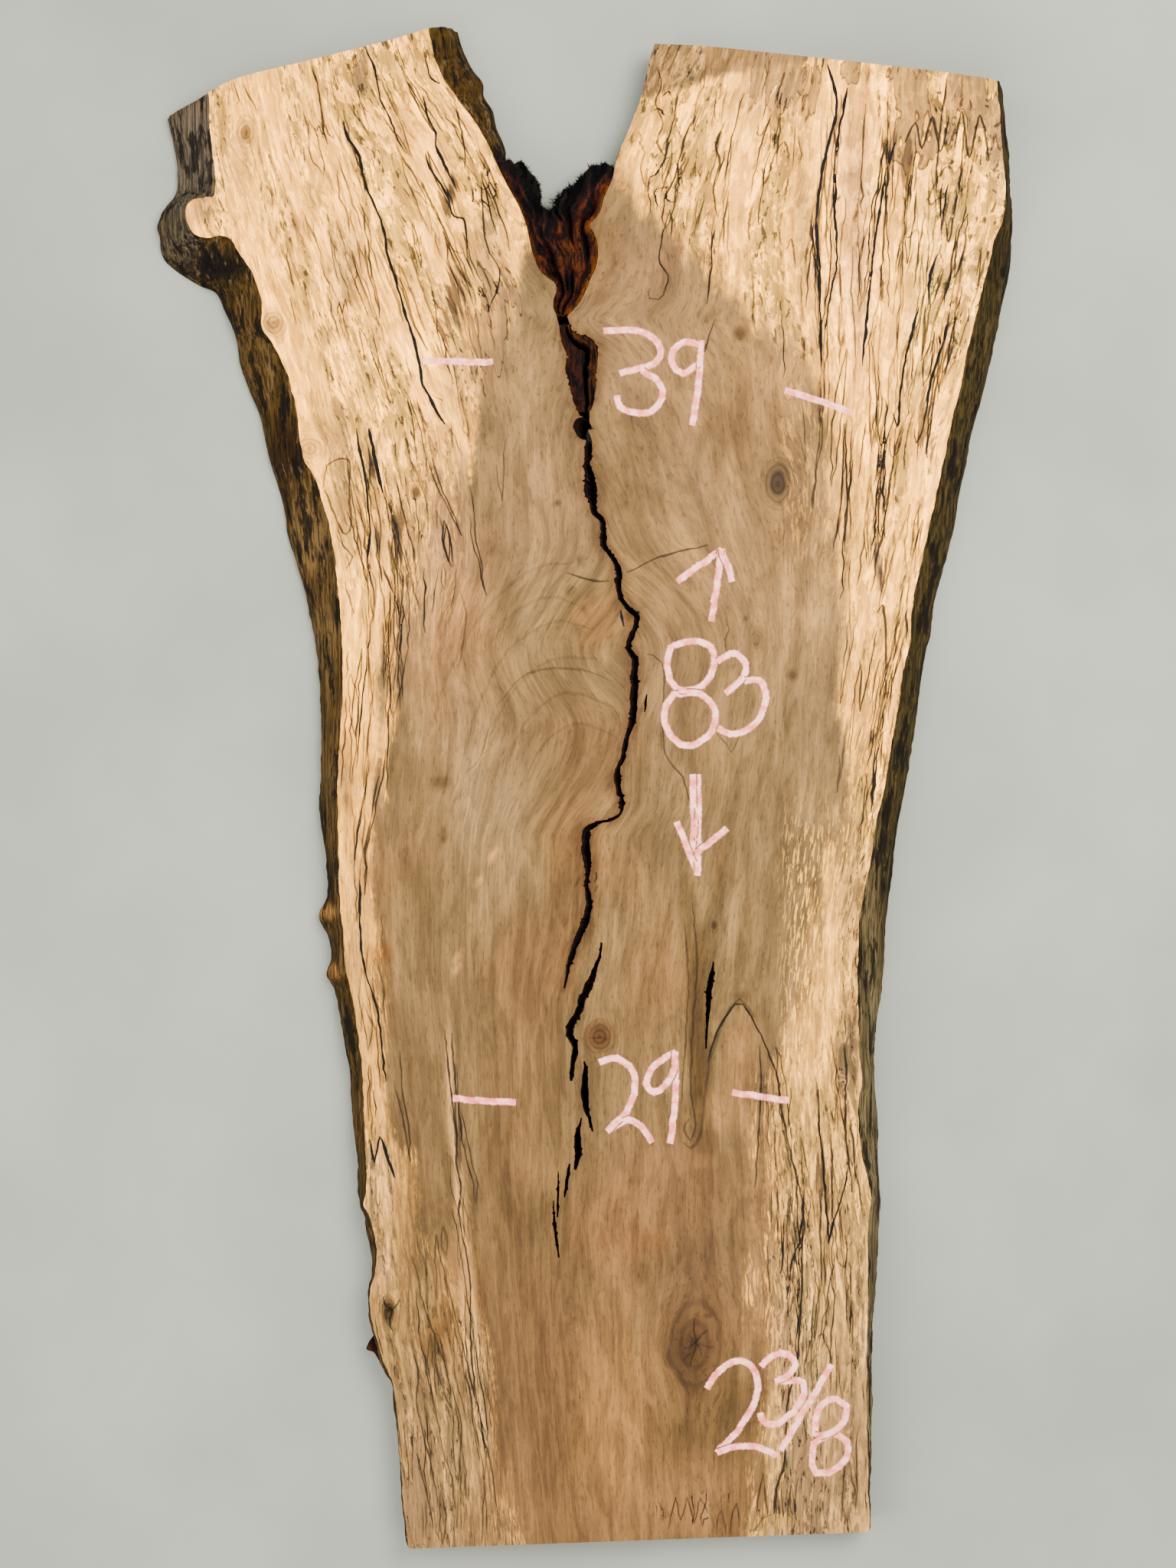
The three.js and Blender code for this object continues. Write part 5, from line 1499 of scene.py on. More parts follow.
# Points of a lattice stay this share of their step from a rim.
RIM_GAP = 0.4


def triangulated(
    loops: Sequence[np.ndarray], bands: Bands | None, inner: np.ndarray
) -> tuple[np.ndarray, np.ndarray, np.ndarray, np.ndarray]:
    """Fill a flat outline with triangles that follow its bands.

    Args:
        loops: The outline, with the material on its right, then holes, in metres.
        bands: The bands whose edges the triangles keep to.
        inner: More points to use.

    Returns:
        The points; the triangles; for each point of the loops, in order, its number among the
        points; and rows of (triangle, band) for the triangles that lie in bands.
    """
    quads = bands.corners().reshape(-1, 2) if bands else np.zeros((0, 2))
    given = np.vstack([*loops, quads, inner]) * MM
    wanted, start = [], 0
    for loop in loops:
        order = list(range(start, start + len(loop)))
        wanted.append(order[::-1] if start == 0 else order)
        start += len(loop)
    wanted += [list(range(k, k + 4)) for k in range(start, start + len(quads), 4)]
    flat = [Vector(point) for point in given.tolist()]
    points, _, faces, origins, _, owners = delaunay_2d_cdt(flat, [], wanted, 0, 1e-3, True)
    kept, pairs = [], []
    for face, owner in zip(faces, owners):
        if 0 not in owner or any(0 < k < len(loops) for k in owner):
            continue
        pairs += [(len(kept), k - len(loops)) for k in owner if k >= len(loops)]
        kept.append(tuple(face))
    number = np.zeros(start, int)
    for index, sources in enumerate(origins):
        for source in sources:
            if source < start:
                number[source] = index
    used, triangles = np.unique(kept, return_inverse=True)
    places = np.array([tuple(points[index]) for index in used]) / MM
    number = np.searchsorted(used, number)
    return places, triangles.reshape(-1, 3), number, np.array(pairs, int).reshape(-1, 2)


def hexes(low: np.ndarray, high: np.ndarray, step: float) -> np.ndarray:
    """Give the points of a triangular lattice over a box in the plane.

    Args:
        low: The box's lowest corner.
        high: The box's highest corner.
        step: The distance between them in metres.

    Returns:
        Rows of x and y.
    """
    rows = np.arange(low[1], high[1], step * math.sqrt(3) / 2)
    columns = np.arange(low[0], high[0], step)
    x, y = np.meshgrid(columns, rows)
    x = x + np.where(np.arange(len(rows)) % 2, step / 2, 0)[:, None]
    return np.column_stack([x.ravel(), y.ravel()])


def made_mesh(
    name: str,
    points: np.ndarray,
    triangles: np.ndarray,
    materials: Sequence[bpy.types.Material],
    slots: np.ndarray | None = None,
    sharp: float = 50,
) -> bpy.types.Object:
    """Make a smooth-shaded mesh object and link it to the scene.

    Args:
        name: The piece's name.
        points: Rows of x, y and z in metres.
        triangles: Rows of point numbers.
        materials: The piece's materials.
        slots: Each triangle's place among the materials.
        sharp: The angle in degrees past which an edge is shaded sharp.

    Returns:
        The object.
    """
    mesh = bpy.data.meshes.new(name)
    mesh.vertices.add(len(points))
    mesh.vertices.foreach_set("co", points.astype(np.float32).ravel())
    mesh.loops.add(triangles.size)
    mesh.loops.foreach_set("vertex_index", triangles.astype(np.int32).ravel())
    mesh.polygons.add(len(triangles))
    mesh.polygons.foreach_set("loop_start", np.arange(0, triangles.size, 3, dtype=np.int32))
    if slots is not None:
        mesh.polygons.foreach_set("material_index", slots.astype(np.int32))
    for material in materials:
        mesh.materials.append(material)
    mesh.update(calc_edges=True)
    mesh.shade_smooth()
    mesh.set_sharp_from_angle(angle=math.radians(sharp))
    made = bpy.data.objects.new(name, mesh)
    bpy.context.scene.collection.objects.link(made)
    return made


def give(
    made: bpy.types.Object, name: str, values: np.ndarray, domain: str = "POINT", colour: bool = False
) -> None:
    """Store rows of three values on a mesh, as a colour or as a vector.

    Args:
        made: The piece.
        name: The name that a finish reads them under.
        values: One row for each point or corner.
        domain: "POINT" or "CORNER".
        colour: Whether they are a colour.
    """
    kind = "FLOAT_COLOR" if colour else "FLOAT_VECTOR"
    layer = made.data.attributes.new(name, kind, domain)
    if colour:
        values = np.column_stack([values, np.ones(len(values))])
    layer.data.foreach_set("color" if colour else "vector", values.astype(np.float32).ravel())


@dataclass
class SlabWood:
    """The slab's own wood: the sawn face with its figure and marks, the back, and every wall."""

    outline: Outline
    figure: Figure
    marks: Marks
    face_step: float = 0.008
    back_step: float = 0.015
    knot_step: float = 0.0028
    rim_step: float = 0.003
    loose_gap: float = 0.0028
    tight_gap: float = 0.0016
    band_gap: float = 0.001
    levels: tuple[float, ...] = (0.06, 0.14, 0.24, 0.36, 0.48, 0.6, 0.7, 0.8, 0.88, 0.95)
    edge_curve: float = 1.55
    edge_belly: float = 0.0025
    split_levels: tuple[float, ...] = (0.2, 0.5, 0.8)
    split_narrowing: float = 0.85
    crack_rim: Colour = paint(138, 94, 58)

    def build(self, materials: Sequence[bpy.types.Material]) -> bpy.types.Object:
        """Make the slab's mesh.

        Args:
            materials: One for each Side, in order.

        Returns:
            The object.
        """
        ring, holes = self.outline.ring(), self.outline.holes()
        loops = [ring.face, *holes]
        bands = self.marks.bands(loops)
        face_inner = self._face_points(loops, bands)
        face_points, face_triangles, face_number, pairs = triangulated(loops, bands, face_inner)
        low, high = ring.back.min(0), ring.back.max(0)
        back_inner = hexes(low, high, self.back_step)
        back_tree = near_tree(filled(ring.back, self.rim_step))
        back_inner = back_inner[distances(back_tree, back_inner) > RIM_GAP * self.back_step]
        back_points, back_triangles, back_number, _ = triangulated([ring.back], None, back_inner)
        LOG.info("face: %d triangles, %d bands", len(face_triangles), len(bands.half))
        count = len(ring.face)
        points = [np.column_stack([face_points, self._depth(face_points)])]
        points.append(np.column_stack([back_points, np.zeros(len(back_points))]))
        top, bottom = face_number[:count], back_number + len(face_points)
        total = len(face_points) + len(back_points)
        walls, rows = [], [bottom]
        for level in self.levels:
            walls.append(self._wall(ring, level))
            rows.append(np.arange(count) + total)
            total += count
        rows.append(top)
        triangles = [face_triangles, back_triangles[:, ::-1] + len(face_points)]
        slots = [np.full(len(face_triangles), Side.FACE.value)]
        slots.append(np.full(len(back_triangles), Side.BACK.value))
        kind_slot = np.array([SIDE_OF_KIND[EdgeKind(k)].value for k in range(len(EdgeKind))])
        for lower, upper in itertools.pairwise(rows):
            triangles.append(self.quads(upper, lower))
            slots.append(np.tile(kind_slot[ring.kind], 2))
        points += walls
        start = count
        for hole in holes:
            at = face_number[start : start + len(hole)]
            start += len(hole)
            more_points, more_triangles = self._split(hole, at, total)
            points += more_points
            triangles += more_triangles
            slots += [np.full(len(batch), Side.CRACK.value) for batch in more_triangles]
            total += sum(map(len, more_points))
        every = np.vstack(points)
        made = made_mesh("slab_wood", every, np.vstack(triangles), materials, np.concatenate(slots))
        self._dress(made, every, ring, rows)
        self._mark(made, face_points, face_triangles, pairs, bands)
        return made

    def _face_points(self, loops: Sequence[np.ndarray], bands: Bands) -> np.ndarray:
        """Choose points inside the face: a loose lattice, and a tight one round knots and pits.

        Args:
            loops: The face's outline, then its holes.
            bands: The bands round the lines.

        Returns:
            The points.
        """
        low, high = loops[0].min(0), loops[0].max(0)
        loose, tight = hexes(low, high, self.face_step), hexes(low, high, self.knot_step)
        loose, tight = loose[~self._by_knot(loose)], tight[self._by_knot(tight)]
        edge_tree = near_tree(np.vstack([filled(loop, 0.002) for loop in loops]))
        shares = (np.arange(4) / 4)[None, :, None]
        samples = (bands.middle[:, :1] * (1 - shares) + bands.middle[:, 1:] * shares).reshape(-1, 2)
        wide = np.repeat(bands.chalk, 4)
        fungus_tree, chalk_tree = near_tree(samples[~wide]), near_tree(samples[wide])
        kept = []
        for batch, gap in ((loose, self.loose_gap), (tight, self.tight_gap)):
            batch = batch[distances(edge_tree, batch) > gap]
            batch = batch[distances(fungus_tree, batch) > Tool.FUNGUS.value + self.band_gap]
            kept.append(batch[distances(chalk_tree, batch) > Tool.CHALK.value + self.band_gap])
        return np.vstack(kept)

    def _by_knot(self, plan: np.ndarray) -> np.ndarray:
        """Tell which points are so near a knot or pit that they lie close together.

        Args:
            plan: Points in metres.

        Returns:
            One truth value for each point.
        """
        grid = self.figure.drawing.grid(plan)
        near = np.zeros(len(plan), bool)
        for knot in KNOTS:
            reach = np.array((knot.rx, knot.ry)) * 2 + 8
            near |= np.hypot(*((grid - (knot.x, knot.y)) / reach).T) < 1
        return near

    def _depth(self, plan: np.ndarray) -> np.ndarray:
        """Give the face's height at points, sunk in the pits of knots.

        Args:
            plan: Points in metres.

        Returns:
            One height for each point.
        """
        grid = self.figure.drawing.grid(plan)
        height = np.full(len(plan), THICKNESS)
        for x, y, rx, ry, depth in KNOT_PITS:
            far = np.hypot((grid[:, 0] - x) / rx, (grid[:, 1] - y) / ry)
            height -= depth * smooth(1.05, 0.35, far) * (1 + 0.2 * NOISE.at(plan, 260))
        return height

    def _wall(self, ring: Ring, level: float) -> np.ndarray:
        """Give the ring's points at a share of the slab's height, rough and bellied.

        Args:
            ring: The slab's outline.
            level: The share of the slab's height.

        Returns:
            Rows of x, y and z.
        """
        live = np.isin(ring.kind, (EdgeKind.LEFT_LIVE.value, EdgeKind.RIGHT_LIVE.value))
        rough = np.isin(ring.kind, (EdgeKind.CRACK.value, EdgeKind.FORK_WALL.value))
        share = np.where(live, level**self.edge_curve, level)[:, None]
        plan = ring.back + (ring.face - ring.back) * share
        height = np.full(len(plan), level * THICKNESS)
        where = np.column_stack([plan, height])
        rise = math.sin(math.pi * level)
        ridges = 0.0024 * NOISE.layers(where, 26, 13, 85, count=3) + 0.0012 * NOISE.at(where, 90, 90, 160)
        lumps = 0.0016 * NOISE.at(where, 22)
        push = live * (self.edge_belly * rise + (ridges + lumps) * min(1.0, 2.5 * rise))
        push = push + rough * 0.0011 * NOISE.layers(where, 70, 70, 50, count=2) * min(1.0, 2 * rise)
        plan = plan + ring.outward * push[:, None]
        return np.column_stack([plan, height])

    @staticmethod
    def quads(upper: np.ndarray, lower: np.ndarray) -> np.ndarray:
        """Join two closed rows of points with triangles that face out.

        Args:
            upper: The upper row's numbers.
            lower: The lower row's numbers.

        Returns:
            The triangles.
        """
        next_upper, next_lower = np.roll(upper, -1), np.roll(lower, -1)
        first = np.column_stack([upper, next_upper, next_lower])
        return np.vstack([first, np.column_stack([upper, next_lower, lower])])

    def _split(
        self, hole: np.ndarray, top: np.ndarray, total: int
    ) -> tuple[list[np.ndarray], list[np.ndarray]]:
        """Line a split with walls that close towards its bottom.

        Args:
            hole: The split's loop on the face.
            top: The numbers of the loop's points.
            total: How many points there are before the split's own.

        Returns:
            The split's batches of points, and its batches of triangles.
        """
        half = len(hole) // 2
        centre = (hole + hole[::-1]) / 2
        rows, points, triangles = [top], [], []
        for level in (*self.split_levels, 1.0):
            narrow = 1 - self.split_narrowing * level
            plan = centre + (hole - centre) * narrow
            height = np.full(len(hole), THICKNESS - SPLIT_DEPTH * level)
            where = np.column_stack([plan, height])
            plan = plan + (hole - centre) * (0.5 * NOISE.at(where, 160))[:, None] * narrow
            points.append(np.column_stack([plan, height]))
            rows.append(np.arange(len(hole)) + total)
            total += len(hole)
        for upper, lower in itertools.pairwise(rows):
            triangles.append(self.quads(upper, lower))
        floor, west = rows[-1], np.arange(half - 1)
        east = len(hole) - 1 - west
        triangles.append(np.column_stack([floor[west], floor[west + 1], floor[east - 1]]))
        triangles.append(np.column_stack([floor[west], floor[east - 1], floor[east]]))
        return points, triangles

    def _dress(self, made: bpy.types.Object, points: np.ndarray, ring: Ring, rows: list[np.ndarray]) -> None:
        """Store the grain, tone and densities of the wood at every point.

        Args:
            made: The slab's object.
            points: All of the mesh's points.
            ring: The slab's outline.
            rows: The numbers of the points in each row of the walls.
        """
        plan = points[:, :2]
        grain, marks = self.figure.grain(plan)
        sap = self.figure.sap(plan)
        give(made, "grain", np.column_stack([grain, points[:, 2]]))
        give(made, "knot", marks)
        torn = near_tree(ring.face[ring.kind == EdgeKind.CRACK.value])
        ragged = distances(torn, plan) + 0.007 * (0.3 + NOISE.layers(plan, 60, 30, count=2))
        tone = towards(self.figure.tone(plan, sap), self.crack_rim, 0.6 * smooth(0.017, 0.001, ragged))
        give(made, "tone", tone, colour=True)
        give(made, "figure", self.figure.densities(plan, sap))
        x, y = self.figure.drawing.grid(plan).T
        spots = [nearness(x, y, kind) for kind in (TAN_SPOTS, GREY_SPOTS, CURL_SPOTS)]
        give(made, "stain", np.column_stack(spots))
        run, live = np.zeros(len(points)), np.zeros(len(points), bool)
        # Points off the rows, such as the splits' walls, keep the cracks' near black, which is partly
        # painted shade.
        tints = np.tile(paint(*WALL_TINTS[EdgeKind.CRACK]), (len(points), 1))
        base = np.array([paint(*WALL_TINTS[EdgeKind(k)]) for k in range(len(EdgeKind))])
        for row in rows:
            run[row] = ring.run
            tints[row] = base[ring.kind]
            live[row] = ring.kind <= EdgeKind.RIGHT_LIVE.value
        at_edge = np.unique(np.concatenate(rows))
        colours = tints[at_edge]
        for patch in WALL_PATCHES:
            colours = self.figure.blend(colours, plan[at_edge], x[at_edge], y[at_edge], patch)
        tints[at_edge] = np.where(live[at_edge][:, None], colours, tints[at_edge])
        give(made, "edge_tone", tints, colour=True)
        give(made, "edge_at", np.column_stack([run, points[:, 2], np.zeros(len(points))]))

    @staticmethod
    def _mark(
        made: bpy.types.Object, points: np.ndarray, triangles: np.ndarray, pairs: np.ndarray, bands: Bands
    ) -> None:
        """Store the distance to the lines that pass through each triangle of the face.

        Args:
            made: The slab's object.
            points: The face's points.
            triangles: The face's triangles.
            pairs: Rows of (triangle, band).
            bands: The bands round the lines.
        """
        corners = len(made.data.loops)
        nothing = np.tile((FAR_AWAY, 0.0, 0.0), (corners, 1))
        layers = {name: nothing.copy() for name in (*LINE_LAYERS, CHALK_LAYER)}
        filled_slots = np.zeros(len(triangles), int)
        chalked = np.zeros(len(triangles), bool)
        chosen = {name: [] for name in layers}
        for triangle, band in pairs.tolist():
            if bands.chalk[band]:
                if not chalked[triangle]:
                    chosen[CHALK_LAYER].append((triangle, band))
                chalked[triangle] = True
            elif filled_slots[triangle] < len(LINE_LAYERS):
                chosen[LINE_LAYERS[filled_slots[triangle]]].append((triangle, band))
                filled_slots[triangle] += 1
        for name, values in layers.items():
            picked = np.array(chosen[name], int).reshape(-1, 2)
            for corner in range(3):
                where = points[triangles[picked[:, 0], corner]]
                values[picked[:, 0] * 3 + corner] = bands.place(picked[:, 1], where)
            give(made, name, values, "CORNER")


Value = bpy.types.NodeSocket | float | tuple


class Graph:
    """A node tree being drawn, with a short call for each node that it needs."""

    def __init__(self, tree: bpy.types.NodeTree) -> None:
        """Start on an empty tree."""
        self.tree = tree
        tree.nodes.clear()

    def node(self, kind: str, **settings: object) -> bpy.types.Node:
        """Add a node and set its properties.

        Args:
            kind: The node's type.
            settings: Its properties.

        Returns:
            The node.
        """
        made = self.tree.nodes.new(kind)
        for name, value in settings.items():
            setattr(made, name, value)
        return made

    def feed(self, socket: bpy.types.NodeSocket, value: Value | None) -> None:
        """Link a socket to another, or set its value."""
        if isinstance(value, bpy.types.NodeSocket):
            self.tree.links.new(value, socket)
        elif value is not None:
            socket.default_value = (*value, 1.0) if socket.type == "RGBA" and len(value) == 3 else value

    def math(self, operation: str, first: Value, second: Value | None = None) -> Value:
        """Combine one or two numbers.

        Args:
            operation: What is done to them.
            first: The first number.
            second: The second, where there is one.

        Returns:
            The result.
        """
        made = self.node("ShaderNodeMath", operation=operation)
        self.feed(made.inputs[0], first)
        self.feed(made.inputs[1], second)
        return made.outputs[0]

    def product(self, *values: Value) -> Value:
        """Multiply numbers together.

        Args:
            values: The numbers.

        Returns:
            The product.
        """
        total = values[0]
        for value in values[1:]:
            total = self.math("MULTIPLY", total, value)
        return total

    def ease(self, value: Value, low: Value, high: Value, bottom: float = 0.0, top: float = 1.0) -> Value:
        """Ease a number from bottom at low to top at high.

        Args:
            value: What is eased.
            low: Where it starts to change.
            high: Where it has changed.
            bottom: What it gives at low.
            top: What it gives at high.

        Returns:
            The eased number.
        """
        made = self.node("ShaderNodeMapRange", interpolation_type="SMOOTHSTEP")
        for socket, given in zip(made.inputs, (value, low, high, bottom, top)):
            self.feed(socket, given)
        return made.outputs[0]

    def mix(self, share: Value, first: Value, second: Value, blend: str = "MIX") -> Value:
        """Mix two colours.

        Args:
            share: How much of the second there is.
            first: The first colour.
            second: The second colour.
            blend: How they are blended.

        Returns:
            The mixed colour.
        """
        made = self.node("ShaderNodeMix", data_type="RGBA", blend_type=blend, clamp_factor=True)
        self.feed(made.inputs[0], share)
        self.feed(made.inputs[6], first)
        self.feed(made.inputs[7], second)
        return made.outputs[2]

    def scaled(self, vector: Value, *scale: float) -> Value:
        """Stretch a vector by a number for each axis.

        Args:
            vector: The vector.
            scale: A number for each axis.

        Returns:
            The stretched vector.
        """
        made = self.node("ShaderNodeVectorMath", operation="MULTIPLY")
        self.feed(made.inputs[0], vector)
        self.feed(made.inputs[1], scale)
        return made.outputs[0]

    def moved(self, vector: Value, offset: Value) -> Value:
        """Add an offset to a vector.

        Args:
            vector: The vector.
            offset: What is added.

        Returns:
            The sum.
        """
        made = self.node("ShaderNodeVectorMath", operation="ADD")
        self.feed(made.inputs[0], vector)
        self.feed(made.inputs[1], offset)
        return made.outputs[0]

    def parts(self, vector: Value) -> tuple[Value, Value, Value]:
        """Take a vector apart.

        Args:
            vector: The vector.

        Returns:
            Its three numbers.
        """
        made = self.node("ShaderNodeSeparateXYZ")
        self.feed(made.inputs[0], vector)
        return tuple(made.outputs)

    def joined(self, x: Value, y: Value, z: Value = 0.0) -> Value:
        """Put a vector together.

        Args:
            x: The first part.
            y: The second part.
            z: The third part.

        Returns:
            The vector.
        """
        made = self.node("ShaderNodeCombineXYZ")
        for socket, given in zip(made.inputs, (x, y, z)):
            self.feed(socket, given)
        return made.outputs[0]

    def tinted(self, colour: Value, share: Value, tint: Colour) -> Value:
        """Multiply a colour by a tint, where and as far as a share says."""
        return self.mix(share, colour, self.mix(1.0, colour, tint, "MULTIPLY"))

    def times(self, colour: Value, share: Value, low: float, high: float) -> Value:
        """Make a colour darker or lighter by a share."""
        factor = self.ease(share, 0.0, 1.0, low, high)
        return self.mix(1.0, colour, self.joined(factor, factor, factor), "MULTIPLY")

    def noise(self, vector: Value, detail: float = 2.0, rough: float = 0.5, warp: float = 0.0) -> Value:
        """Sample soft noise, about 0.5 at its middle.

        Args:
            vector: The vector.
            detail: How many finer layers it has.
            rough: How strong they are.
            warp: How far it is warped.

        Returns:
            The noise, 0 to 1.
        """
        made = self.node("ShaderNodeTexNoise")
        self.feed(made.inputs["Vector"], vector)
        for name, given in (("Scale", 1.0), ("Detail", detail), ("Roughness", rough), ("Distortion", warp)):
            self.feed(made.inputs[name], given)
        return made.outputs["Fac"]

    def stored(self, name: str, colour: bool = False) -> Value:
        """Read what the mesh stores under a name."""
        made = self.node("ShaderNodeAttribute", attribute_name=name)
        return made.outputs["Color" if colour else "Vector"]

    def place(self) -> Value:
        """Read the place in the part's frame, in metres."""
        return self.node("ShaderNodeTexCoord").outputs["Object"]

    def use(self, group: bpy.types.NodeTree, **values: Value) -> dict[str, Value]:
        """Place a node group and give its outputs by name.

        Args:
            group: The group.
            values: What feeds its inputs.

        Returns:
            The output sockets by name.
        """
        made = self.node("ShaderNodeGroup", node_tree=group)
        for name, value in values.items():
            self.feed(made.inputs[name.replace("_", " ")], value)
        return {socket.name: socket for socket in made.outputs}

    def bump(self, height: Value, distance: float, strength: float = 1.0) -> Value:
        """Turn a height into a normal.

        Args:
            height: The height.
            distance: How far it rises, in metres.
            strength: How much of it shows.

        Returns:
            The normal.
        """
        made = self.node("ShaderNodeBump")
        self.feed(made.inputs["Height"], height)
        made.inputs["Distance"].default_value = distance
        made.inputs["Strength"].default_value = strength
        return made.outputs["Normal"]

    def finish(self, colour: Value, roughness: Value, normal: Value, specular: float = 0.1) -> None:
        """End a material in its shader.

        Args:
            colour: The colour so far.
            roughness: How rough it is.
            normal: Its bumped normal.
            specular: How much it shines.
        """
        shader = self.node("ShaderNodeBsdfPrincipled")
        self.feed(shader.inputs["Base Color"], colour)
        self.feed(shader.inputs["Roughness"], roughness)
        self.feed(shader.inputs["Normal"], normal)
        shader.inputs["Specular IOR Level"].default_value = specular
        output = self.node("ShaderNodeOutputMaterial")
        self.tree.links.new(shader.outputs["BSDF"], output.inputs["Surface"])


def shared_group(
    name: str, inputs: dict[str, str | float], outputs: Iterable[str], draw: Callable[[Graph, dict], dict]
) -> bpy.types.NodeTree:
    """Make a node group.

    Args:
        name: Its name.
        inputs: Each input's name, with "vector" or its first value.
        outputs: The names of its outputs, all numbers.
        draw: Takes the graph and the input sockets by name, and gives what feeds each output.

    Returns:
        The group.
    """
    tree = bpy.data.node_groups.new(name, "ShaderNodeTree")
    graph = Graph(tree)
    for label, first in inputs.items():
        kind = "NodeSocketVector" if first == "vector" else "NodeSocketFloat"
        socket = tree.interface.new_socket(label, in_out="INPUT", socket_type=kind)
        if first != "vector":
            socket.default_value = first
    for label in outputs:
        tree.interface.new_socket(label, in_out="OUTPUT", socket_type="NodeSocketFloat")
    start, end = graph.node("NodeGroupInput"), graph.node("NodeGroupOutput")
    given = draw(graph, {socket.name: socket for socket in start.outputs})
    for label, value in given.items():
        tree.links.new(value, end.inputs[label])
    return tree


def draw_fibre(graph: Graph, given: dict) -> dict:
    """Draw the finest lines of the wood: a shade of about 0 to 1 and a height.

    Args:
        graph: The graph that it is drawn in.
        given: The group's input sockets by name.

    Returns:
        What feeds each output, by name.
    """
    thin = graph.noise(graph.scaled(given["Grain"], 1500, 26, 300), 3, 0.6)
    broad = graph.noise(graph.scaled(given["Grain"], 420, 9, 90), 2, 0.5)
    shade = graph.math("ADD", graph.product(thin, 0.5), graph.product(broad, 0.5))
    return {"Shade": graph.ease(shade, 0.3, 0.7), "Height": thin}


def draw_bands(graph: Graph, given: dict) -> dict:
    """Draw the year rings: a soft band of 0 to 1, and the thin dark line that ends each year.

    Args:
        graph: The graph that it is drawn in.
        given: The group's input sockets by name.

    Returns:
        What feeds each output, by name.
    """
    across, along, _ = graph.parts(given["Grain"])
    stray = graph.noise(graph.scaled(given["Grain"], 16, 2.4, 10), 3, 0.55)
    bent = graph.math("ADD", across, graph.product(stray, 0.014))
    year = graph.math("FRACT", graph.math("DIVIDE", bent, given["Year"]))
    line = graph.product(graph.ease(year, 0.62, 0.95), graph.ease(year, 1.0, 0.95))
    some = graph.noise(graph.joined(graph.product(bent, 60), graph.product(along, 1.1)), 1, 0.5)
    some = graph.ease(some, 0.4, 0.6)
    soft = graph.noise(graph.joined(graph.product(bent, 75), graph.product(along, 1.4)), 2, 0.6)
    return {"Band": graph.ease(soft, 0.3, 0.7), "Line": graph.product(line, some)}


def draw_flecks(graph: Graph, given: dict) -> dict:
    """Draw flecks that lie along the grain.

    Args:
        graph: The graph that it is drawn in.
        given: The group's input sockets by name.

    Returns:
        What feeds each output, by name.
    """
    across, along, _ = graph.parts(given["Grain"])
    across = graph.math("MULTIPLY", across, given["Across"])
    along = graph.math("MULTIPLY", along, given["Along"])
    cloud = graph.noise(graph.joined(across, along, given["Seed"]), 3, 0.62, 0.4)
    high = graph.math("ADD", given["Least"], given["Soft"])
    return {"Mask": graph.ease(cloud, given["Least"], high)}


def draw_contours(graph: Graph, given: dict) -> dict:
    """Draw thin closed lines where slow noise passes through a level, as fungi leave them.

    Args:
        graph: The graph that it is drawn in.
        given: The group's input sockets by name.

    Returns:
        What feeds each output, by name.
    """
    reach = 0.03
    across, along, _ = graph.parts(given["Grain"])
    jag = graph.noise(graph.scaled(given["Grain"], 420, 130, 100), 2, 0.6)
    across = graph.math("ADD", across, graph.product(graph.math("SUBTRACT", jag, 0.5), 0.0022))
    across = graph.math("MULTIPLY", across, given["Across"])
    along = graph.math("MULTIPLY", along, given["Along"])
    spot = graph.joined(across, along, given["Seed"])
    offsets = ((0, 0, 0), (reach, 0, 0), (0, reach, 0))
    values = [graph.noise(graph.moved(spot, offset), 1.5, 0.5) for offset in offsets]
    slopes = [graph.product(graph.math("SUBTRACT", value, values[0]), 1 / reach) for value in values[1:]]
    slope_across = graph.math("MULTIPLY", slopes[0], given["Across"])
    slope_along = graph.math("MULTIPLY", slopes[1], given["Along"])
    squares = [graph.math("MULTIPLY", slope, slope) for slope in (slope_across, slope_along)]
    steep = graph.math("MAXIMUM", graph.math("SQRT", graph.math("ADD", *squares)), 0.5)
    off = graph.math("ABSOLUTE", graph.math("SUBTRACT", values[0], given["Level"]))
    far = graph.math("DIVIDE", off, steep)
    line = graph.ease(far, given["Width"], graph.product(given["Width"], 0.25))
    broken = graph.noise(graph.moved(graph.scaled(given["Grain"], 60, 11, 40), (4.0, 9.0, 2.0)), 2, 0.6)
    return {"Mask": graph.product(line, graph.ease(broken, 0.5, 0.6))}


def draw_uneven(graph: Graph, given: dict) -> dict:
    """Draw how far lines stray from their paths, in mm, and how thick they are there.

    Args:
        graph: The graph that it is drawn in.
        given: The group's input sockets by name.

    Returns:
        What feeds each output, by name.
    """
    jag = graph.noise(graph.scaled(given["Grain"], 70, 130, 100), 2, 0.6)
    thick = graph.noise(graph.scaled(given["Grain"], 30, 20, 100), 2, 0.6)
    stray = graph.product(graph.math("SUBTRACT", jag, 0.5), 1.1)
    return {"Stray": stray, "Thick": graph.ease(thick, 0.35, 0.62, 0.75, 1.45)}


def draw_line(graph: Graph, given: dict) -> dict:
    """Draw one line from the distance that its band stores.

    Args:
        graph: The graph that it is drawn in.
        given: The group's input sockets by name.

    Returns:
        What feeds each output, by name.
    """
    off, half, strength = graph.parts(given["Line"])
    edge = graph.math("ABSOLUTE", graph.math("ADD", off, given["Stray"]))
    half = graph.math("MULTIPLY", half, given["Thick"])
    core = graph.ease(edge, graph.math("ADD", half, 0.22), graph.math("SUBTRACT", half, 0.22))
    halo = graph.ease(edge, 2.4, 0.6)
    there = graph.ease(half, 0.02, 0.3)
    return {"Core": graph.product(core, strength, there), "Halo": graph.product(halo, strength, there)}


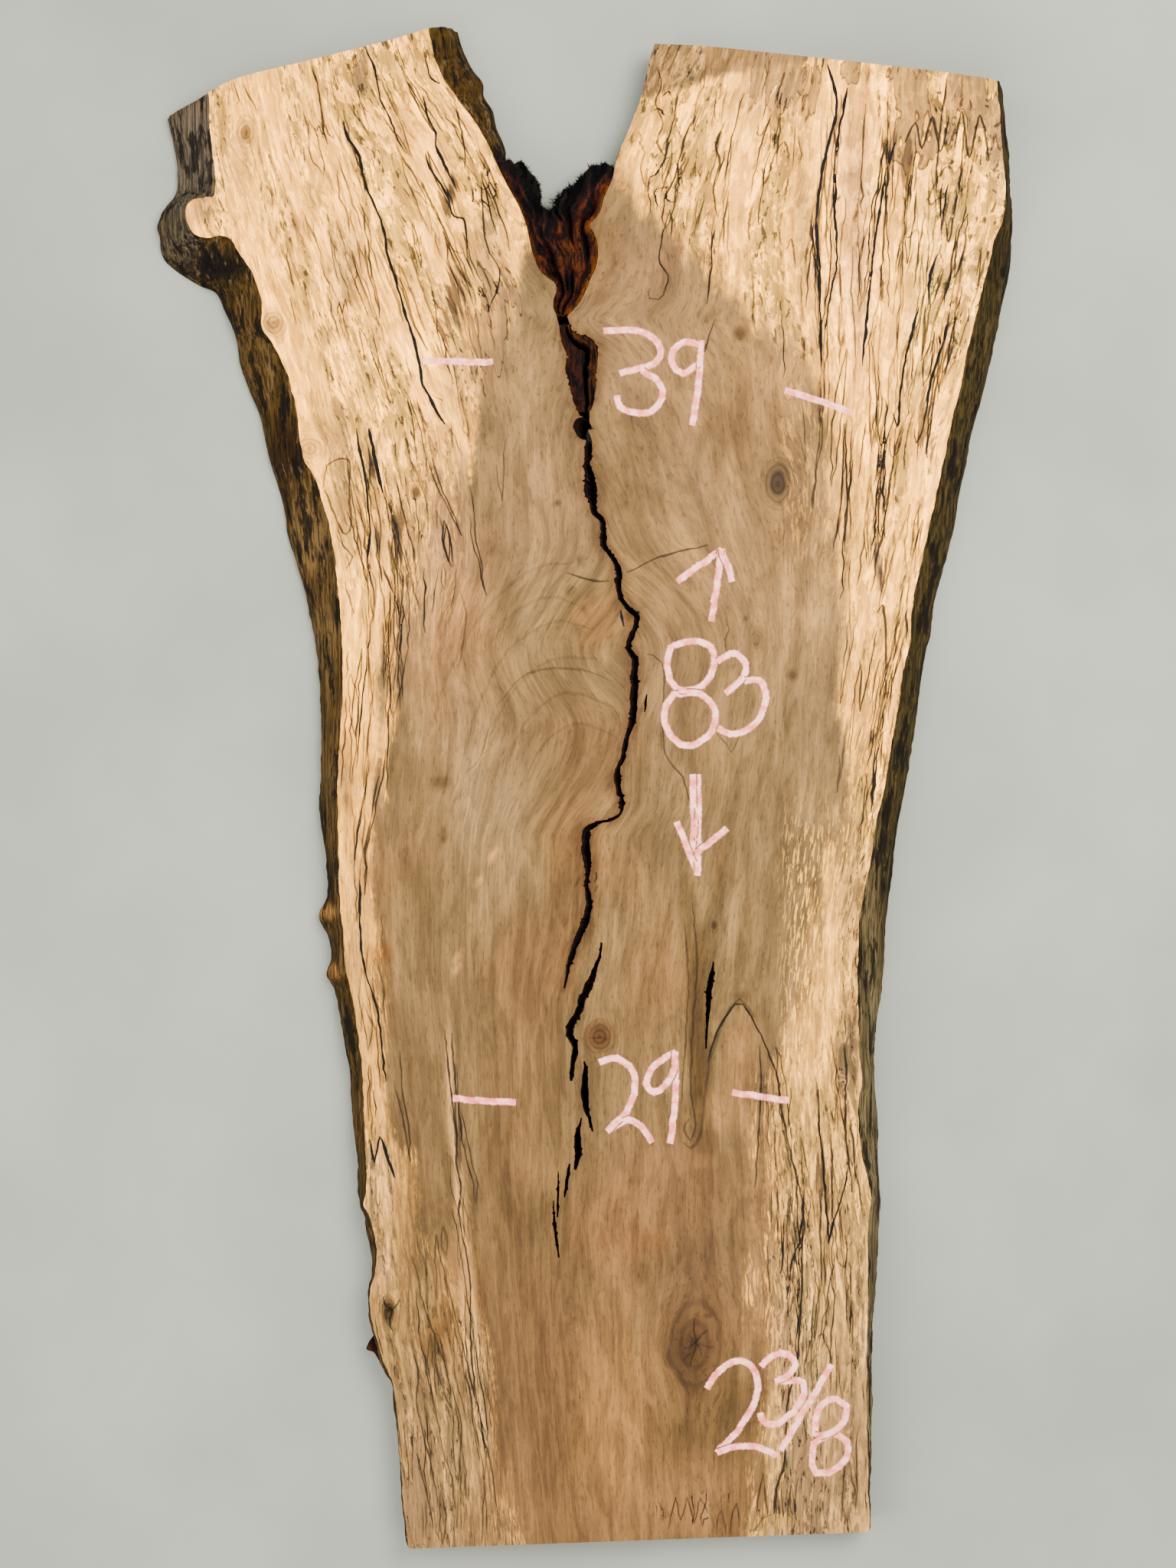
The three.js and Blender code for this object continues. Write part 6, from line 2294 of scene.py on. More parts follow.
@dataclass
class Effects:
    """The effects that several finishes share."""

    fibre: bpy.types.NodeTree = field(init=False)
    bands: bpy.types.NodeTree = field(init=False)
    flecks: bpy.types.NodeTree = field(init=False)
    contours: bpy.types.NodeTree = field(init=False)
    uneven: bpy.types.NodeTree = field(init=False)
    line: bpy.types.NodeTree = field(init=False)

    def __post_init__(self) -> None:
        """Make each group once."""
        self.fibre = shared_group("Wood fibre", {"Grain": "vector"}, ("Shade", "Height"), draw_fibre)
        year_inputs = {"Grain": "vector", "Year": 0.009}
        self.bands = shared_group("Year rings", year_inputs, ("Band", "Line"), draw_bands)
        spread = {"Grain": "vector", "Across": 300.0, "Along": 70.0, "Seed": 0.0}
        fleck_inputs = {**spread, "Least": 0.5, "Soft": 0.1}
        self.flecks = shared_group("Flecks", fleck_inputs, ("Mask",), draw_flecks)
        contour_inputs = {**spread, "Across": 40.0, "Along": 9.0, "Level": 0.5, "Width": 0.0008}
        self.contours = shared_group("Zone contours", contour_inputs, ("Mask",), draw_contours)
        self.uneven = shared_group("Unevenness", {"Grain": "vector"}, ("Stray", "Thick"), draw_uneven)
        line_inputs = {"Line": "vector", "Stray": 0.0, "Thick": 1.0}
        self.line = shared_group("Drawn line", line_inputs, ("Core", "Halo"), draw_line)


def new_material(name: str) -> tuple[bpy.types.Material, Graph]:
    """Make an empty material and the graph that draws it.

    Args:
        name: Its name.

    Returns:
        The material and its graph.
    """
    material = bpy.data.materials.new(name)
    material.use_nodes = True
    return material, Graph(material.node_tree)


class Fleck(Enum):
    """Sizes of flecks: seed, how fine across and along the grain, their least level and softness."""

    FINE = (1.0, 230.0, 40.0, 0.51, 0.04)
    COARSE = (2.0, 90.0, 17.0, 0.5, 0.04)
    LIGHT = (3.0, 190.0, 24.0, 0.5, 0.04)
    DASH = (4.0, 330.0, 44.0, 0.588, 0.03)
    STRIP = (7.0, 26.0, 1.6, 0.42, 0.16)
    PIN = (9.0, 430.0, 330.0, 0.68, 0.02)
    SHADE = (11.0, 16.0, 2.2, 0.42, 0.2)
    STREAK = (13.0, 300.0, 22.0, 0.5, 0.14)
    PORE = (14.0, 560.0, 76.0, 0.57, 0.06)
    DAB = (15.0, 430.0, 36.0, 0.54, 0.04)


class Vein(Enum):
    """Sorts of zone contours: seed, how fine across and along the grain, level and width."""

    LONG = (5.0, 52.0, 4.2, 0.5, 0.0009)
    CURLED = (8.0, 120.0, 24.0, 0.5, 0.0009)


@dataclass(frozen=True)
class SawnFace:
    """The sawn face of spalted maple, with its drawn lines and chalk where they are kept."""

    name: str
    marked: bool = True
    tan: Colour = (0.39, 0.445, 0.53)
    brown: Colour = (0.15, 0.18, 0.22)
    warm: Colour = (0.6, 0.58, 0.5)
    pale: Colour = paint(248, 219, 166)
    lighter: Colour = (1.5, 1.55, 1.5)
    flat_tan: Colour = paint(184, 151, 113)
    grey: Colour = paint(92, 76, 64)
    dark_line: Colour = paint(40, 29, 26)
    core: Colour = paint(48, 30, 18)
    chalk: Colour = paint(250, 200, 196)
    chalk_pale: Colour = paint(250, 218, 214)

    def build(self, effects: Effects) -> bpy.types.Material:
        """Draw the finish.

        Args:
            effects: The shared effects.

        Returns:
            The material.
        """
        material, graph = new_material(self.name)
        grain = graph.stored("grain")
        mottle, crowd, streaks = graph.parts(graph.stored("figure"))
        far, core, rings = graph.parts(graph.stored("knot"))
        tan_near, grey_near, curl_near = graph.parts(graph.stored("stain"))
        heart = graph.math("SUBTRACT", 1.0, mottle)
        years = graph.use(effects.bands, Grain=grain, Year=0.0085)
        fibre = graph.use(effects.fibre, Grain=grain)

        def flecks(kind: Fleck) -> Value:
            """Give one size of flecks along the grain."""
            values = dict(zip(("Seed", "Across", "Along", "Least", "Soft"), kind.value))
            return graph.use(effects.flecks, Grain=grain, **values)["Mask"]

        silk = graph.ease(graph.noise(graph.scaled(grain, 62, 12, 1), 4, 0.62, 0.6), 0.34, 0.66)
        colour = graph.stored("tone", colour=True)
        calm, lively = graph.times(colour, silk, 0.9, 1.08), graph.times(colour, silk, 0.8, 1.23)
        colour = graph.mix(heart, calm, lively)
        colour = graph.times(colour, years["Band"], 0.86, 1.14)
        colour = graph.tinted(colour, graph.product(years["Line"], heart, 0.14), self.warm)
        for kind, share in ((Fleck.SHADE, 0.5), (Fleck.STREAK, 0.45), (Fleck.PORE, 0.8)):
            colour = graph.tinted(colour, graph.product(flecks(kind), heart, share), self.warm)
        strip = graph.ease(flecks(Fleck.STRIP), 0.0, 1.0, 0.3, 1.0)
        either = graph.math("MAXIMUM", flecks(Fleck.FINE), flecks(Fleck.COARSE))
        speckle = graph.product(either, graph.ease(mottle, 0.1, 1.0), strip)
        colour = graph.tinted(colour, speckle, self.tan)
        colour = graph.tinted(colour, graph.product(flecks(Fleck.LIGHT), mottle), self.lighter)
        colour = graph.mix(graph.product(flecks(Fleck.DAB), streaks, 0.75), colour, self.pale)
        colour, rim = self._stained(graph, colour, grain, tan_near, grey_near)
        dashes = graph.product(flecks(Fleck.DASH), graph.ease(mottle, 0.0, 1.0, 0.3, 1.0), strip)
        colour = graph.tinted(colour, dashes, self.brown)
        colour = self._knots(graph, colour, far, core, rings)
        pins = graph.product(flecks(Fleck.PIN), graph.ease(curl_near, 0.3, 0.6), mottle)
        colour = graph.mix(graph.math("MAXIMUM", pins, rim), colour, self.dark_line)
        curled = graph.product(graph.ease(curl_near, 0.45, 0.7), 1.4)
        curled = graph.math("MAXIMUM", curled, graph.product(crowd, 0.12))
        for kind, density in ((Vein.LONG, crowd), (Vein.CURLED, curled)):
            values = dict(zip(("Seed", "Across", "Along", "Level", "Width"), kind.value))
            veins = graph.use(effects.contours, Grain=grain, **values)
            colour = graph.mix(graph.product(veins["Mask"], density, 0.85), colour, self.dark_line)
        if self.marked:
            uneven = graph.use(effects.uneven, Grain=grain)
            for layer in LINE_LAYERS:
                line = graph.use(effects.line, Line=graph.stored(layer), **uneven)
                colour = graph.tinted(colour, graph.product(line["Halo"], 0.4), self.brown)
                colour = graph.mix(line["Core"], colour, self.dark_line)
        felt = graph.ease(mottle, 0.0, 1.0, 0.45, 1.0)
        shade = graph.math("ADD", 0.5, graph.product(graph.math("SUBTRACT", fibre["Shade"], 0.5), felt))
        colour = graph.times(colour, shade, 0.7, 1.26)
        colour = self._saw_marks(graph, colour)
        roughness = graph.ease(fibre["Shade"], 0.0, 1.0, 0.66, 0.8)
        height = fibre["Height"]
        if self.marked:
            colour, height = self._chalk(graph, colour, height)
        graph.finish(colour, roughness, graph.bump(height, 0.00035, 0.6), 0.1)
        return material

    def _stained(
        self, graph: Graph, colour: Value, grain: Value, tan_near: Value, grey_near: Value
    ) -> tuple[Value, Value]:
        """Lay flat tan and grey streaks where fungi left them, and give the tan's dark rim.

        Args:
            graph: The graph that it is drawn in.
            colour: The colour so far.
            grain: The grain's own coordinates.
            tan_near: How near the tan spots are.
            grey_near: How near the grey spots are.

        Returns:
            The new colour, and the rim's mask.
        """
        fringe = graph.ease(graph.noise(graph.scaled(grain, 120, 10, 1), 3, 0.6), 0.32, 0.68)
        level = graph.math("ADD", tan_near, graph.product(graph.math("SUBTRACT", fringe, 0.5), 0.75))
        colour = graph.mix(graph.product(graph.ease(level, 0.49, 0.52), 0.75), colour, self.flat_tan)
        streak = graph.noise(graph.scaled(grain, 260, 7, 1), 3, 0.6)
        streak = graph.math("ADD", streak, graph.product(grey_near, 0.47))
        colour = graph.mix(graph.product(graph.ease(streak, 0.8, 0.87), 0.8), colour, self.grey)
        return colour, graph.product(graph.ease(level, 0.45, 0.49), graph.ease(level, 0.55, 0.51), 0.8)

    def _knots(self, graph: Graph, colour: Value, far: Value, core: Value, rings: Value) -> Value:
        """Ring the knots and darken their hearts.

        Args:
            graph: The graph that it is drawn in.
            colour: The colour so far.
            far: The distance from a knot.
            core: How dark its heart is.
            rings: How strong its rings are.

        Returns:
            The new colour.
        """
        wave = graph.math("SINE", graph.product(far, 13.0))
        ringed = graph.product(graph.ease(wave, -0.1, 0.9), rings, 0.5)
        return graph.mix(core, graph.tinted(colour, ringed, self.brown), self.core)

    def _saw_marks(self, graph: Graph, colour: Value) -> Value:
        """Lighten the face in the faint lines that the saw left across it.

        Args:
            graph: The graph that it is drawn in.
            colour: The colour so far.

        Returns:
            The new colour.
        """
        scratch = graph.noise(graph.scaled(graph.place(), 7.0, 420.0, 1.0), 2, 0.5)
        where = graph.noise(graph.scaled(graph.place(), 9.0, 5.0, 1.0), 1, 0.5)
        mask = graph.product(graph.ease(scratch, 0.58, 0.72), graph.ease(where, 0.46, 0.62), 0.1)
        return graph.tinted(colour, mask, self.lighter)

    def _chalk(self, graph: Graph, colour: Value, height: Value) -> tuple[Value, Value]:
        """Lay chalk over the face, thin where it skipped on the grain.

        Args:
            graph: The graph that it is drawn in.
            colour: The colour so far.
            height: The height.

        Returns:
            The new colour and height.
        """
        off, half, _ = graph.parts(graph.stored(CHALK_LAYER))
        place = graph.place()
        stray = graph.math("SUBTRACT", graph.noise(graph.scaled(place, 240, 240, 1), 3, 0.66), 0.5)
        edge = graph.math("ABSOLUTE", graph.math("ADD", off, graph.product(stray, 4.4)))
        body = graph.ease(edge, graph.math("ADD", half, 0.7), graph.math("SUBTRACT", half, 1.6))
        grit = graph.noise(graph.scaled(place, 1300, 900, 1), 2, 0.7)
        worn = graph.noise(graph.scaled(place, 70, 70, 1), 1, 0.5)
        cover = graph.math("ADD", grit, graph.product(graph.math("SUBTRACT", worn, 0.5), 0.5))
        mask = graph.product(body, graph.ease(cover, 0.32, 0.5, 0.35, 1.0), graph.ease(half, 0.1, 1.0))
        raised = graph.math("ADD", height, graph.product(mask, grit, 0.8))
        shown = graph.mix(graph.ease(worn, 0.4, 0.6), self.chalk, self.chalk_pale)
        return graph.mix(mask, colour, shown), raised


@dataclass(frozen=True)
class LiveEdge:
    """The slab's bare outer edge: streaked wane with rags of dark inner bark left on it."""

    name: str
    bark: Colour
    bare: Colour
    rags: float = 0.5

    def build(self, effects: Effects) -> bpy.types.Material:
        """Draw the finish.

        Args:
            effects: The shared effects, which this finish does not use.

        Returns:
            The material.
        """
        material, graph = new_material(self.name)
        place = graph.place()
        colour = graph.stored("edge_tone", colour=True)
        streak = graph.noise(graph.scaled(place, 300, 11, 300), 4, 0.62)
        broad = graph.noise(graph.scaled(place, 75, 7, 75), 3, 0.55)
        colour = graph.times(colour, graph.ease(streak, 0.36, 0.66), 0.4, 1.6)
        bare = graph.product(graph.ease(broad, 0.52, 0.64), graph.ease(streak, 0.42, 0.56), 0.75)
        colour = graph.mix(bare, colour, self.bare)
        rag = graph.noise(graph.moved(graph.scaled(place, 52, 13, 60), (3.0, 1.0, 7.0)), 4, 0.66)
        rag = graph.ease(rag, self.rags, self.rags + 0.07)
        colour = graph.mix(graph.product(rag, 0.85), colour, self.bark)
        fine = graph.noise(graph.scaled(place, 900, 60, 900), 3, 0.6)
        colour = graph.times(colour, fine, 0.72, 1.25)
        relief = graph.math("ADD", graph.product(streak, 0.7), graph.product(rag, 0.5))
        relief = graph.math("ADD", relief, graph.product(fine, 0.3))
        graph.finish(colour, graph.ease(streak, 0.3, 0.7, 0.74, 0.9), graph.bump(relief, 0.0022, 0.9), 0.06)
        return material


@dataclass(frozen=True)
class SawnEnd:
    """End grain where the limbs and the foot were sawn through."""

    name: str = "sawn_end"

    def build(self, effects: Effects) -> bpy.types.Material:
        """Draw the finish.

        Args:
            effects: The shared effects, which this finish does not use.

        Returns:
            The material.
        """
        material, graph = new_material(self.name)
        place = graph.place()
        colour = graph.stored("edge_tone", colour=True)
        wavy = graph.noise(graph.scaled(place, 9, 9, 14), 2, 0.5)
        arc = graph.math("ADD", graph.parts(place)[2], graph.product(wavy, 0.03))
        ring = graph.math("FRACT", graph.math("DIVIDE", arc, 0.006))
        colour = graph.times(colour, graph.ease(ring, 0.5, 1.0), 1.05, 0.82)
        pores = graph.noise(graph.scaled(place, 900, 900, 900), 2, 0.6)
        kerf = graph.noise(graph.scaled(place, 500, 500, 14), 2, 0.5)
        colour = graph.times(colour, pores, 0.75, 1.2)
        colour = graph.times(colour, kerf, 0.85, 1.12)
        graph.finish(colour, 0.85, graph.bump(graph.math("ADD", pores, kerf), 0.0006, 0.8))
        return material


@dataclass(frozen=True)
class Crevice:
    """The torn walls of cracks: near black with amber crumbs; the near black is partly the torn wood's own
    dark colour and partly painted shade of the cracks' depth.
    """

    name: str = "crack_wall"
    amber: Colour = paint(168, 104, 48)

    def build(self, effects: Effects) -> bpy.types.Material:
        """Draw the finish.

        Args:
            effects: The shared effects, which this finish does not use.

        Returns:
            The material.
        """
        material, graph = new_material(self.name)
        place = graph.place()
        colour = graph.stored("edge_tone", colour=True)
        crumb = graph.noise(graph.scaled(place, 210, 110, 210), 4, 0.68)
        shade = graph.noise(graph.scaled(place, 90, 40, 300), 3, 0.6)
        colour = graph.times(colour, shade, 0.5, 1.4)
        colour = graph.mix(graph.product(graph.ease(crumb, 0.56, 0.68), 0.75), colour, self.amber)
        graph.finish(colour, 0.9, graph.bump(crumb, 0.003, 0.9))
        return material


@dataclass(frozen=True)
class InnerBark:
    """Old bark held in the wood: stored tones, broken up by ridges and crumbs."""

    name: str = "inner_bark"
    stored: str = "tone"
    ridge: Colour = paint(104, 58, 22)
    ridges: float = 0.5

    def build(self, effects: Effects) -> bpy.types.Material:
        """Draw the finish.

        Args:
            effects: The shared effects, which this finish does not use.

        Returns:
            The material.
        """
        material, graph = new_material(self.name)
        place = graph.place()
        cloud = graph.noise(graph.scaled(place, 300, 75, 300), 5, 0.68, 0.5)
        fine = graph.noise(graph.scaled(place, 800, 260, 800), 3, 0.6)
        colour = graph.stored(self.stored, colour=True)
        colour = graph.times(colour, graph.ease(cloud, 0.4, 0.58), 0.3, 1.9)
        colour = graph.mix(graph.product(graph.ease(cloud, 0.57, 0.68), self.ridges), colour, self.ridge)
        colour = graph.times(colour, fine, 0.55, 1.45)
        relief = graph.math("ADD", cloud, graph.product(fine, 0.3))
        graph.finish(colour, graph.ease(cloud, 0.3, 0.7, 0.75, 0.92), graph.bump(relief, 0.0035, 0.8), 0.06)
        return material


def wall_points(stations: Stations, drawing: Drawing, step: float = 0.004) -> np.ndarray:
    """Give points along a wall of the fork, from its first station to its last."""
    table = np.array(stations, float)[:, :2]
    return drawing.plan(spline(table, stepped(table * GRID, step, followed=False)))


@dataclass
class HeldBark:
    """A lump of old bark: an outline, a rough top over it, walls and a flat foot."""

    drawing: Drawing
    name: str = "bark"
    step: float = 0.0021
    foot: float = 0.003
    rim_step: float = 0.001
    clear: float = 0.0005
    levels: tuple[float, ...] = (0.25, 0.5, 0.75)

    def loop(self) -> np.ndarray:
        """Give the outline in metres, with the bark on its right."""
        raise NotImplementedError

    def top(self, plan: np.ndarray) -> tuple[np.ndarray, np.ndarray]:
        """Give the top's height and its colour at points."""
        raise NotImplementedError

    def build(self, material: bpy.types.Material) -> bpy.types.Object:
        """Make the piece's mesh and store its colour, darkened as painted shade on its walls and foot.

        Args:
            material: Its finish.

        Returns:
            The object.
        """
        loop = self.loop()
        inner = hexes(loop.min(0), loop.max(0), self.step)
        inner = inner[distances(near_tree(filled(loop, self.rim_step)), inner) > RIM_GAP * self.step]
        plan, triangles, number, _ = triangulated([loop], None, inner)
        height, tone = self.top(plan)
        count, rim = len(plan), len(loop)
        points = [np.column_stack([plan, height]), np.column_stack([plan, np.full(count, self.foot)])]
        # The foot's colour is the top's at six tenths: painted shade under the piece.
        tones = [tone, tone * 0.6]
        rows, total = [number + count], 2 * count
        for level in self.levels:
            rim_height = self.foot + (height[number] - self.foot) * level
            where = np.column_stack([loop, rim_height])
            inward = 0.0012 * NOISE.layers(where, 120, count=2)
            middle = loop.mean(0) - loop
            middle = middle / np.linalg.norm(middle, axis=1)[:, None]
            plan = loop + middle * (self.clear + np.abs(inward))[:, None]
            points.append(np.column_stack([plan, rim_height]))
            # The walls' colour is the rim's at eight tenths: painted shade on the piece's sides.
            tones.append(tone[number] * 0.8)
            rows.append(np.arange(rim) + total)
            total += rim
        rows.append(number)
        faces = [triangles, triangles[:, ::-1] + count]
        faces += [SlabWood.quads(upper, lower) for lower, upper in itertools.pairwise(rows)]
        made = made_mesh(self.name, np.vstack(points), np.vstack(faces), [material], sharp=60)
        give(made, "tone", np.vstack(tones), colour=True)
        return made


@dataclass
class ForkBark(HeldBark):
    """The wedge of bark between the limbs: ridges that run down into the throat, and amber rims."""

    name: str = "fork_bark_wedge"
    sink: float = 0.0065
    ridge: float = 0.0062
    cleft: float = 0.014
    near_step: float = 0.001
    deep: Colour = paint(50, 18, 6)
    body: Colour = paint(88, 46, 15)
    amber: Colour = paint(146, 88, 36)
    black: Colour = paint(38, 11, 5)
    fibre: Colour = paint(30, 10, 5)
    fibre_seed: int = 23
    fibre_count: int = 2600
    fibre_steps: int = 4
    fibre_spacing: float = 0.0008
    fibre_length: tuple[float, float] = (0.004, 0.0125)
    fibre_width: tuple[float, float] = (0.00035, 0.0008)

    def loop(self) -> np.ndarray:
        """Give the outline: the shaggy top edge, then down the right wall and up the left.

        Returns:
            The outline.
        """
        top = wall_points(FORK_BARK_TOP, self.drawing, 0.0025)[::-1]
        shag = 0.0016 * NOISE.layers(top, 190, count=3)
        top = top + turned_left(np.gradient(top, axis=0)) * shag[:, None]
        right = wall_points(FORK_RIGHT_WALL, self.drawing)[::-1]
        left = wall_points(FORK_LEFT_WALL, self.drawing)[::-1]
        return np.vstack([top[1:-1], right[:-1], left[:-1]])

    def shares(self, plan: np.ndarray) -> tuple[np.ndarray, np.ndarray, np.ndarray]:
        """Give how far across the wedge points are, how near a wall, and how near the top edge."""
        left, right, top = (
            distances(near_tree(wall_points(stations, self.drawing, self.near_step)), plan)
            for stations in (FORK_LEFT_WALL, FORK_RIGHT_WALL, FORK_BARK_TOP)
        )
        return (left - right) / np.maximum(left + right, LEAST_SHARE), np.minimum(left, right), top

    def top(self, plan: np.ndarray) -> tuple[np.ndarray, np.ndarray]:
        """Give the top's height and its colour at points.

        Args:
            plan: Points in metres.

        Returns:
            One height and one row of colour for each point.
        """
        across, rim, edge = self.shares(plan)
        lie = np.column_stack([across + 0.18 * NOISE.at(plan, 30), plan[:, 1] * 9, plan[:, 0] * 4])
        folds = NOISE.layers(lie, 4.6, 1.0, 1.0, count=2)
        crests = 1 - np.abs(NOISE.layers(lie + 5.0, 3.1, 1.3, 1.0, count=3))
        crumbs = NOISE.layers(plan, 150, 85, count=3)
        shaggy = smooth(0.022, 0.002, edge) * smooth(0.0, 0.01, rim)
        rims = np.exp(-((rim / 0.0045) ** 2))
        height = THICKNESS - self.sink + self.ridge * (crests - 0.75) + 0.0022 * crumbs
        height = height - self.cleft * smooth(0.05, 0.55, folds) * (1 - rims)
        height = height + 0.0035 * rims + 0.004 * shaggy * NOISE.at(plan, 120)
        height = np.minimum(height, THICKNESS - UNDER_FACE)
        colour = towards(self.deep, self.body, smooth(-0.2, 0.6, crumbs + crests - 0.6))
        warm = smooth(0.70, 0.98, crests) * smooth(0.2, -0.1, folds)
        colour = towards(colour, self.amber, 0.4 * warm)
        east = smooth(-0.2, 0.5, across)
        glow = rims * (0.35 + 0.65 * east) * smooth(0.004, 0.03, edge)
        colour = towards(colour, self.amber, glow)
        return height, towards(colour, self.black, 0.92 * smooth(0.034, 0.006, edge))

    def fibres(self, material: bpy.types.Material) -> bpy.types.Object:
        """Make the dark curly fibres that stand on the wedge's shaggy top.

        Args:
            material: Their finish.

        Returns:
            One mesh of thin three-sided strands.
        """
        rng, count, steps = np.random.default_rng(self.fibre_seed), self.fibre_count, self.fibre_steps
        top = wall_points(FORK_BARK_TOP, self.drawing, self.fibre_spacing)[::-1]
        out = turned_left(np.gradient(top, axis=0))
        pick = rng.integers(4, len(top) - 4, count)
        inset = rng.exponential(0.006, count)
        tufted = 0.45 + 0.55 * smooth(-0.1, 0.5, NOISE.at(top[pick], 75))
        rise = rng.uniform(0.02, THICKNESS - 0.006, count)
        start = np.column_stack([top[pick] - out[pick] * inset[:, None], rise])
        high = inset > 0.0015
        start[high, 2] = THICKNESS - self.sink - rng.uniform(0, 0.006, high.sum())
        lean = rng.normal(0, 0.55, (count, 3))
        heading = np.column_stack([out[pick], np.where(high, 0.25, 0.05)]) + lean
        heading = heading / np.linalg.norm(heading, axis=1)[:, None]
        length = rng.uniform(*self.fibre_length, count) * tufted
        curl = rng.normal(0, 0.9, (count, 3))
        width = rng.uniform(*self.fibre_width, count)
        points, faces = [], []
        for step in range(steps + 1):
            share = step / steps
            centre = start + heading * (length * share)[:, None] + curl * (length * share**2 * 0.5)[:, None]
            centre[:, 2] = np.clip(centre[:, 2], 0.004, THICKNESS - 0.0005)
            first = turned_left(heading[:, :2])
            first = np.column_stack([first, np.zeros(count)])
            second = np.cross(heading, first)
            for side in range(3):
                turn = side * math.tau / 3
                reach = (width * (1 - 0.85 * share))[:, None]
                points.append(centre + (first * math.cos(turn) + second * math.sin(turn)) * reach)
        strand = np.arange(count)
        for step in range(steps):
            for side in range(3):
                here, there = step * 3 + side, step * 3 + (side + 1) % 3
                a, b = strand + here * count, strand + there * count
                c, d = a + 3 * count, b + 3 * count
                faces += [np.column_stack([a, b, d]), np.column_stack([a, d, c])]
        first, last = strand, strand + 3 * steps * count
        faces.append(np.column_stack([first + 2 * count, first + count, first]))
        faces.append(np.column_stack([last, last + count, last + 2 * count]))
        made = made_mesh("fork_bark_fibres", np.vstack(points), np.vstack(faces), [material], sharp=180)
        give(made, "tone", np.tile(self.fibre, (len(made.data.vertices), 1)), colour=True)
        return made


@dataclass
class SeamBark(HeldBark):
    """The bark in the pocket under the fork: a broad dark lip, a cleft darkened to black with painted shade,
    and a thin amber lip.
    """

    name: str = "seam_bark_lips"
    step: float = 0.0016
    cleft_at: float = 0.28
    cleft_depth: float = 0.036
    cleft_width: float = 0.2
    sink: float = 0.005
    wall_step: float = 0.0042
    wall_rough: float = 0.0008
    dark: Colour = paint(32, 14, 6)
    body: Colour = paint(82, 50, 22)
    amber: Colour = paint(116, 70, 30)

    def sides(self) -> tuple[np.ndarray, np.ndarray]:
        """Give the pocket's two walls, from its top down."""
        return crack_sides(SEAM_POCKET, self.wall_step, self.wall_rough, self.drawing)

    def loop(self) -> np.ndarray:
        """Give the outline: down the right side and up the left."""
        west, east = self.sides()
        return np.vstack([east, west[::-1]])

    def top(self, plan: np.ndarray) -> tuple[np.ndarray, np.ndarray]:
        """Give the top's height and its colour at points.

        Args:
            plan: Points in metres.

        Returns:
            One height and one row of colour for each point.
        """
        left, right = (self._away(side, plan) for side in self.sides())
        across = (left - right) / np.maximum(left + right, LEAST_SHARE)
        wander = 0.16 * NOISE.at(plan, 40) + 0.1 * NOISE.at(plan, 130)
        opening = smooth(self.cleft_width, 0.04, np.abs(across - self.cleft_at + wander))
        lumps = NOISE.layers(plan, 75, 42, count=3)
        ridges = 1 - np.abs(NOISE.layers(plan, 150, 34, count=2))
        rims = np.exp(-((np.minimum(left, right) / 0.003) ** 2))
        height = THICKNESS - self.sink + 0.003 * lumps + 0.004 * (ridges - 0.8) + 0.0025 * rims
        height = np.minimum(height, THICKNESS - UNDER_FACE) - self.cleft_depth * opening
        colour = towards(self.dark, self.body, smooth(-0.5, 0.5, lumps + ridges - 0.7))
        east_lip = smooth(self.cleft_at, 0.6, across)
        colour = towards(colour, self.amber, 0.8 * east_lip * smooth(0.5, 0.95, ridges))
        colour = towards(colour, np.array(self.amber) * 0.7, 0.5 * rims * (1 - east_lip))
        # The cleft's colour is darkened by nine tenths: painted shade in its depth.
        return height, colour * (1 - 0.9 * opening)[:, None]

    @staticmethod
    def _away(side: np.ndarray, plan: np.ndarray) -> np.ndarray:
        """Give how far points are from one wall of the pocket."""
        return distances(near_tree(spline(side, np.linspace(0, len(side) - 1, 400))), plan)


@dataclass
class BarkScale(HeldBark):
    """The loose scale of bark on the lower left edge."""

    name: str = "bark_scale_chip"
    step: float = 0.002
    foot: float = 0.016
    height: float = 0.047
    dark: Colour = paint(52, 28, 18)
    red: Colour = paint(124, 66, 34)

    def loop(self) -> np.ndarray:
        """Give the outline with the scale on its right.

        Returns:
            The outline.
        """
        points = wall_points((*BARK_SCALE_OUTLINE, BARK_SCALE_OUTLINE[0]), self.drawing, 0.003)[:-1]
        area = np.cross(points, np.roll(points, -1, 0)).sum()
        return points if area < 0 else points[::-1]

    def top(self, plan: np.ndarray) -> tuple[np.ndarray, np.ndarray]:
        """Give the top's height and its colour at points.

        Args:
            plan: Points in metres.

        Returns:
            One height and one row of colour for each point.
        """
        lumps = NOISE.layers(plan, 110, 60, count=3)
        loop_distance = distances(near_tree(filled(self.loop(), 0.0008)), plan)
        height = self.height - 0.012 * smooth(0.009, 0.0, loop_distance) + 0.0025 * (lumps - 0.8)
        return height, towards(self.dark, self.red, smooth(-0.2, 0.7, lumps))


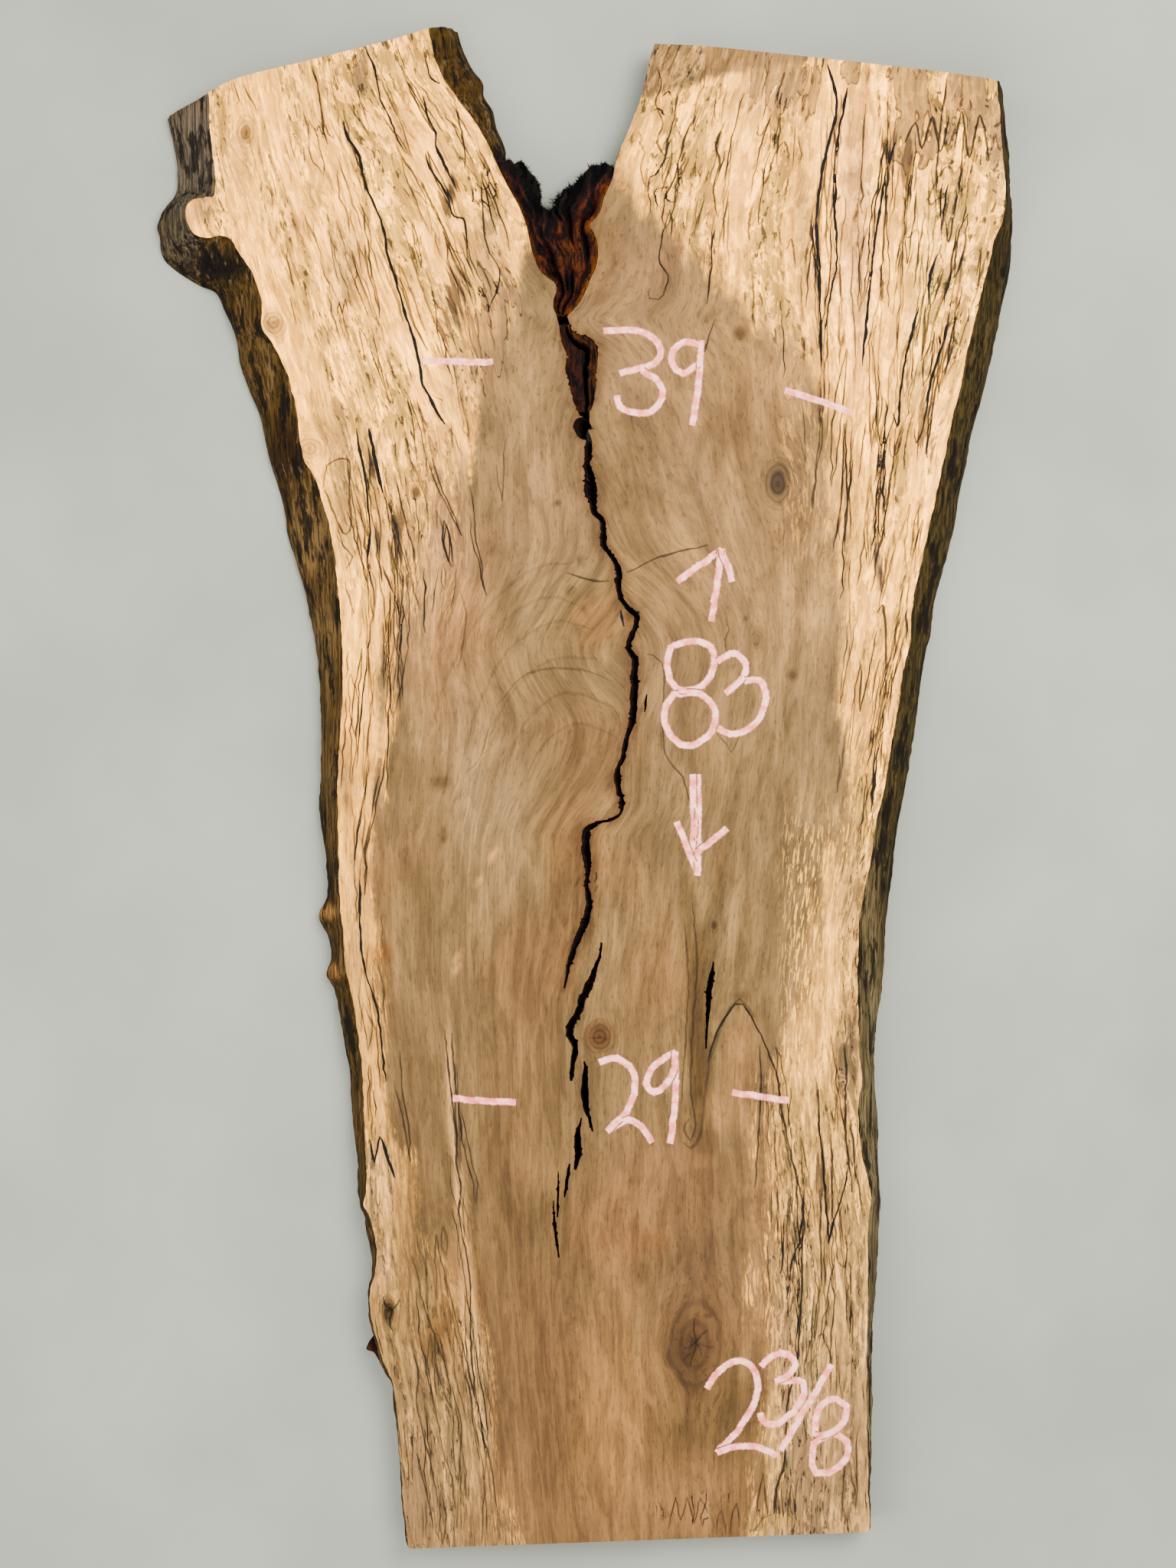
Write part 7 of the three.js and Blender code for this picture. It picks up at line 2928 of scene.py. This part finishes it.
@dataclass
class Studio:
    """The pale floor, the soft lights and the camera over the slab."""

    eye_height: float = 3.14
    shown: float = 2048 * GRID
    sensor: float = 36.0
    floor_size: float = 14.0
    floor_gap: float = 0.0005
    floor_tone: Colour = paint(198, 197, 190)
    floor_shade: Colour = paint(192, 191, 183)
    sky: tuple[float, float, float, float] = (0.93, 0.96, 1.0, 1.0)
    sky_strength: float = 2.14

    def build(self, middle: np.ndarray) -> None:
        """Make the studio.

        Args:
            middle: The point of the floor that the camera looks straight down on.
        """
        self._floor()
        self._lights()
        self._camera(middle)

    def _floor(self) -> None:
        """Lay the floor under the slab."""
        mesh = bpy.data.meshes.new("floor")
        reach = self.floor_size / 2
        corners = [(-reach, -reach), (reach, -reach), (reach, reach), (-reach, reach)]
        mesh.from_pydata([(x, y, -self.floor_gap) for x, y in corners], [], [(0, 1, 2, 3)])
        floor = bpy.data.objects.new("floor", mesh)
        bpy.context.scene.collection.objects.link(floor)
        material, graph = new_material("pale_floor")
        cloud = graph.noise(graph.scaled(graph.place(), 3, 3, 3), 3, 0.5)
        tone = graph.mix(graph.ease(cloud, 0.3, 0.7), self.floor_tone, self.floor_shade)
        graph.finish(tone, 0.9, graph.bump(cloud, 0.001, 0.2), 0.2)
        mesh.materials.append(material)

    def _lights(self) -> None:
        """Hang a large light over the head of the slab, a softer one at its side, and a grey sky."""
        self._area("key", (1.1, 0.9, 2.9), (0.1, 0.0, 0.0), 1.7, 247)
        self._area("fill", (-2.1, -1.1, 2.4), (0.0, -0.3, 0.0), 2.2, 105)
        world = bpy.data.worlds.new("sky")
        bpy.context.scene.world = world
        world.use_nodes = True
        graph = Graph(world.node_tree)
        sky = graph.node("ShaderNodeBackground")
        sky.inputs["Color"].default_value = self.sky
        sky.inputs["Strength"].default_value = self.sky_strength
        output = graph.node("ShaderNodeOutputWorld")
        graph.tree.links.new(sky.outputs[0], output.inputs[0])

    @staticmethod
    def _area(name: str, place: Sequence[float], target: Sequence[float], size: float, power: float) -> None:
        """Hang one soft light that shines at a point.

        Args:
            name: Its name.
            place: Where it hangs.
            target: What it shines at.
            size: Its width in metres.
            power: Its power in watts.
        """
        light = bpy.data.lights.new(name, "AREA")
        light.shape = "DISK"
        light.size = size
        light.energy = power
        lamp = bpy.data.objects.new(name, light)
        lamp.location = place
        lamp.rotation_euler = (Vector(target) - Vector(place)).to_track_quat("-Z", "Y").to_euler()
        bpy.context.scene.collection.objects.link(lamp)

    def _camera(self, middle: np.ndarray) -> None:
        """Set the camera straight over the slab, so that the frame holds the drawing grid.

        Args:
            middle: The point of the floor that it looks at.
        """
        data = bpy.data.cameras.new("camera")
        data.sensor_fit = "VERTICAL"
        data.sensor_height = self.sensor
        data.lens = self.sensor * self.eye_height / self.shown
        camera = bpy.data.objects.new("camera", data)
        camera.location = (middle[0], middle[1], THICKNESS + self.eye_height)
        bpy.context.scene.collection.objects.link(camera)
        bpy.context.scene.camera = camera


def placed_drawing() -> Drawing:
    """Find where the drawing grid lies in the part's frame, from the slab's own box.

    Returns:
        The drawing grid in its place.
    """
    drawing = Drawing()
    ring = Outline(drawing).ring()
    every = np.vstack([ring.face, ring.back])
    low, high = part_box("slab")
    centre = np.array([(low[0] + high[0]) / 2, (low[1] + high[1]) / 2])
    drawing.shift = centre - (every.min(0) + every.max(0)) / 2
    return drawing


def main() -> None:
    """Build every piece in order, dress it and report it."""
    logging.basicConfig(level=logging.INFO, format="%(name)s: %(message)s")
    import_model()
    drawing = placed_drawing()
    LOG.info("drawing grid shifted by %s mm", (drawing.shift * 1000).round(2).tolist())
    effects = Effects()
    figure = Figure(drawing)
    dark_bark, tan_wood = paint(40, 17, 7), paint(160, 132, 98)
    finishes = (
        SawnFace("sawn_face"),
        SawnFace("sawn_back", marked=False),
        LiveEdge("left_live_edge", dark_bark, tan_wood, 0.53),
        LiveEdge("right_live_edge", paint(50, 41, 26), paint(132, 110, 76), 0.52),
        SawnEnd(),
        InnerBark("fork_wall", "edge_tone"),
        Crevice(),
    )
    wood = SlabWood(Outline(drawing), figure, Marks(figure))
    slab = wood.build([finish.build(effects) for finish in finishes])
    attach(slab, "root")
    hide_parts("slab")
    LOG.info("slab_wood: %d triangles", len(slab.data.polygons))
    held_bark, fibre_bark = InnerBark().build(effects), InnerBark("bark_fibre", ridges=0.1).build(effects)
    wedge = ForkBark(drawing)
    barks = (
        ("fork_bark", wedge.build(held_bark)),
        ("fork_bark", wedge.fibres(fibre_bark)),
        ("seam_bark", SeamBark(drawing).build(held_bark)),
        ("bark_scale", BarkScale(drawing).build(held_bark)),
    )
    for node, piece in barks:
        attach(piece, "root")
        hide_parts(node)
        LOG.info("%s: %d triangles", piece.name, len(piece.data.polygons))
    Studio().build(drawing.plan((GRID_MIDDLE, GRID_EYE))[0])


if __name__ == "__main__":
    main()
